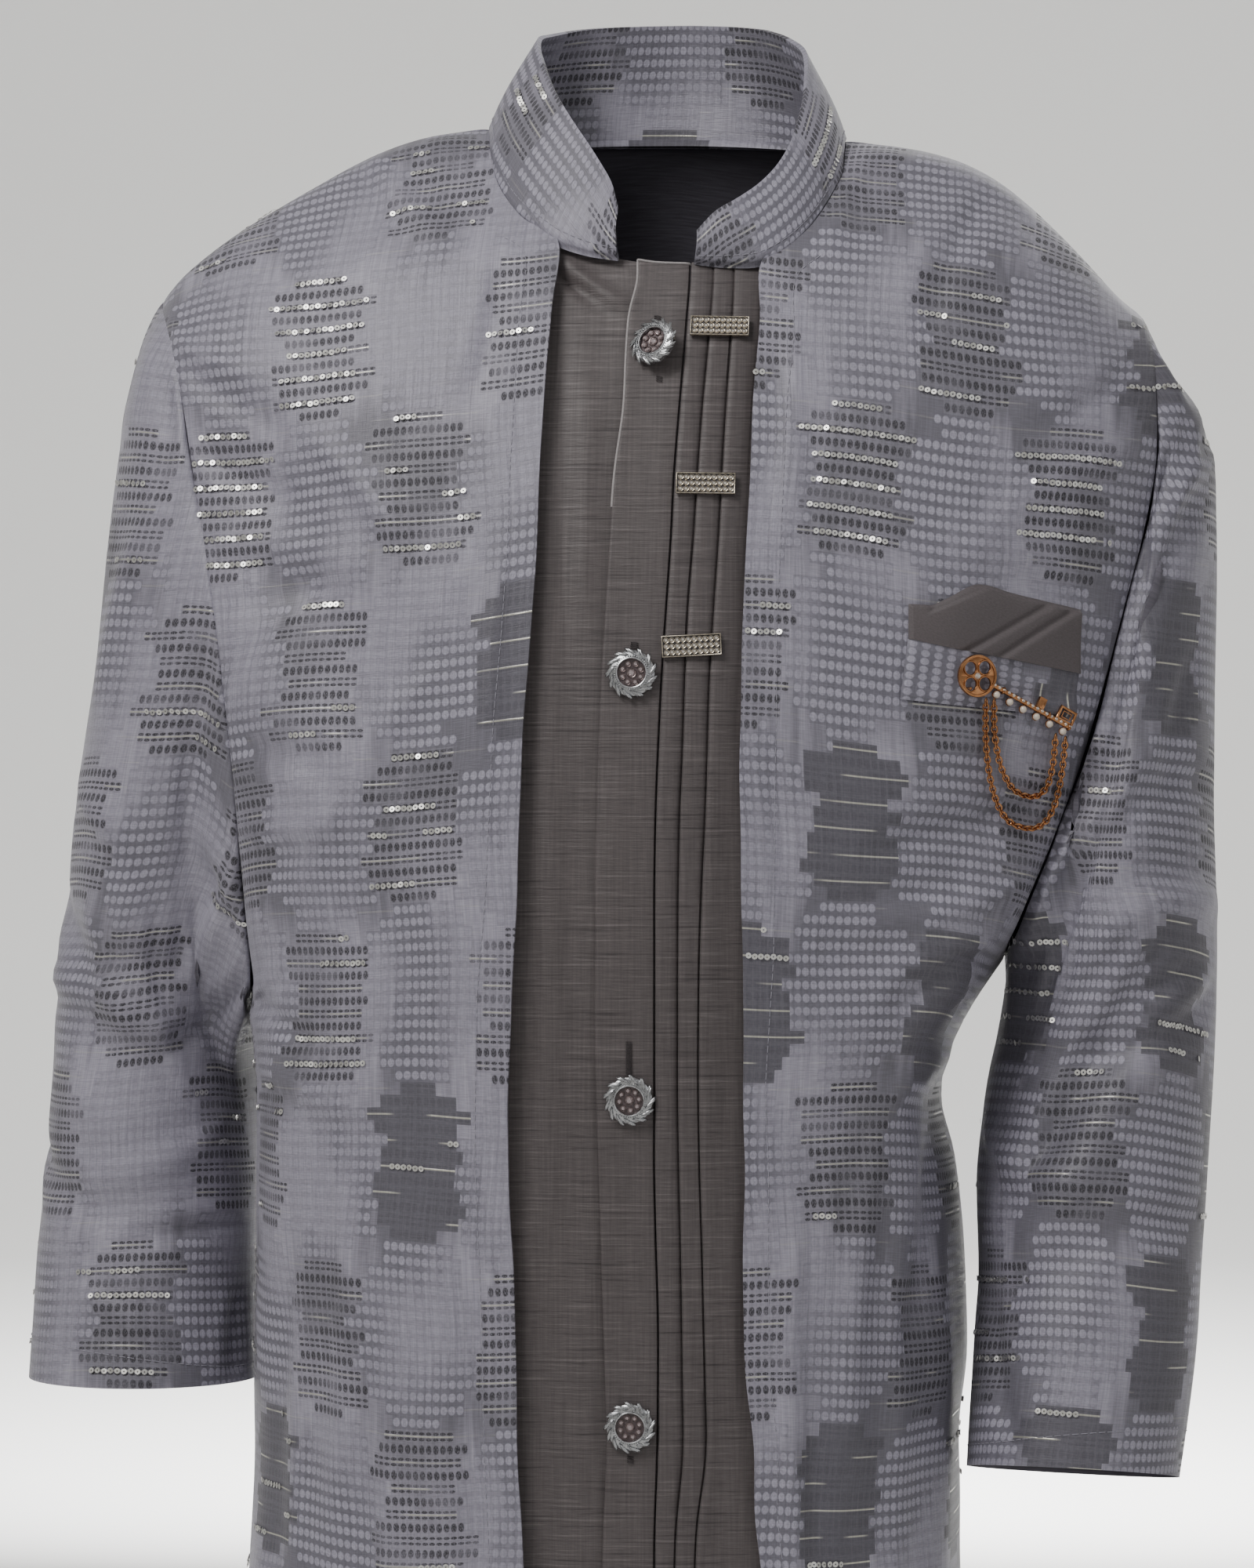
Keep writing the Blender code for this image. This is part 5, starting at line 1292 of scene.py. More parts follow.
def new_finish(name, **values):
    """A material with a Principled shader and its fixed values."""
    made = bpy.data.materials.new(name)
    made.use_nodes = True
    shader = made.node_tree.nodes["Principled BSDF"]
    for key, value in values.items():
        shader.inputs[key.replace("_", " ")].default_value = value
    return made, made.node_tree, shader


def blend(tree, share, first, second):
    """One colour laid over another."""
    return add(tree, "Mix", {0: share, 6: first, 7: second}, out=2, data_type="RGBA")


def streaked(tree, place, stretch, detail, rough=0.5):
    """Soft noise with a stretch of its own along each way of the cloth."""
    place = add(tree, "VectorMath", {0: place, 1: stretch}, operation="MULTIPLY")
    return add(
        tree, "TexNoise", {"Vector": place, "Scale": 1.0, "Detail": detail, "Roughness": rough},
    )


def shaded(tree, colour, shade):
    """A colour made darker or lighter by a number."""
    grey = add(tree, "CombineXYZ", {0: shade, 1: shade, 2: shade})
    return add(tree, "Mix", {0: 1.0, 6: colour, 7: grey}, out=2, data_type="RGBA",
               blend_type="MULTIPLY")


def linked(tree, shader, **sockets):
    """Link outputs to the shader's inputs of the same names."""
    for key, socket in sockets.items():
        tree.links.new(socket, shader.inputs[key.replace("_", " ")])


def clouded(name, low, high, scale, detail, **values):
    """A finish whose colour drifts softly between two shades."""
    made, tree, shader = new_finish(name, **values)
    place = add(tree, "TexCoord", out=3)
    cloud = add(tree, "TexNoise", {"Vector": place, "Scale": scale, "Detail": detail})
    linked(tree, shader, Base_Color=blend(tree, cloud, hue(low), hue(high)))
    return made, tree, shader, cloud


# The woven pattern's real sizes in millimetres, and the chart of one repeat
COLUMN_MM = 46.2
ROW_MM = 5.6
REPEAT_ROWS = 26
SECOND_LIFT = 12
DARK_PITCH = 3.1
LIGHT_PITCH = 3.5
BLOCK_HALF = (
    0.25, 0.42, 0.47, 0.44, 0.36, 0.40, 0.36, 0.42, 0.47, 0.45, 0.40, 0.24,
    0.0, 0.0, 0.0, 0.0, 0.0, 0.0, 0.0, 0.0, 0.0, 0.0, 0.0, 0.0, 0.0, 0.0,
)
LIGHT_HALF = (
    0.10, 0.0, 0.0, 0.0, 0.0, 0.0, 0.0, 0.0, 0.0, 0.0, 0.0, 0.14,
    0.30, 0.34, 0.50, 0.54, 0.72, 0.78, 0.84, 0.80, 0.82, 0.74, 0.58, 0.50, 0.34, 0.26,
)
# Where the pattern's first block lies, flat, in metres: matched to the fronts
PATTERN_U = -0.1438
PATTERN_V = 0.1150


def zone(tree, u, g, chart, shift, ragged, salt):
    """1 inside the charted shape of one of the two staggered lattices of blocks."""
    place = add(tree, "Math", {0: u, 1: 2 * COLUMN_MM}, operation="DIVIDE")
    place = add(tree, "Math", {0: place, 1: shift}, operation="ADD")
    column = add(tree, "Math", {0: place}, operation="FLOOR")
    inside = add(tree, "Math", {0: place}, operation="FRACT")
    aside = add(tree, "Math", {0: inside, 1: 0.5}, operation="SUBTRACT")
    side = add(tree, "Math", {0: aside, 1: 0.0}, operation="GREATER_THAN")
    aside = add(tree, "Math", {0: aside}, operation="ABSOLUTE")
    aside = add(tree, "Math", {0: aside, 1: 2.0}, operation="MULTIPLY")
    turn = add(tree, "Math", {0: g, 1: 0.5 + 2 * shift * SECOND_LIFT}, operation="ADD")
    turn = add(tree, "Math", {0: turn, 1: REPEAT_ROWS}, operation="DIVIDE")
    block = add(tree, "Math", {0: turn}, operation="FLOOR")
    phase = add(tree, "Math", {0: turn}, operation="FRACT")
    ramp = tree.nodes.new("ShaderNodeValToRGB")
    ramp.color_ramp.interpolation = "CONSTANT"
    while len(ramp.color_ramp.elements) < REPEAT_ROWS:
        ramp.color_ramp.elements.new(0.5)
    for index, value in enumerate(chart):
        ramp.color_ramp.elements[index].position = index / REPEAT_ROWS
        ramp.color_ramp.elements[index].color = (value, value, value, 1.0)
    tree.links.new(phase, ramp.inputs[0])
    half = ramp.outputs[0]
    place = add(tree, "Math", {0: block, 1: 31.0 * salt}, operation="ADD")
    cell = add(tree, "CombineXYZ", {0: column, 1: place, 2: g})
    chance = add(tree, "TexWhiteNoise", {"Vector": cell}, out=1, noise_dimensions="3D")
    parts = tree.nodes.new("ShaderNodeSeparateColor")
    tree.links.new(chance, parts.inputs[0])
    pick = add(tree, "Mix", {0: side, 2: parts.outputs[0], 3: parts.outputs[1]}, data_type="FLOAT")
    pick = add(tree, "Math", {0: pick, 1: 0.5}, operation="SUBTRACT")
    edge = add(tree, "Math", {0: pick, 1: ragged, 2: half}, operation="MULTIPLY_ADD")
    within = add(tree, "Math", {0: aside, 1: edge}, operation="LESS_THAN")
    real = add(tree, "Math", {0: half, 1: 0.02}, operation="GREATER_THAN")
    mask = add(tree, "Math", {0: within, 1: real}, operation="MULTIPLY")
    cell = add(tree, "CombineXYZ", {0: column, 1: place, 2: 5.0})
    kind = add(tree, "TexWhiteNoise", {"Vector": cell}, out=0, noise_dimensions="3D")
    return mask, kind


def oval(tree, across, down, half_across, half_down):
    """A soft-edged oval, 1 in its middle."""
    a = add(tree, "Math", {0: across, 1: half_across}, operation="DIVIDE")
    b = add(tree, "Math", {0: down, 1: half_down}, operation="DIVIDE")
    a = add(tree, "Math", {0: a, 1: a}, operation="MULTIPLY")
    b = add(tree, "Math", {0: b, 1: b, 2: a}, operation="MULTIPLY_ADD")
    return add(tree, "MapRange", {0: b, 1: 0.62, 2: 1.18, 3: 1.0, 4: 0.0})


def in_steps(tree, along, pitch):
    """Which step of a pitch a place lies in, and how far it is from that step's middle."""
    place = add(tree, "Math", {0: along, 1: pitch}, operation="DIVIDE")
    whole = add(tree, "Math", {0: place}, operation="FLOOR")
    rest = add(tree, "Math", {0: place}, operation="FRACT")
    rest = add(tree, "Math", {0: rest, 1: 0.5}, operation="SUBTRACT")
    return whole, add(tree, "Math", {0: rest, 1: pitch}, operation="MULTIPLY")


def brocade():
    """Woven satin brocade: a mid-grey satin ground with pale floating dots, darker dotted
    blocks and a bright metal thread. The floats shine softly and the dots stand proud."""
    made, tree, shader = new_finish(
        "brocade_woven_satin", Sheen_Weight=0.12, Sheen_Roughness=0.4, IOR=1.5,
    )
    flat = add(tree, "UVMap", uv_map="cloth")
    flat = add(tree, "VectorMath", {0: flat, 1: (PATTERN_U, PATTERN_V, 0.0)}, operation="SUBTRACT")
    flat = add(tree, "VectorMath", {0: flat, 1: (1000.0, 1000.0, 1000.0)}, operation="MULTIPLY")
    parts = tree.nodes.new("ShaderNodeSeparateXYZ")
    tree.links.new(flat, parts.inputs[0])
    u, v = parts.outputs[0], parts.outputs[1]

    # Place inside one row of the weave, in millimetres from its middle
    g, down = in_steps(tree, v, ROW_MM)
    far = add(tree, "Math", {0: down}, operation="ABSOLUTE")
    odd = add(tree, "Math", {0: g, 1: 2.0}, operation="FLOORED_MODULO")

    # The same along the row, for the dark and for the light dots
    dots_at = []
    for pitch in (DARK_PITCH, LIGHT_PITCH):
        whole, across = in_steps(tree, u, pitch)
        middle = add(tree, "Math", {0: whole, 1: 0.5}, operation="ADD")
        dots_at += [add(tree, "Math", {0: middle, 1: pitch}, operation="MULTIPLY"), across]
    dark_at, dark_across, light_at, light_across = dots_at
    first, first_kind = zone(tree, dark_at, g, BLOCK_HALF, 0.0, 0.17, 0.0)
    second, second_kind = zone(tree, dark_at, g, BLOCK_HALF, 0.5, 0.17, 1.0)
    in_block = add(tree, "Math", {0: first, 1: second}, operation="MAXIMUM")
    first_light = zone(tree, light_at, g, LIGHT_HALF, 0.0, 0.22, 2.0)[0]
    second_light = zone(tree, light_at, g, LIGHT_HALF, 0.5, 0.22, 3.0)[0]
    in_light = add(tree, "Math", {0: first_light, 1: second_light}, operation="MAXIMUM")
    free = add(tree, "Math", {0: 1.0, 1: in_block}, operation="SUBTRACT")
    in_light = add(tree, "Math", {0: in_light, 1: free}, operation="MULTIPLY")

    # Some blocks, more low down and on the wearer's left, are satin with few dots; their darker
    # satin colour is painted shade, put where the satin would catch no light
    kind = add(tree, "Mix", {0: first, 2: second_kind, 3: first_kind}, data_type="FLOAT")
    limit = add(tree, "MapRange", {0: u, 1: 120.0, 2: 260.0, 3: 0.20, 4: 0.50})
    low_down = add(tree, "MapRange", {0: v, 1: 50.0, 2: 160.0, 3: 0.15, 4: 1.0})
    limit = add(tree, "Math", {0: limit, 1: low_down}, operation="MULTIPLY")
    satin_blocks_and_shade = add(tree, "Math", {0: kind, 1: limit}, operation="LESS_THAN")
    satin_blocks_and_shade = add(tree, "Math", {0: satin_blocks_and_shade, 1: in_block}, operation="MULTIPLY")

    # Bold oval dots in every other row, two lines of small dots in the rows between
    bold = oval(tree, dark_across, down, 1.30, 2.05)
    line = add(tree, "Math", {0: far, 1: 1.22}, operation="SUBTRACT")
    small = oval(tree, dark_across, line, 1.38, 0.72)
    dots = add(tree, "Mix", {0: odd, 2: small, 3: bold}, data_type="FLOAT")
    grain = streaked(tree, flat, (2.6, 0.9, 1.0), 2.0)
    rough_dots = add(tree, "MapRange", {0: grain, 1: 0.32, 2: 0.56, 3: 0.35, 4: 1.0})
    worn = streaked(tree, flat, (0.045, 0.060, 1.0), 1.0)
    worn = add(tree, "MapRange", {0: worn, 1: 0.36, 2: 0.50, 3: 0.62, 4: 1.0})
    weak = add(tree, "Math", {0: satin_blocks_and_shade, 1: -0.72, 2: 1.0}, operation="MULTIPLY_ADD")
    dark = dots
    for share in (rough_dots, worn, in_block, weak):
        dark = add(tree, "Math", {0: dark, 1: share}, operation="MULTIPLY")
    pale = oval(tree, light_across, down, 1.62, 1.95)
    worn_pale = add(tree, "MapRange", {0: grain, 1: 0.30, 2: 0.60, 3: 0.55, 4: 1.0})
    for share in (worn_pale, in_light):
        pale = add(tree, "Math", {0: pale, 1: share}, operation="MULTIPLY")

    # The metal thread: thin broken lines along every other row
    thin = add(tree, "MapRange", {0: far, 1: 0.20, 2: 0.48, 3: 1.0, 4: 0.0})
    even = add(tree, "Math", {0: 1.0, 1: odd}, operation="SUBTRACT")
    stretch = add(tree, "CombineXYZ", {0: u, 1: g, 2: 0.0})
    broken = streaked(tree, stretch, (0.028, 7.3, 0.0), 1.0)
    broken = add(tree, "MapRange", {0: broken, 1: 0.47, 2: 0.53, 3: 0.0, 4: 1.0})
    anywhere = add(tree, "Math", {0: in_block, 1: 0.70}, operation="MULTIPLY")
    anywhere = add(tree, "Math", {0: satin_blocks_and_shade, 1: anywhere}, operation="MAXIMUM")
    anywhere = add(tree, "Math", {0: anywhere, 1: 0.16}, operation="MAXIMUM")
    calm = add(tree, "Math", {0: in_light, 1: -0.95, 2: 1.0}, operation="MULTIPLY_ADD")
    for share in (even, broken, anywhere, calm):
        thin = add(tree, "Math", {0: thin, 1: share}, operation="MULTIPLY")

    # Fine yarn: vertical warp streaks and short level floats
    warp = streaked(tree, flat, (1.35, 0.045, 1.0), 3.0)
    weft = streaked(tree, flat, (0.16, 1.9, 1.0), 2.0)
    # Painted sheen and painted shade: the satin ground goes from pale where it would catch the
    # light to dark grey where it would not, in blurred zones with feathered upright edges
    sheen_and_shade = streaked(tree, flat, (0.017, 0.011, 1.0), 1.0)
    feather = streaked(tree, flat, (0.21, 0.020, 1.0), 2.0)
    sheen_and_shade = add(tree, "Math", {0: feather, 1: 0.22, 2: sheen_and_shade}, operation="MULTIPLY_ADD")
    # The painted sheen grows one way across the cloth: towards the wearer's right on the fronts
    sheen_lean = add(tree, "MapRange", {0: u, 1: 60.0, 2: 260.0, 3: 0.04, 4: -0.05})
    sheen_and_shade = add(tree, "Math", {0: sheen_and_shade, 1: sheen_lean}, operation="ADD")
    sheen_and_shade = add(tree, "MapRange", {0: sheen_and_shade, 1: 0.54, 2: 0.69, 3: 0.0, 4: 1.0})
    # Upright pale stripes, shown in the zones of painted sheen, about 9 mm apart
    plaid = add(tree, "CombineXYZ", {0: u, 1: 0.0, 2: 0.0})
    plaid = add(tree, "TexNoise", {"Vector": plaid, "Scale": 0.34, "Detail": 2.0})
    plaid = add(tree, "MapRange", {0: plaid, 1: 0.42, 2: 0.60, 3: 0.0, 4: 1.0})

    # The ground's colour carries this painted sheen and painted shade
    ground = blend(tree, sheen_and_shade, hue("#706e79"), hue("#9b98a7"))
    striped = blend(tree, plaid, ground, hue("#a8a5b3"))
    half_tone = add(tree, "Math", {0: sheen_and_shade, 1: 0.55}, operation="MULTIPLY")
    ground = blend(tree, half_tone, ground, striped)
    # Pale dots stand out on the painted shade and almost melt into the painted sheen; the light
    # zones' ground and the blocks' tone are painted darker in the painted shade as well
    shown = add(tree, "MapRange", {0: sheen_and_shade, 1: 0.0, 2: 1.0, 3: 0.86, 4: 0.34})
    pale = add(tree, "Math", {0: pale, 1: shown}, operation="MULTIPLY")
    under = add(tree, "MapRange", {0: sheen_and_shade, 1: 0.0, 2: 1.0, 3: 0.85, 4: 0.30})
    under = add(tree, "Math", {0: in_light, 1: under}, operation="MULTIPLY")
    block_tone = blend(tree, sheen_and_shade, hue("#797782"), hue("#93909e"))
    colour = ground
    for share, over in (
        # The darker ground of the light zones is painted shade
        (under, hue("#6f6d79")), (pale, hue("#b0adbe")), (in_block, block_tone),
        # The darker colour of those satin blocks is painted shade
        (satin_blocks_and_shade, hue("#64626c")), (dark, hue("#343239")), (thin, hue("#cfcdc2")),
    ):
        colour = blend(tree, share, colour, over)
    yarn = add(tree, "Math", {0: warp, 1: weft}, operation="ADD")
    yarn = add(tree, "MapRange", {0: yarn, 1: 0.72, 2: 1.28, 3: 0.80, 4: 1.16})
    colour = shaded(tree, colour, yarn)
    rough = 0.46
    for share, value in ((pale, 0.56), (dark, 0.66), (thin, 0.28)):
        rough = add(tree, "Mix", {0: share, 2: rough, 3: value}, data_type="FLOAT")
    bright = add(tree, "Math", {0: thin, 1: 0.7}, operation="MULTIPLY")
    high = 0.0
    for share, rise in ((pale, 0.9), (dark, -0.5), (thin, 0.8), (yarn, 1.3)):
        high = add(tree, "Math", {0: share, 1: rise, 2: high}, operation="MULTIPLY_ADD")
    bump = add(tree, "Bump", {"Strength": 0.35, "Distance": 0.0006, "Height": high})
    linked(tree, shader, Base_Color=colour, Roughness=rough, Metallic=bright, Normal=bump)
    return made


def reverse_side():
    """The brocade's plain reverse: dull floats in grey and mauve with no shine."""
    made, tree, shader = new_finish("brocade_reverse_floats", Roughness=0.8, IOR=1.45)
    flat = add(tree, "UVMap", uv_map="cloth")
    lines = streaked(tree, flat, (60.0, 900.0, 1.0), 2.0)
    colour = blend(tree, lines, hue("#4e4b53"), hue("#7b7884"))
    bump = add(tree, "Bump", {"Strength": 0.3, "Distance": 0.0005, "Height": lines})
    linked(tree, shader, Base_Color=colour, Normal=bump)
    return made


def dupion():
    """Slubbed plain weave in dark warm grey: uneven level yarns catch light in short lines."""
    made, tree, shader = new_finish(
        "dupion_slubbed_plain", Sheen_Weight=0.18, Sheen_Roughness=0.35, IOR=1.5,
    )
    flat = add(tree, "UVMap", uv_map="cloth")
    slub = streaked(tree, flat, (24.0, 880.0, 1.0), 3.0, 0.6)
    fine = streaked(tree, flat, (240.0, 1300.0, 1.0), 2.0)
    warp = streaked(tree, flat, (950.0, 30.0, 1.0), 2.0)
    thick = add(tree, "MapRange", {0: slub, 1: 0.56, 2: 0.70, 3: 0.0, 4: 1.0})
    thin = add(tree, "MapRange", {0: slub, 1: 0.44, 2: 0.30, 3: 0.0, 4: 1.0})
    colour = blend(tree, fine, hue("#4c4647"), hue("#615a5b"))
    colour = blend(tree, thick, colour, hue("#6e6768"))
    colour = blend(tree, thin, colour, hue("#3c3638"))
    shade = add(tree, "MapRange", {0: warp, 1: 0.3, 2: 0.7, 3: 0.86, 4: 1.12})
    colour = shaded(tree, colour, shade)
    rough = add(tree, "MapRange", {0: slub, 1: 0.3, 2: 0.7, 3: 0.62, 4: 0.48})
    high = add(tree, "Math", {0: fine, 1: 0.6, 2: slub}, operation="MULTIPLY_ADD")
    bump = add(tree, "Bump", {"Strength": 0.45, "Distance": 0.0006, "Height": high})
    linked(tree, shader, Base_Color=colour, Roughness=rough, Normal=bump)
    return made


def square_cloth():
    """Fine twill of the pocket square: even diagonal ribs, too fine to see but as a soft grain."""
    made, tree, shader = new_finish(
        "twill_fine_dark", Sheen_Weight=0.15, Sheen_Roughness=0.4, IOR=1.5, Roughness=0.6,
    )
    flat = add(tree, "UVMap", uv_map="cloth")
    ribs = streaked(tree, flat, (900.0, 1500.0, 1.0), 2.0)
    colour = blend(tree, ribs, hue("#4b4547"), hue("#676063"))
    bump = add(tree, "Bump", {"Strength": 0.25, "Distance": 0.0004, "Height": ribs})
    linked(tree, shader, Base_Color=colour, Normal=bump)
    return made


def metal(name, low, high, roughness, grain):
    """Cast metal: bright on what stands proud, darker where it is worn or tarnished."""
    made, tree, shader, cloud = clouded(name, low, high, grain, 3.0, Metallic=1.0)
    least, most = roughness * 0.75, roughness * 1.25
    rough = add(tree, "MapRange", {0: cloud, 1: 0.3, 2: 0.7, 3: least, 4: most})
    bump = add(tree, "Bump", {"Strength": 0.15, "Distance": 0.0002, "Height": cloud})
    linked(tree, shader, Roughness=rough, Normal=bump)
    return made


def stone(name, low, high, roughness=0.08, metallic=0.0):
    """Cut glass with a foiled back: bright facets over a tinted body."""
    return clouded(
        name, low, high, 900.0, 1.0, Metallic=metallic, Roughness=roughness, IOR=1.55,
        Coat_Weight=0.6, Coat_Roughness=0.05,
    )[0]


def thread(name, low, high):
    """Spun sewing thread: matt, with the twist of its plies."""
    return clouded(name, low, high, 1500.0, 1.0, Roughness=0.75, IOR=1.45)[0]


BROCADE = brocade()
REVERSE = reverse_side()
DUPION = dupion()
SQUARE_CLOTH = square_cloth()
SILVER = metal("silver_antique_cast", "#8f9094", "#d9dadc", 0.28, 700.0)
DARK_SILVER = metal("silver_blackened_recess", "#38363a", "#6e6a6c", 0.45, 500.0)
PALE_GOLD = metal("pale_gold_plated", "#a59a8a", "#ddd4c4", 0.30, 700.0)
MAUVE_METAL = metal("bronze_mauve_plated", "#5d4f50", "#a89a98", 0.32, 700.0)
COPPER = metal("copper_gold_polished", "#8f5c38", "#dba476", 0.22, 400.0)
SEQUIN = metal("sequin_metallised_film", "#d6d5d2", "#fbfaf7", 0.38, 260.0)
MAUVE = stone("enamel_dusky_mauve", "#4c3f42", "#6d5c60", 0.30)
MAUVE_STONE = stone("glass_stone_smoky_mauve", "#9b8a8d", "#d8ccce", 0.08, 0.55)
CLEAR_STONE = stone("glass_stone_clear_foiled", "#cfc8c0", "#fffaf2", 0.16, 0.60)
PEARL = stone("pearl_glass_coated", "#c9b8a6", "#f2e8dc", 0.22)
STITCH = thread("thread_polyester_grey", "#8b8995", "#b2b0bc")
PIPING = thread("thread_overlock_pale", "#8f8b8c", "#b8b3b4")
DARK_STITCH = thread("thread_polyester_dark", "#332f31", "#4c4648")


def finish_sheet(made, face, back):
    """Give a cloth its face and its reverse side."""
    made.data.materials.append(face)
    made.data.materials.append(back)
    return made


def stands_for(made, node):
    """Attach a piece to the root and hide the model's part that it stands for."""
    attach(made, "root")
    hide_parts(node)


def declare(made, node, cloth_grid, width, length, held, rests_on, slot, closed=False):
    """Attach a cloth to the root and hide the model's part that it stands for."""
    stands_for(made, node)


def build_patterned():
    """Fronts, back, sleeves and collar as thin shells with creases."""
    cloths = {
        "front_right": front_cloth(-1), "front_left": front_cloth(1), "back": back_cloth(),
        "sleeve_right": sleeve_cloth(-1), "sleeve_left": sleeve_cloth(1),
        "collar": collar_cloth(),
    }
    cuts = {
        "front_right": (0.31, 1.01), "front_left": (0.31, 1.01), "back": (0.53, 1.01),
        "sleeve_right": (0.44, 0.60), "sleeve_left": (0.44, 0.61), "collar": (0.36, 0.075),
    }
    for name, cloth in cloths.items():
        doubled = name == "collar"
        inner = cloth.grid - cloth.out * (COLLAR_THICK if doubled else COAT_THICK)
        piece = sheet_mesh(name + "_cloth", cloth.grid, inner, cloth.flat, cloth.closed)
        finish_sheet(piece, BROCADE, BROCADE if doubled else REVERSE)
        rests = ("back", "front_right", "front_left") if doubled else ()
        declare(piece, name, cloth.grid, *cuts[name], "hung", rests, "patterned_cloth",
                cloth.closed)
    return cloths


def shifted(curve, by):
    """A measured line moved sideways."""
    return lambda py: curve(py) + by


def between(first, second, share):
    """A line that lies between two measured ones."""
    return lambda py: first(py) * (1 - share) + second(py) * share


# Soft folds of the plain inner front, measured: start, end, half width, height in mm, bend
INNER_CREASES = (
    (706, 306, 800, 380, 9, 1.9, 10), (700, 330, 770, 372, 7, -1.6, 4),
    (712, 400, 722, 900, 12, -1.3, 4), (742, 420, 736, 800, 11, 1.0, -4),
    (690, 900, 700, 1500, 13, 1.2, -5), (726, 1000, 722, 1650, 12, -1.3, 5),
    (745, 1400, 742, 2000, 11, 1.2, 4), (690, 1600, 700, 2300, 13, -1.2, 5),
    (780, 950, 782, 1300, 10, 0.8, 3), (800, 1420, 796, 1780, 11, -0.7, 3),
    (930, 900, 925, 1500, 8, -0.7, 2), (935, 1500, 940, 2100, 8, 0.9, 2),
    (720, 2000, 725, 2800, 15, 1.6, 6), (800, 2100, 800, 2800, 14, -1.4, 5),
)
INNER_FULL = 1.25
# How far under the coat's face the panels lie at the neckline, where the collar holds them
NECK_SINK = 0.0036


def panel(name, node, columns, sink, thick, relief, width, rests_on):
    """A plain panel below the coat's face from measured columns and their heights."""
    rows = []
    for step in PANEL_STEPS:
        share = step / PANEL_STEPS[-1]
        row = []
        for column in columns:
            start = INNER_TOP(column(TOP_ROW))
            py = start + (HEM_ROW - start) * share
            row.append(on_front(column(max(py, TOP_ROW)), py))
        rows.append(row)
    face = denser(np.array(rows), PANEL_FINER)
    out = np.array([[front_out(point) for point in row] for row in face])
    px, py = pictured(face)
    top = np.vectorize(near_top)(py, px)
    high = np.array([relief(i, py[:, i], top[:, i]) for i in range(len(columns))]).T
    high = high + creased(px, py, INNER_CREASES, INNER_FULL)
    deep = sink - (sink - NECK_SINK) * 0.55 * top
    grid = face + out * (high - deep)[..., None]
    below = face + out * (np.minimum(high, 0.0004) - deep - thick)[..., None]
    below = np.where((high > 0.0030)[..., None], grid - out * thick, below)
    flat = np.stack((grid[:, :1, 0] + arcs(face), -grid[..., 2]), axis=2)
    piece = sheet_mesh(name, grid, below, flat)
    finish_sheet(piece, DUPION, DUPION)
    declare(piece, node, face, width, 0.95, "hung", rests_on, "plain_cloth")
    return grid, out


def build_plain():
    """The plain dark inner front. The button strip's grid and directions come back."""
    under = [shifted(EDGE_RIGHT, by) for by in (-88, -76, -64, -48, -32, -16, 0)]
    shares = (0.14, 0.28, 0.43, 0.57, 0.71, 0.86)
    under += [between(EDGE_RIGHT, PLACKET_EDGE, share) for share in shares]
    under += [shifted(PLACKET_EDGE, by) for by in (0, 20, 40, 62)]
    sewn = (0.0050, 0.0048, 0.0044, 0.0028, 0.0010, 0.0002)
    wave = Curve((300, 0.0), (700, 0.0008), (1200, -0.0006), (1700, 0.0010), (2930, 0.0))

    def relief_under(i, py, top):
        if i < len(sewn):
            return sewn[i] * (1 - 0.45 * top)
        rise = np.array([wave(p) for p in py]) - 0.0004
        share = min((i - 6) / 3.0, (13 - i) / 3.0, 1.0)
        return rise * max(share, 0.0) - 0.0004 - (0.0006 if i > 13 else 0.0)

    panel("inner_right_cloth", "inner_front_right", under, UNDER_SINK, INNER_THICK, relief_under,
          0.075, ("front_right_cloth",))

    first, second, third = TUCKS
    left = [shifted(first, by) for by in (0, 0.9, 2.2)]
    heights = [0.0004, 0.0013, 0.0017]
    for tuck, after in ((first, second), (second, third)):
        left += [between(tuck, after, share) for share in (0.30, 0.62, 0.86)]
        heights += [0.0016, 0.0011, 0.0005]
        left += [shifted(after, by) for by in (-2.4, -1.4, -0.9, 0.0, 1.4)]
        heights += [-0.0006, -0.0010, 0.0004, 0.0016, 0.0019]
    left += [shifted(third, by) for by in (9, 18, 30)]
    heights += [0.0017, 0.0009, 0.0003]
    left += [between(shifted(third, 30), EDGE_LEFT, share) for share in (0.45, 0.9)]
    heights += [0.0, -0.0004]
    left += [shifted(EDGE_LEFT, by) for by in (6, 44, 88)]
    heights += [-0.0004, -0.0002, 0.0026]
    panel("inner_left_cloth", "inner_front_left", left, INNER_SINK, INNER_THICK,
          lambda i, py, top: heights[i] * (1 - 0.55 * top), 0.075, ("front_left_cloth",))

    strip = [shifted(PLACKET_EDGE, by) for by in (0, 1.0, 4, 9)]
    strip += [between(PLACKET_EDGE, first, share) for share in (0.3, 0.5, 0.7, 0.88)]
    strip += [shifted(first, by) for by in (-3.0, -1.4)]
    raised = (-0.0002, 0.0002, 0.0003, 0.0002, 0.0001, 0.0, 0.0, 0.0, -0.0003, -0.0012)
    return panel("placket_cloth", "placket", strip, INNER_SINK, INNER_THICK,
                 lambda i, py, top: np.full_like(py, raised[i]), 0.030, ("inner_right_cloth",))


cloths = build_patterned()
strip_grid, strip_out = build_plain()


# Small trim, each piece modelled at the origin and then seated on the cloth
TRIM_SHARP = math.radians(38)


def begin():
    """Nothing selected, so that an operator acts on the new piece alone."""
    bpy.ops.object.select_all(action="DESELECT")


def latest(name, finish, smooth=True):
    """Name the newest primitive, apply its size and give it its finish."""
    made = bpy.context.object
    made.name = made.data.name = name
    bpy.ops.object.transform_apply(location=True, rotation=True, scale=True)
    if smooth:
        bpy.ops.object.shade_smooth_by_angle(angle=TRIM_SHARP)
    made.data.materials.append(finish)
    return made


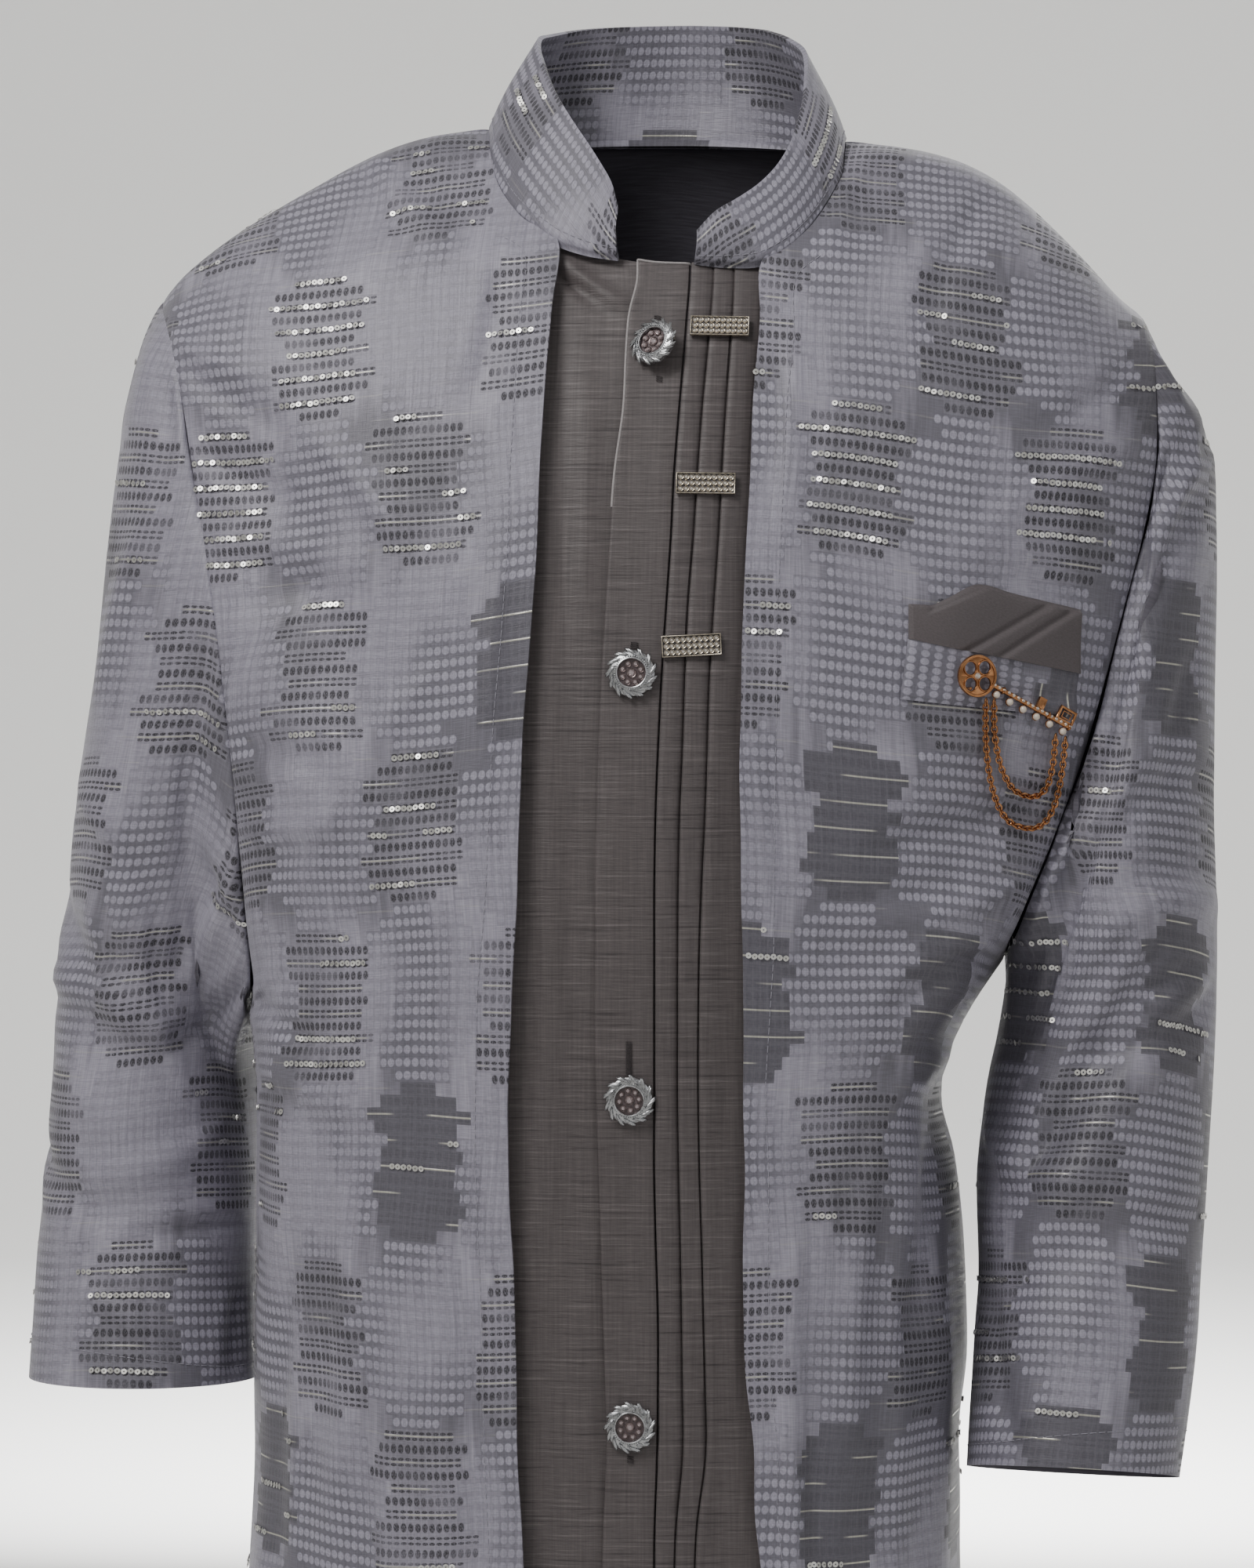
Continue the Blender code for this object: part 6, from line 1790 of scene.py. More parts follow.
def seat(middle, right, up, normal):
    """A matrix that carries a model's X, Y and Z to a place's right, up and outward."""
    rows = [[right[k], up[k], normal[k], middle[k]] for k in range(3)]
    return Matrix(rows + [[0.0, 0.0, 0.0, 1.0]])


def repeated(name, model, matrices, smooth=True):
    """One mesh of a small model seated at each matrix. The model itself goes."""
    points = np.array([point.co[:] for point in model.data.vertices])
    faces = [tuple(face.vertices) for face in model.data.polygons]
    all_points, all_faces = [], []
    for index, matrix in enumerate(matrices):
        m = np.array(matrix)
        all_points.append(points @ m[:3, :3].T + m[:3, 3])
        start = index * len(points)
        all_faces += [tuple(start + k for k in face) for face in faces]
    data = bpy.data.meshes.new(name)
    data.from_pydata(np.concatenate(all_points).tolist(), [], all_faces)
    data.polygons.foreach_set("use_smooth", [smooth] * len(all_faces))
    for finish in model.data.materials:
        data.materials.append(finish)
    if smooth:
        data.set_sharp_from_angle(angle=TRIM_SHARP)
    bpy.data.objects.remove(model)
    return placed(name, data)


def joined(name, parts):
    """Join parts into one piece."""
    begin()
    for part in parts:
        part.select_set(True)
    bpy.context.view_layer.objects.active = parts[0]
    bpy.ops.object.join()
    parts[0].name = parts[0].data.name = name
    return parts[0]


def moved_copy(name, model, matrix):
    """A copy of a finished model with its own mesh, seated by a matrix."""
    data = model.data.copy()
    data.transform(matrix)
    return placed(name, data)


def strands(name, lines, radius, finish, sides=0):
    """Threads or wires along lines of points, as one mesh."""
    begin()
    curve = bpy.data.curves.new(name, "CURVE")
    curve.dimensions = "3D"
    curve.bevel_depth = radius
    curve.bevel_resolution = sides
    curve.use_fill_caps = True
    for line in lines:
        spline = curve.splines.new("POLY")
        spline.points.add(len(line) - 1)
        for point, place in zip(spline.points, line):
            point.co = (*map(float, place), 1.0)
    made = placed(name, curve)
    made.select_set(True)
    bpy.context.view_layer.objects.active = made
    bpy.ops.object.convert(target="MESH")
    made = bpy.context.object
    made.name = made.data.name = name
    made.data.materials.clear()
    made.data.materials.append(finish)
    return made


def top_faces(made, above):
    """In edit mode: choose only the faces that look up and lie above a height."""
    mesh = bmesh.from_edit_mesh(made.data)
    bpy.ops.mesh.select_all(action="DESELECT")
    for face in mesh.faces:
        face.select_set(face.normal.z > 0.9 and face.calc_center_median().z > above)
    bmesh.update_edit_mesh(made.data)


def pushed(inset, rise):
    """In edit mode: inset the chosen faces and move them up or down."""
    bpy.ops.mesh.inset(thickness=inset)
    bpy.ops.transform.translate(value=(0.0, 0.0, rise))


def softened(made, width):
    """Round off the sharp edges of the active piece."""
    edge = made.modifiers.new("soft_edges", "BEVEL")
    edge.width, edge.segments, edge.limit_method = width, 2, "ANGLE"
    bpy.ops.object.modifier_apply(modifier="soft_edges")


def turned(angle):
    return Matrix.Rotation(angle, 4, "Z")


def sized(x, y, z):
    return Matrix.Diagonal((x, y, z, 1.0))


def moved(x, y, z):
    return Matrix.Translation((x, y, z))


def cut_stone(name, finish, sides=8):
    """A faceted stone, one unit in radius, with a flat table on top."""
    begin()
    bpy.ops.mesh.primitive_cone_add(
        vertices=sides, radius1=1.0, radius2=0.52, depth=0.62, location=(0.0, 0.0, 0.31),
    )
    return latest(name, finish, smooth=False)


def ring(name, finish, major, minor, around, sides, high=0.0):
    """A round wire ring that lies flat at a height."""
    begin()
    bpy.ops.mesh.primitive_torus_add(
        major_radius=major, minor_radius=minor, major_segments=around, minor_segments=sides,
        location=(0.0, 0.0, high),
    )
    return latest(name, finish)


# Buttons: a cast rim of swirled wires round a recessed enamel dish with nine stones
BUTTON_RADIUS = 0.0113
BUTTONS = (
    (840, 435, 0.0), (805, 857, 8.0), (802, 1405, -6.0), (803, 1822, 4.0),
)
SWIRLS = 13
SWIRL_TURN = math.radians(40)


def button_model():
    """One button: dish, swirled rim, grains, lip, and stones in their collets."""
    begin()
    bpy.ops.mesh.primitive_cylinder_add(
        vertices=44, radius=BUTTON_RADIUS * 0.86, depth=0.0018, location=(0.0, 0.0, 0.0009),
    )
    body = latest("button_body", SILVER)
    body.data.materials.append(MAUVE)
    bpy.ops.object.mode_set(mode="EDIT")
    top_faces(body, 0.0010)
    pushed(0.0008, 0.0006)
    pushed(0.0022, 0.0006)
    pushed(0.0004, -0.0014)
    body.active_material_index = 1
    bpy.ops.object.material_slot_assign()
    bpy.ops.object.mode_set(mode="OBJECT")

    begin()
    bpy.ops.mesh.primitive_uv_sphere_add(segments=8, ring_count=6, radius=1.0)
    wire = latest("rim_wire", SILVER)
    chance = random.Random(5)
    places = []
    for swirl in range(SWIRLS):
        angle = 2 * math.pi * swirl / SWIRLS
        for strand in (-1, 0, 1):
            reach = 0.0029 - 0.0005 * abs(strand) + chance.uniform(-0.0002, 0.0002)
            radius = 0.0092 + 0.0004 * strand
            lean = SWIRL_TURN + chance.uniform(-0.08, 0.08)
            tilt = Matrix.Rotation(math.radians(12), 4, "Y")
            places.append(
                turned(angle + 0.11 * strand) @ moved(radius, 0.0, 0.0026 - 0.0003 * abs(strand))
                @ turned(math.pi / 2 - lean) @ tilt @ sized(reach, 0.00058, 0.00062)
            )
    wires = repeated("rim_wires", wire, places)
    begin()
    bpy.ops.mesh.primitive_uv_sphere_add(segments=6, ring_count=4, radius=0.00030)
    bead = latest("rim_bead", SILVER)
    grains = repeated("rim_grains", bead, [
        turned(2 * math.pi * k / 46) @ moved(0.0072, 0.0, 0.0032) for k in range(46)
    ])
    lip = ring("inner_lip", SILVER, 0.0064, 0.00042, 44, 8, 0.0031)
    spots = [moved(0.0, 0.0, 0.0018) @ sized(0.0018, 0.0018, 0.0018)]
    spots += [
        turned(2 * math.pi * (k + 0.3) / 8) @ moved(0.0042, 0.0, 0.0018)
        @ sized(0.00118, 0.00118, 0.0014) for k in range(8)
    ]
    stones = repeated("button_stones", cut_stone("button_stone", MAUVE_STONE), spots, False)
    collet = ring("button_collet", MAUVE_METAL, 1.05, 0.15, 12, 5, 0.12)
    collets = repeated("button_collets", collet, spots)
    return joined("button_model", [body, wires, grains, lip, stones, collets])


def build_buttons():
    model = button_model()
    for index, (px, py, turn) in enumerate(BUTTONS):
        middle, right, up, normal = frame_at(
            px, py, -INNER_SINK + 0.0008 + 0.0012 * near_top(py, px), turn
        )
        if index == 0:
            normal = unit(normal - right * 0.45)
            right = unit(np.cross(up, normal))
            right = right if right[0] > 0 else -right
            middle = middle + normal * 0.0036
        name = "button_%d" % (index + 1)
        made = moved_copy(name + "_filigree", model, seat(middle, right, up, normal))
        stands_for(made, name)
        shank(index, middle, normal)
    bpy.data.objects.remove(model)


def shank(index, middle, normal):
    """Thread wound between a button and the strip it is sewn on."""
    side = unit(np.cross(normal, np.array((0.0, 0.0, 1.0))))
    lines = []
    deep = 0.0048 if index == 0 else 0.0022
    for turn in range(4):
        angle = math.pi * turn / 4
        aside = (side * math.cos(angle) + np.cross(normal, side) * math.sin(angle)) * 0.0009
        lines.append([middle + aside + normal * 0.0002, middle + aside * 0.4 - normal * deep])
    made = strands("button_%d_shank" % (index + 1), lines, 0.00035, DARK_STITCH, 1)
    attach(made, "root")


# Bars: a plated tray with three rows of ten stones
BARS = ((918, 412, -1.5), (900, 614, -1.0), (882, 822, 3.0))
BAR_WIDE = 0.0252
BAR_HIGH = 0.0092
BAR_THICK = 0.0020
BAR_LIFT = 0.0024


def build_bars():
    begin()
    bpy.ops.mesh.primitive_cube_add(
        size=1.0, location=(0.0, 0.0, BAR_THICK * 0.4), scale=(BAR_WIDE, BAR_HIGH, BAR_THICK * 0.8),
    )
    tray = latest("bar_tray", PALE_GOLD)
    tray.data.materials.append(DARK_SILVER)
    bpy.ops.object.mode_set(mode="EDIT")
    top_faces(tray, BAR_THICK * 0.7)
    pushed(0.00045, 0.0)
    bpy.ops.mesh.extrude_region_move(TRANSFORM_OT_translate={"value": (0.0, 0.0, -0.0007)})
    tray.active_material_index = 1
    bpy.ops.object.material_slot_assign()
    bpy.ops.object.mode_set(mode="OBJECT")
    softened(tray, 0.00018)
    pitch_x = (BAR_WIDE - 0.0016) / 10
    pitch_y = (BAR_HIGH - 0.0014) / 3
    spots = []
    for row in range(3):
        for column in range(10):
            place = moved((column - 4.5) * pitch_x, (row - 1) * pitch_y, BAR_THICK * 0.42)
            spots.append(place @ turned(0.4 * column + row) @ sized(0.00105, 0.00105, 0.00125))
    collet = ring("bar_collet", PALE_GOLD, 1.06, 0.17, 10, 5, 0.35)
    model = joined("bar_model", [
        tray, repeated("bar_collets", collet, spots),
        repeated("bar_stones", cut_stone("bar_stone", CLEAR_STONE), spots, False),
    ])
    for index, (px, py, turn) in enumerate(BARS):
        lift = -INNER_SINK + BAR_LIFT + 0.0009 * near_top(py, px)
        name = "bar_%d" % (index + 1)
        made = moved_copy(name + "_stones", model, seat(*frame_at(px, py, lift, turn)))
        stands_for(made, name)
    bpy.data.objects.remove(model)


# Pocket: a welt cut across the cloth, and a pleated square of the plain cloth
WELT_CORNERS = ((1158, 815), (1375, 859), (1368, 915), (1148, 892))
# The square's first column, its width, and the row of its lower edge at both ends
SQUARE_START = 1159
SQUARE_WIDE = 217
SQUARE_LOW = (815.5, 859.5)
SQUARE_TOP = Curve(
    (0.0, 771), (0.13, 772), (0.22, 764), (0.42, 745), (0.60, 756), (1.0, 778),
)


def crease_at(px, py):
    """Height of the left front's own creases under a place, which trim lying there follows."""
    return float(creased(np.array([px]), np.array([py]), FRONT_CREASES[1], BODY_FULL)[0])


def sharp_step(t):
    """0 well below 0 and 1 well above it, with a quick turn between."""
    return 1.0 / (1.0 + math.exp(-max(min(t, 30.0), -30.0)))


def laid_sheet(name, wide, high, form, face):
    """A thin sheet on the left front: form(u, v) gives column, row, lift and flat place."""
    outer, inner, flat = [], [], []
    for j in range(high + 1):
        for i in range(wide + 1):
            px, py, lift, place = form(i / wide, j / high)
            point = on_front(px, py)
            out = front_out(point)
            under = crease_at(px, py)
            outer.append(point + out * (under + lift))
            inner.append(point + out * (under + 0.0004))
            flat.append(place)
    shape = (high + 1, wide + 1)
    outer, inner = np.array(outer).reshape(*shape, 3), np.array(inner).reshape(*shape, 3)
    made = sheet_mesh(name, outer, inner, np.array(flat).reshape(*shape, 2))
    return finish_sheet(made, face, face), outer


def welt_place(u, v):
    """The welt's face, with its rim pressed down at the seams."""
    top = np.array(WELT_CORNERS[0]) * (1 - u) + np.array(WELT_CORNERS[1]) * u
    base = np.array(WELT_CORNERS[3]) * (1 - u) + np.array(WELT_CORNERS[2]) * u
    px, py = top * (1 - v) + base * v
    rim = min(u * 0.072, (1 - u) * 0.072, (1 - v) * 0.022)
    lift = 0.0012 + 0.0012 * soft(rim / 0.0022) + 0.00018 * math.sin(u * 17.0 + v * 3.0)
    return px, py, lift, (0.070 + 0.026 * v, 0.205 + 0.074 * u)


def square_place(u, v):
    """The square's three pleats: a folded band between two slanting edges, a corner behind."""
    px = SQUARE_START + SQUARE_WIDE * u
    low = SQUARE_LOW[0] + (SQUARE_LOW[1] - SQUARE_LOW[0]) * u
    py = SQUARE_TOP(u) * (1 - v) + low * v
    first = (px - 1237) * 0.500 + (py - 832) * 0.867
    second = (px - 1272) * 0.545 + (py - 842) * 0.838
    pleats = 0.0014 * sharp_step(first / 0.9) + 0.0015 * sharp_step(second / 0.9)
    grooves = math.exp(-((first + 4) / 4) ** 2), math.exp(-((second + 4) / 4) ** 2)
    pleats -= 0.0009 * grooves[0] + 0.0009 * grooves[1]
    pleats -= 0.0010 * soft(first / 60.0) + 0.0010 * soft(second / 60.0)
    corner_edge = 778 - (px - 1196) * 0.44
    corner = sharp_step((corner_edge - py) / 0.8) * sharp_step((px - 1186) / 2.0)
    corner *= sharp_step((1262 - px) / 3.0)
    rim = soft(min(u * SQUARE_WIDE, (1 - u) * SQUARE_WIDE, v * 60) / 5.0)
    lift = 0.0018 + 0.0012 * rim + pleats * rim - 0.0012 * corner
    lift += 0.0004 * math.sin(px * 0.045 + py * 0.02) * (1 - v)
    flat = (0.3 + px * 0.00028 + py * 0.00016, py * 0.00033 - px * 0.00015)
    return px, py, lift, flat


def build_pocket():
    welt, face = laid_sheet("pocket_welt_cloth", 60, 16, welt_place, BROCADE)
    declare(welt, "pocket_welt", face, 0.078, 0.022, "laid", ("front_left_cloth",),
            "patterned_cloth")
    square, face = laid_sheet("pocket_square_cloth", 130, 44, square_place, SQUARE_CLOTH)
    declare(square, "pocket_square", face, 0.080, 0.033, "folded", ("front_left_cloth",),
            "plain_cloth")


# Key brooch: pierced bow, stone-set shaft, two bits, six pearls and two chains
BROOCH_LIFT = 0.0063
BOW_RADIUS = 0.0090
HOLE_RADIUS = 0.0029
HOLE_OUT = 0.0048
SHAFT_RADIUS = 0.0011
SHAFT_STONES = 17
# Measured places of the key's middle, its bow and its tip
KEY_MIDDLE = (1290, 893)
KEY_BOW = (1238, 862)
KEY_TIP = (1357, 928)
# Each chain: its lowest point and where its two ends hang
CHAINS = (
    ("brooch_chain_inner", (1301, 1013), (1262, 897), (1337, 938)),
    ("brooch_chain_outer", (1298, 1056), (1252, 896), (1349, 941)),
)
LINK_PITCH = 0.0022


def pierced_bow():
    """The key's round bow with four holes, a rim, a lip round each hole and a stone."""
    begin()
    bpy.ops.mesh.primitive_cylinder_add(vertices=56, radius=BOW_RADIUS, depth=0.0017)
    disc = latest("bow_disc", COPPER)
    holes, lips = [], []
    for turn in range(4):
        angle = math.radians(73 + 90 * turn)
        x, y = math.cos(angle) * HOLE_OUT, math.sin(angle) * HOLE_OUT
        begin()
        bpy.ops.mesh.primitive_cylinder_add(
            vertices=28, radius=HOLE_RADIUS, depth=0.006, location=(x, y, 0.0),
        )
        holes.append(latest("bow_hole", COPPER))
        lip = ring("hole_lip", COPPER, HOLE_RADIUS + 0.0001, 0.00038, 26, 6, 0.0009)
        lip.data.transform(moved(x, y, 0.0))
        lips.append(lip)
    cutter = joined("bow_holes", holes)
    begin()
    disc.select_set(True)
    bpy.context.view_layer.objects.active = disc
    pierce = disc.modifiers.new("pierced", "BOOLEAN")
    pierce.object, pierce.operation, pierce.solver = cutter, "DIFFERENCE", "EXACT"
    bpy.ops.object.modifier_apply(modifier="pierced")
    bpy.data.objects.remove(cutter)
    softened(disc, 0.0003)
    bpy.ops.object.shade_smooth_by_angle(angle=TRIM_SHARP)
    rim = ring("bow_rim", COPPER, BOW_RADIUS * 0.93, 0.0007, 56, 8, 0.0008)
    seats = [moved(0.0, 0.0, 0.0009) @ sized(0.0015, 0.0015, 0.0018)]
    heart = repeated("bow_heart", cut_stone("bow_stone", CLEAR_STONE), seats, False)
    return [disc, rim, heart] + lips


def stone_shaft(length):
    """The key's shaft along X, with bands and a close row of stones."""
    start = BOW_RADIUS * 0.92
    begin()
    bpy.ops.mesh.primitive_cylinder_add(
        vertices=16, radius=SHAFT_RADIUS, depth=length - start, rotation=(0.0, math.pi / 2, 0.0),
        location=((length + start) / 2, 0.0, 0.0),
    )
    parts = [latest("key_shaft", COPPER)]
    for share in (0.28, 0.76, 0.985):
        band = ring("shaft_band", COPPER, 0.0013, 0.00045, 18, 6)
        band.data.transform(moved(length * share, 0.0, 0.0) @ Matrix.Rotation(math.pi / 2, 4, "Y"))
        parts.append(band)
    span = length - start - 0.0014
    spots = [
        moved(start + 0.0008 + span * k / (SHAFT_STONES - 1), 0.0002, 0.0009)
        @ sized(0.00082, 0.00082, 0.0012) for k in range(SHAFT_STONES)
    ]
    stones = cut_stone("shaft_stone", CLEAR_STONE, 6)
    return parts + [repeated("shaft_stones", stones, spots, False)]


def key_bits(length):
    """Two bits above the shaft: a small solid square and a larger open one."""
    begin()
    bpy.ops.mesh.primitive_cube_add(
        size=1.0, location=(length * 0.655, 0.0033, 0.0), scale=(0.0036, 0.0046, 0.0016),
    )
    small = latest("small_bit", COPPER)
    bpy.ops.object.mode_set(mode="EDIT")
    top_faces(small, 0.0005)
    pushed(0.0009, -0.0006)
    bpy.ops.object.mode_set(mode="OBJECT")
    parts = [small]
    for name, a0, a1, b0, b1, thick in (
        ("open_bit", 0.845, 0.997, 0.0012, 0.0064, 0.00085),
        ("open_bit_inner", 0.880, 0.962, 0.0024, 0.0051, 0.00035),
    ):
        outline = [(length * a, b, 0.0) for a, b in ((a0, b0), (a0, b1), (a1, b1), (a1, b0))]
        parts.append(strands(name, [outline + outline[:1]], thick, COPPER, 2))
    return parts


def pearl_row(length):
    """Six coated pearls in cups on short stems under the shaft."""
    begin()
    bpy.ops.mesh.primitive_uv_sphere_add(segments=14, ring_count=9, radius=1.0)
    pearl = latest("pearl", PEARL)
    places = [length * (0.235 + 0.142 * k) for k in range(6)]
    seats = [moved(x, -0.0030, 0.0004) for x in places]
    cup = ring("pearl_cup", COPPER, 0.0014, 0.00042, 16, 6, -0.0006)
    balls = [place @ sized(0.00155, 0.00155, 0.00155) for place in seats]
    stems = [[(x, -0.0030, -0.0007), (x, 0.0, -0.0004)] for x in places]
    return [
        repeated("pearl_cups", cup, seats), repeated("pearls", pearl, balls),
        strands("pearl_stems", stems, 0.0005, COPPER, 1),
    ]


def build_brooch():
    """The key brooch with its pin, and the two chains that hang from it."""
    normal = front_out(on_front(*KEY_MIDDLE))
    bow = on_front(*KEY_BOW) + normal * BROOCH_LIFT
    tip = on_front(*KEY_TIP) + normal * BROOCH_LIFT
    along = unit(tip - bow)
    across = unit(np.cross(normal, along))
    across = across if across[2] > 0 else -across
    normal = unit(np.cross(along, across))
    length = float(np.linalg.norm(tip - bow))
    pin = [
        [(0.0, -0.006, -0.0004), (0.0, -0.006, -0.0042)],
        [(length * 0.9, 0.0, -0.0004), (length * 0.9, 0.0, -0.0040)],
    ]
    parts = pierced_bow() + stone_shaft(length) + key_bits(length) + pearl_row(length)
    parts.append(strands("key_pin", pin, 0.0007, COPPER, 1))
    key = joined("key_pierced", parts)
    key.data.transform(seat(bow, along, across, normal))
    stands_for(key, "brooch_key")
    for name, low, first, last in CHAINS:
        made = chain(name + "_links", chain_line(low, first, last), normal)
        stands_for(made, name)


def chain_line(low, first, last):
    """The hanging line of a chain in fine steps."""
    steps = 160
    line = []
    middle = 0.5 * (first[0] + last[0])
    half = 0.5 * (last[0] - first[0])
    for step in range(steps + 1):
        t = step / steps * 2 - 1
        px = middle + half * math.sin(t * math.pi / 2) + (low[0] - middle) * (1 - t * t)
        top = first[1] + (last[1] - first[1]) * (t + 1) / 2
        fall = (1 - abs(t) ** 2.3) * (low[1] - 0.5 * (first[1] + last[1]))
        point = on_front(px, top + fall)
        line.append(point + front_out(point) * (0.0036 + 0.0018 * abs(t) ** 6))
    return np.array(line)


def chain(name, line, normal):
    """Curb chain: close links, each turned against the next."""
    run = running(line)
    count = int(run[-1] / LINK_PITCH)
    link = ring("chain_link", COPPER, 0.00120, 0.00042, 12, 6)
    places = []
    for index in range(count + 1):
        s = run[-1] * index / count
        place, ahead, behind = (
            point_at(reach, run, line)
            for reach in (s, min(s + 0.0008, run[-1]), max(s - 0.0008, 0.0))
        )
        along = unit(ahead - behind)
        side = unit(np.cross(normal, along))
        up = unit(np.cross(along, side))
        lean = Matrix.Rotation(math.radians(42 if index % 2 else -42), 4, "X")
        places.append(seat(place, along, side, up) @ lean @ sized(1.35, 1.0, 1.0))
    return repeated(name, link, places)


# Sequins: flat rings sewn along the double lines of the weave
SEQUIN_PITCH = 0.00265
SEQUIN_RADIUS = 0.00131
SEQUIN_HOLE = 0.00046
SEQUIN_THICK = 0.00016
SEQUIN_LIFT = 0.00052
# Blocks sewn most thickly: measured column and row, share of the line that is sewn
BRIGHT_BLOCKS = (
    (440, 430, 0.95), (300, 590, 0.95), (1075, 655, 0.95), (1380, 680, 0.60),
    (575, 610, 0.50), (1250, 460, 0.40), (190, 770, 0.60), (690, 410, 0.35),
)
BLOCK_ROWS = 12


def sequin_model():
    """One thin ring of film."""
    begin()
    bpy.ops.mesh.primitive_circle_add(vertices=8, radius=SEQUIN_RADIUS, fill_type="NGON")
    bpy.ops.object.mode_set(mode="EDIT")
    bpy.ops.mesh.inset(thickness=SEQUIN_RADIUS - SEQUIN_HOLE)
    bpy.ops.mesh.delete(type="FACE")
    bpy.ops.mesh.select_all(action="SELECT")
    bpy.ops.mesh.extrude_region_move(
        TRANSFORM_OT_translate={"value": (0.0, 0.0, SEQUIN_THICK)}
    )
    bpy.ops.mesh.select_all(action="SELECT")
    bpy.ops.mesh.normals_make_consistent(inside=False)
    bpy.ops.object.mode_set(mode="OBJECT")
    return latest("sequin", SEQUIN, smooth=False)


def block_share(cloth, u, v, spare, chance):
    """How thickly one block is sewn: as seen where it faces front, and by chance elsewhere."""
    share = spare * chance.choice((0.0, 0.3, 0.6, 1.0, 1.8))
    found = cloth.at(u, v)
    if found is not None and found[1][1] < 0.2:
        px, py = pictured(np.array(found[0]))
        for bright_x, bright_y, bright in BRIGHT_BLOCKS:
            if math.hypot(px - bright_x, (py - bright_y) * 0.7) < 88:
                share = bright
    return share


def sewn_line(start, end, v, share, chance):
    """Runs of a few sequins with gaps along one line of the weave."""
    places = []
    u = start
    run_left = gap_left = 0
    while u < end:
        if run_left <= 0 and gap_left <= 0:
            if chance.random() < share:
                run_left = chance.randint(3, 9)
            else:
                gap_left = chance.randint(2, 7)
        if run_left > 0:
            places.append((u, v + chance.uniform(-0.00025, 0.00025)))
        run_left -= 1
        gap_left -= 1
        u += SEQUIN_PITCH
    return places


def sewn_places(cloth, spare, chance):
    """Flat places of all the sequins on one cloth, block by block of the weave."""
    places = []
    low = cloth.flat.reshape(-1, 2).min(axis=0)
    high = cloth.flat.reshape(-1, 2).max(axis=0)
    wide = 2 * COLUMN_MM * 0.001
    tall = REPEAT_ROWS * ROW_MM * 0.001
    columns, blocks = (
        range(math.floor((low[k] - start) / size) - 1, math.ceil((high[k] - start) / size) + 2)
        for k, start, size in ((0, PATTERN_U, wide), (1, PATTERN_V, tall))
    )
    for block in blocks:
        for column in columns:
            for side, rise in ((0.5, 0), (0.0, -SECOND_LIFT)):
                middle = PATTERN_U + (column + side) * wide
                top = PATTERN_V + (block * REPEAT_ROWS + rise) * ROW_MM * 0.001
                share = block_share(cloth, middle, top + 6 * ROW_MM * 0.001, spare, chance)
                for row in range(0, BLOCK_ROWS, 2):
                    v = top + (row + 0.5) * ROW_MM * 0.001
                    half = BLOCK_HALF[row] * 0.5 * wide * chance.uniform(0.75, 1.15)
                    if share > 0.0 and chance.random() < 0.45 + share * 0.6:
                        places += sewn_line(middle - half, middle + half, v, share, chance)
    return places


def build_sequins():
    """All the sequins of each patterned cloth as one piece, sewn on a little askew."""
    thickness = {
        "front_right": 0.30, "front_left": 0.26, "back": 0.24,
        "sleeve_right": 0.32, "sleeve_left": 0.24, "collar": 0.40,
    }
    for index, (name, spare) in enumerate(thickness.items()):
        cloth = cloths[name]
        chance = random.Random(11 + index)
        matrices = []
        for u, v in sewn_places(cloth, spare, chance):
            found = cloth.at(u, v)
            lean_x, lean_y = chance.uniform(-0.34, 0.34), chance.uniform(-0.34, 0.34)
            if found is None:
                continue
            point, out, along = found
            tilt = Matrix.Rotation(lean_x, 4, "X") @ Matrix.Rotation(lean_y, 4, "Y")
            up = unit(np.cross(out, along))
            matrices.append(seat(point + out * SEQUIN_LIFT, along, up, out) @ tilt)
        if matrices:
            made = repeated(name + "_sequins", sequin_model(), matrices, smooth=False)
            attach(made, "root")


# Stitching: runs of short stitches a little in from the edges
STITCH_LONG = 0.0029
STITCH_GAP = 0.0009
# Share along one stitch and height over the cloth, which its ends go into
STITCH_ARCH = ((0.0, -0.00012), (0.22, 0.00022), (0.78, 0.00022), (1.0, -0.00012))
# The pale overlocked edge of the button strip shows down to this measured row
PIPED_TO = 650
# Worked stitches: column, first row, how many, width and pitch, all as measured
BUTTONHOLES = (
    (801, 1331, 22, 7.5, 1.95), (838, 396, 4, 9, 2.6), (808, 817, 5, 10, 2.4),
    (803, 1860, 4, 8, 2.6), (840, 474, 3, 8, 2.8),
)


def stitches(points, outs):
    """Short arched stitches along a line of points."""
    run = running(points)
    lines = []
    s = 0.0
    while s + STITCH_LONG < run[-1]:
        line = []
        for share, high in STITCH_ARCH:
            reach = s + STITCH_LONG * share
            line.append(point_at(reach, run, points) + point_at(reach, run, outs) * high)
        lines.append(line)
        s += STITCH_LONG + STITCH_GAP
    return lines


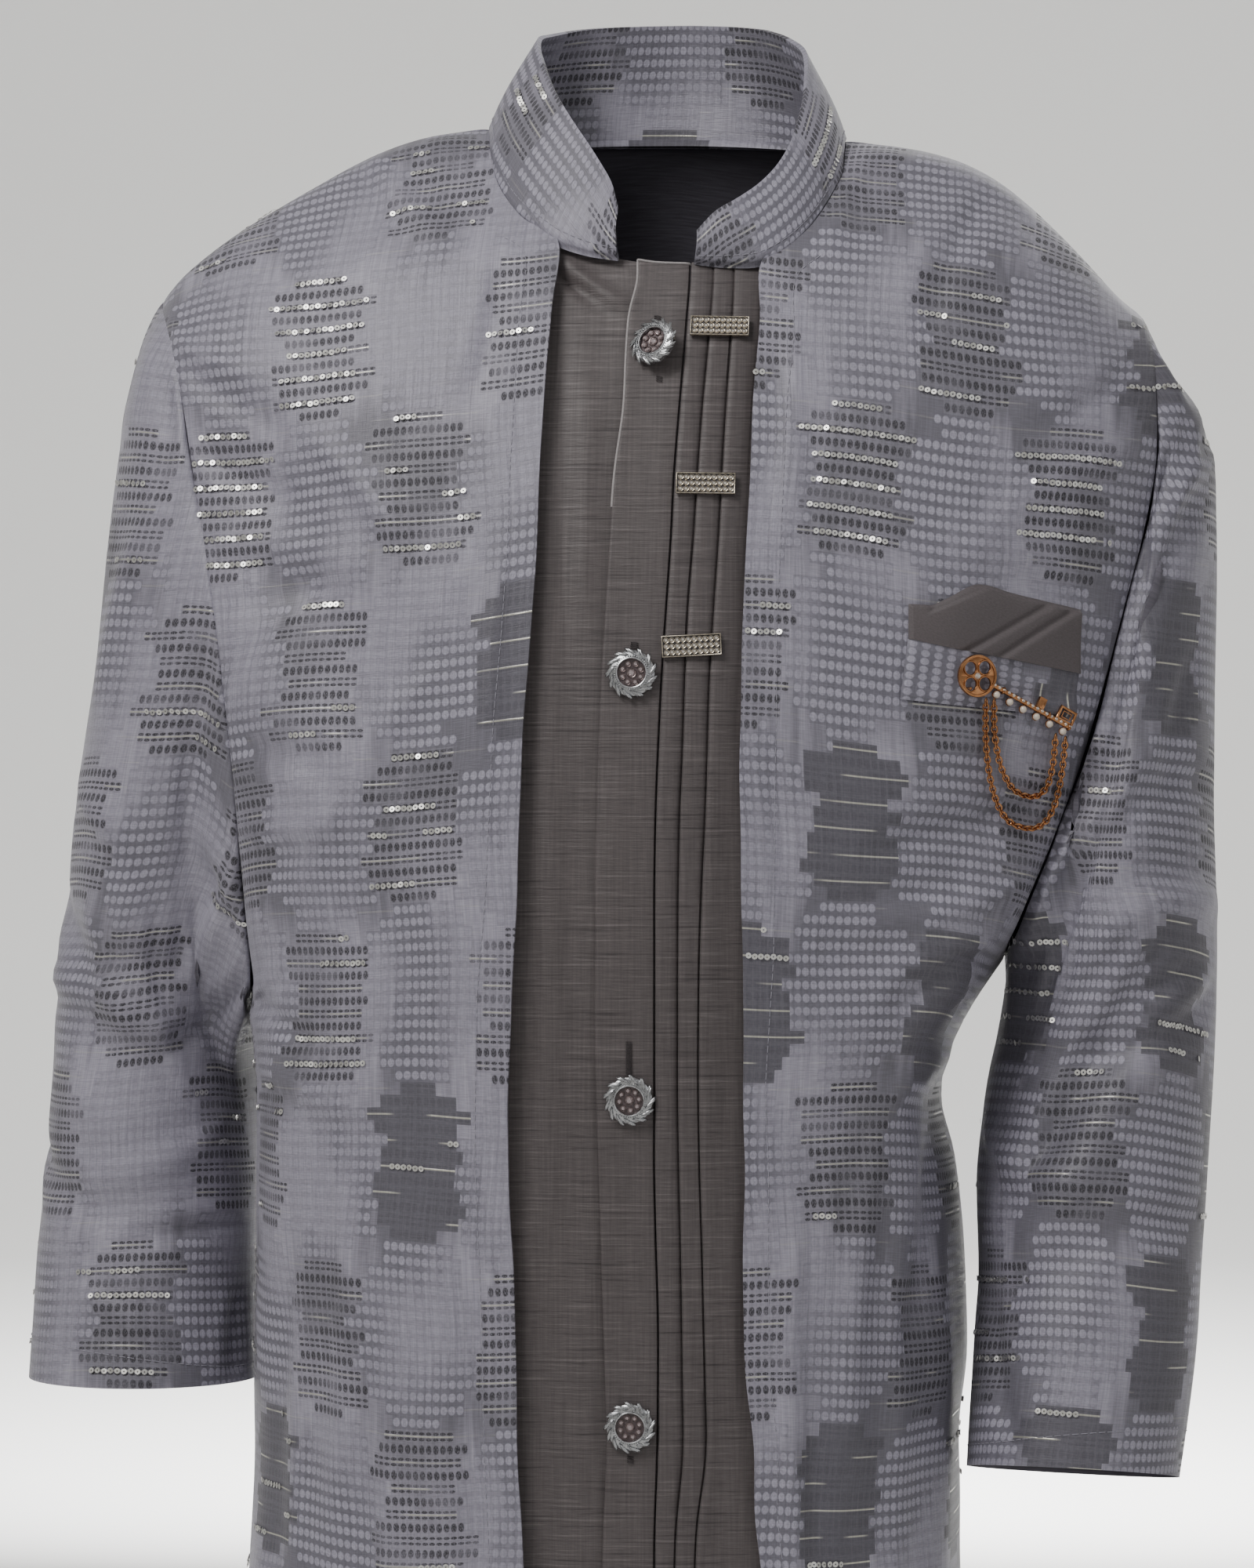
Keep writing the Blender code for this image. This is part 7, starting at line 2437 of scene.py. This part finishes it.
def build_stitching():
    """Stitches along the edges, the strip's piped edge and the buttonholes' threads."""
    lines = []
    for name in ("front_right", "front_left"):
        cloth = cloths[name]
        lines += stitches(cloth.grid[26:, 4], cloth.out[26:, 4])
        lines += stitches(cloth.grid[-6], cloth.out[-6])
    lines += stitches(cloths["back"].grid[-6], cloths["back"].out[-6])
    for name in ("sleeve_right", "sleeve_left"):
        points, outs = cloths[name].grid[-5], cloths[name].out[-5]
        lines += stitches(np.concatenate((points, points[:1])), np.concatenate((outs, outs[:1])))
    lines += stitches(cloths["collar"].grid[-6], cloths["collar"].out[-6])
    made = strands("edge_stitching", lines, 0.00017, STITCH)
    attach(made, "root")

    long = int(np.sum(pictured(strip_grid[:, 0])[1] < PIPED_TO))
    edge, outs = (
        np.concatenate((part[0, :0:-1], part[:long, 0])) for part in (strip_grid, strip_out)
    )
    piped = strands("placket_piping", [list(edge + outs * 0.0001)], 0.00052, PIPING, 2)
    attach(piped, "root")

    lines = []
    for px, py, count, wide, pitch in BUTTONHOLES:
        for index in range(count):
            row = py + index * pitch
            line = []
            for share, rise in ((-0.5, 0.0004), (0.0, 0.0009), (0.5, 0.0004)):
                place = on_front(px + wide * share, row + 1.2 * share)
                lift = rise - INNER_SINK + 0.0012 * near_top(row, px)
                line.append(place + front_out(place) * lift)
            lines.append(line)
    holes = strands("buttonhole_stitches", lines, 0.00022, DARK_STITCH)
    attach(holes, "root")


build_buttons()
build_bars()
build_pocket()
build_brooch()
build_sequins()
build_stitching()


def area_light(name, place, aim, size, power, colour):
    """A soft square light that looks at a point."""
    data = bpy.data.lights.new(name, "AREA")
    data.energy, data.size, data.color = power, size, colour
    made = placed(name, data)
    made.location = place
    made.visible_camera = False
    made.rotation_euler = (Vector(aim) - Vector(place)).to_track_quat("-Z", "Y").to_euler()


# The floor lies a little under the hem. It bends up into the backdrop in steps
FLOOR_HEIGHT = -COAT_LENGTH - 0.012
FLOOR_RADIUS = 5.0
BEND = 4.0
BEND_STEP = 7.5


def build_stage():
    """Pale floor, soft light and the measured viewpoint."""
    begin()
    bpy.ops.mesh.primitive_circle_add(
        vertices=72, radius=FLOOR_RADIUS, fill_type="NGON", location=(0.0, 0.0, FLOOR_HEIGHT),
    )
    floor = bpy.context.object
    floor.name = floor.data.name = "floor_and_backdrop"
    bpy.ops.object.transform_apply(location=True, rotation=True, scale=True)
    bpy.ops.object.mode_set(mode="EDIT")
    bpy.ops.mesh.select_mode(type="EDGE")
    bpy.ops.mesh.select_all(action="DESELECT")
    edges = bmesh.from_edit_mesh(floor.data)
    for edge in edges.edges:
        edge.select_set(edge.is_boundary)
    bmesh.update_edit_mesh(floor.data)
    radius = FLOOR_RADIUS
    for step in range(1, 13):
        angle = math.radians(BEND_STEP * step)
        wider = FLOOR_RADIUS + BEND * math.sin(angle)
        rise = BEND * (math.cos(math.radians(BEND_STEP * (step - 1))) - math.cos(angle))
        bpy.ops.mesh.extrude_edges_move(TRANSFORM_OT_translate={"value": (0.0, 0.0, rise)})
        scale = wider / radius
        bpy.ops.transform.resize(value=(scale, scale, 1.0), center_override=(0.0, 0.0, 0.0))
        radius = wider
    bpy.ops.mesh.extrude_edges_move(TRANSFORM_OT_translate={"value": (0.0, 0.0, 2.5)})
    bpy.ops.object.mode_set(mode="OBJECT")
    bpy.ops.object.shade_smooth()
    pale = clouded("floor_matt_pale", "#e6e5e3", "#ececea", 0.8, 2.0, Roughness=0.9, IOR=1.4)[0]
    floor.data.materials.append(pale)

    world = bpy.data.worlds.new("pale_room")
    bpy.context.scene.world = world
    world.use_nodes = True
    ground = world.node_tree.nodes["Background"]
    ground.inputs["Color"].default_value = hue("#dedddb")
    ground.inputs["Strength"].default_value = 0.50

    middle = (0.0, 0.0, -0.30)
    area_light("key_window", (-0.95, -1.35, 1.3), middle, 0.8, 29.0, (1.0, 0.985, 0.96))
    area_light("fill_window", (2.0, -1.7, 0.6), middle, 1.8, 5.0, (0.95, 0.97, 1.0))
    area_light("back_window", (0.6, 2.2, 1.2), middle, 1.6, 14.0, (1.0, 1.0, 1.0))
    area_light("backdrop_window", (0.0, 2.0, 0.4), (0.0, 9.0, 0.2), 1.6, 320.0, (1.0, 1.0, 1.0))

    data = bpy.data.cameras.new("front_view")
    data.sensor_fit = "VERTICAL"
    data.sensor_height = 36.0
    data.lens = SIGHT_FOCAL / 2000.0 * 36.0
    camera = placed("front_view", data)
    camera.location = (
        SIGHT_SIDE + SIGHT_FAR * math.sin(SIGHT_TURN), -SIGHT_FAR * math.cos(SIGHT_TURN),
        SIGHT_HEIGHT,
    )
    look = Vector((SIGHT_SIDE, 0.0, SIGHT_HEIGHT)) - Vector(camera.location)
    camera.rotation_euler = look.to_track_quat("-Z", "Y").to_euler()
    bpy.context.scene.camera = camera


build_stage()
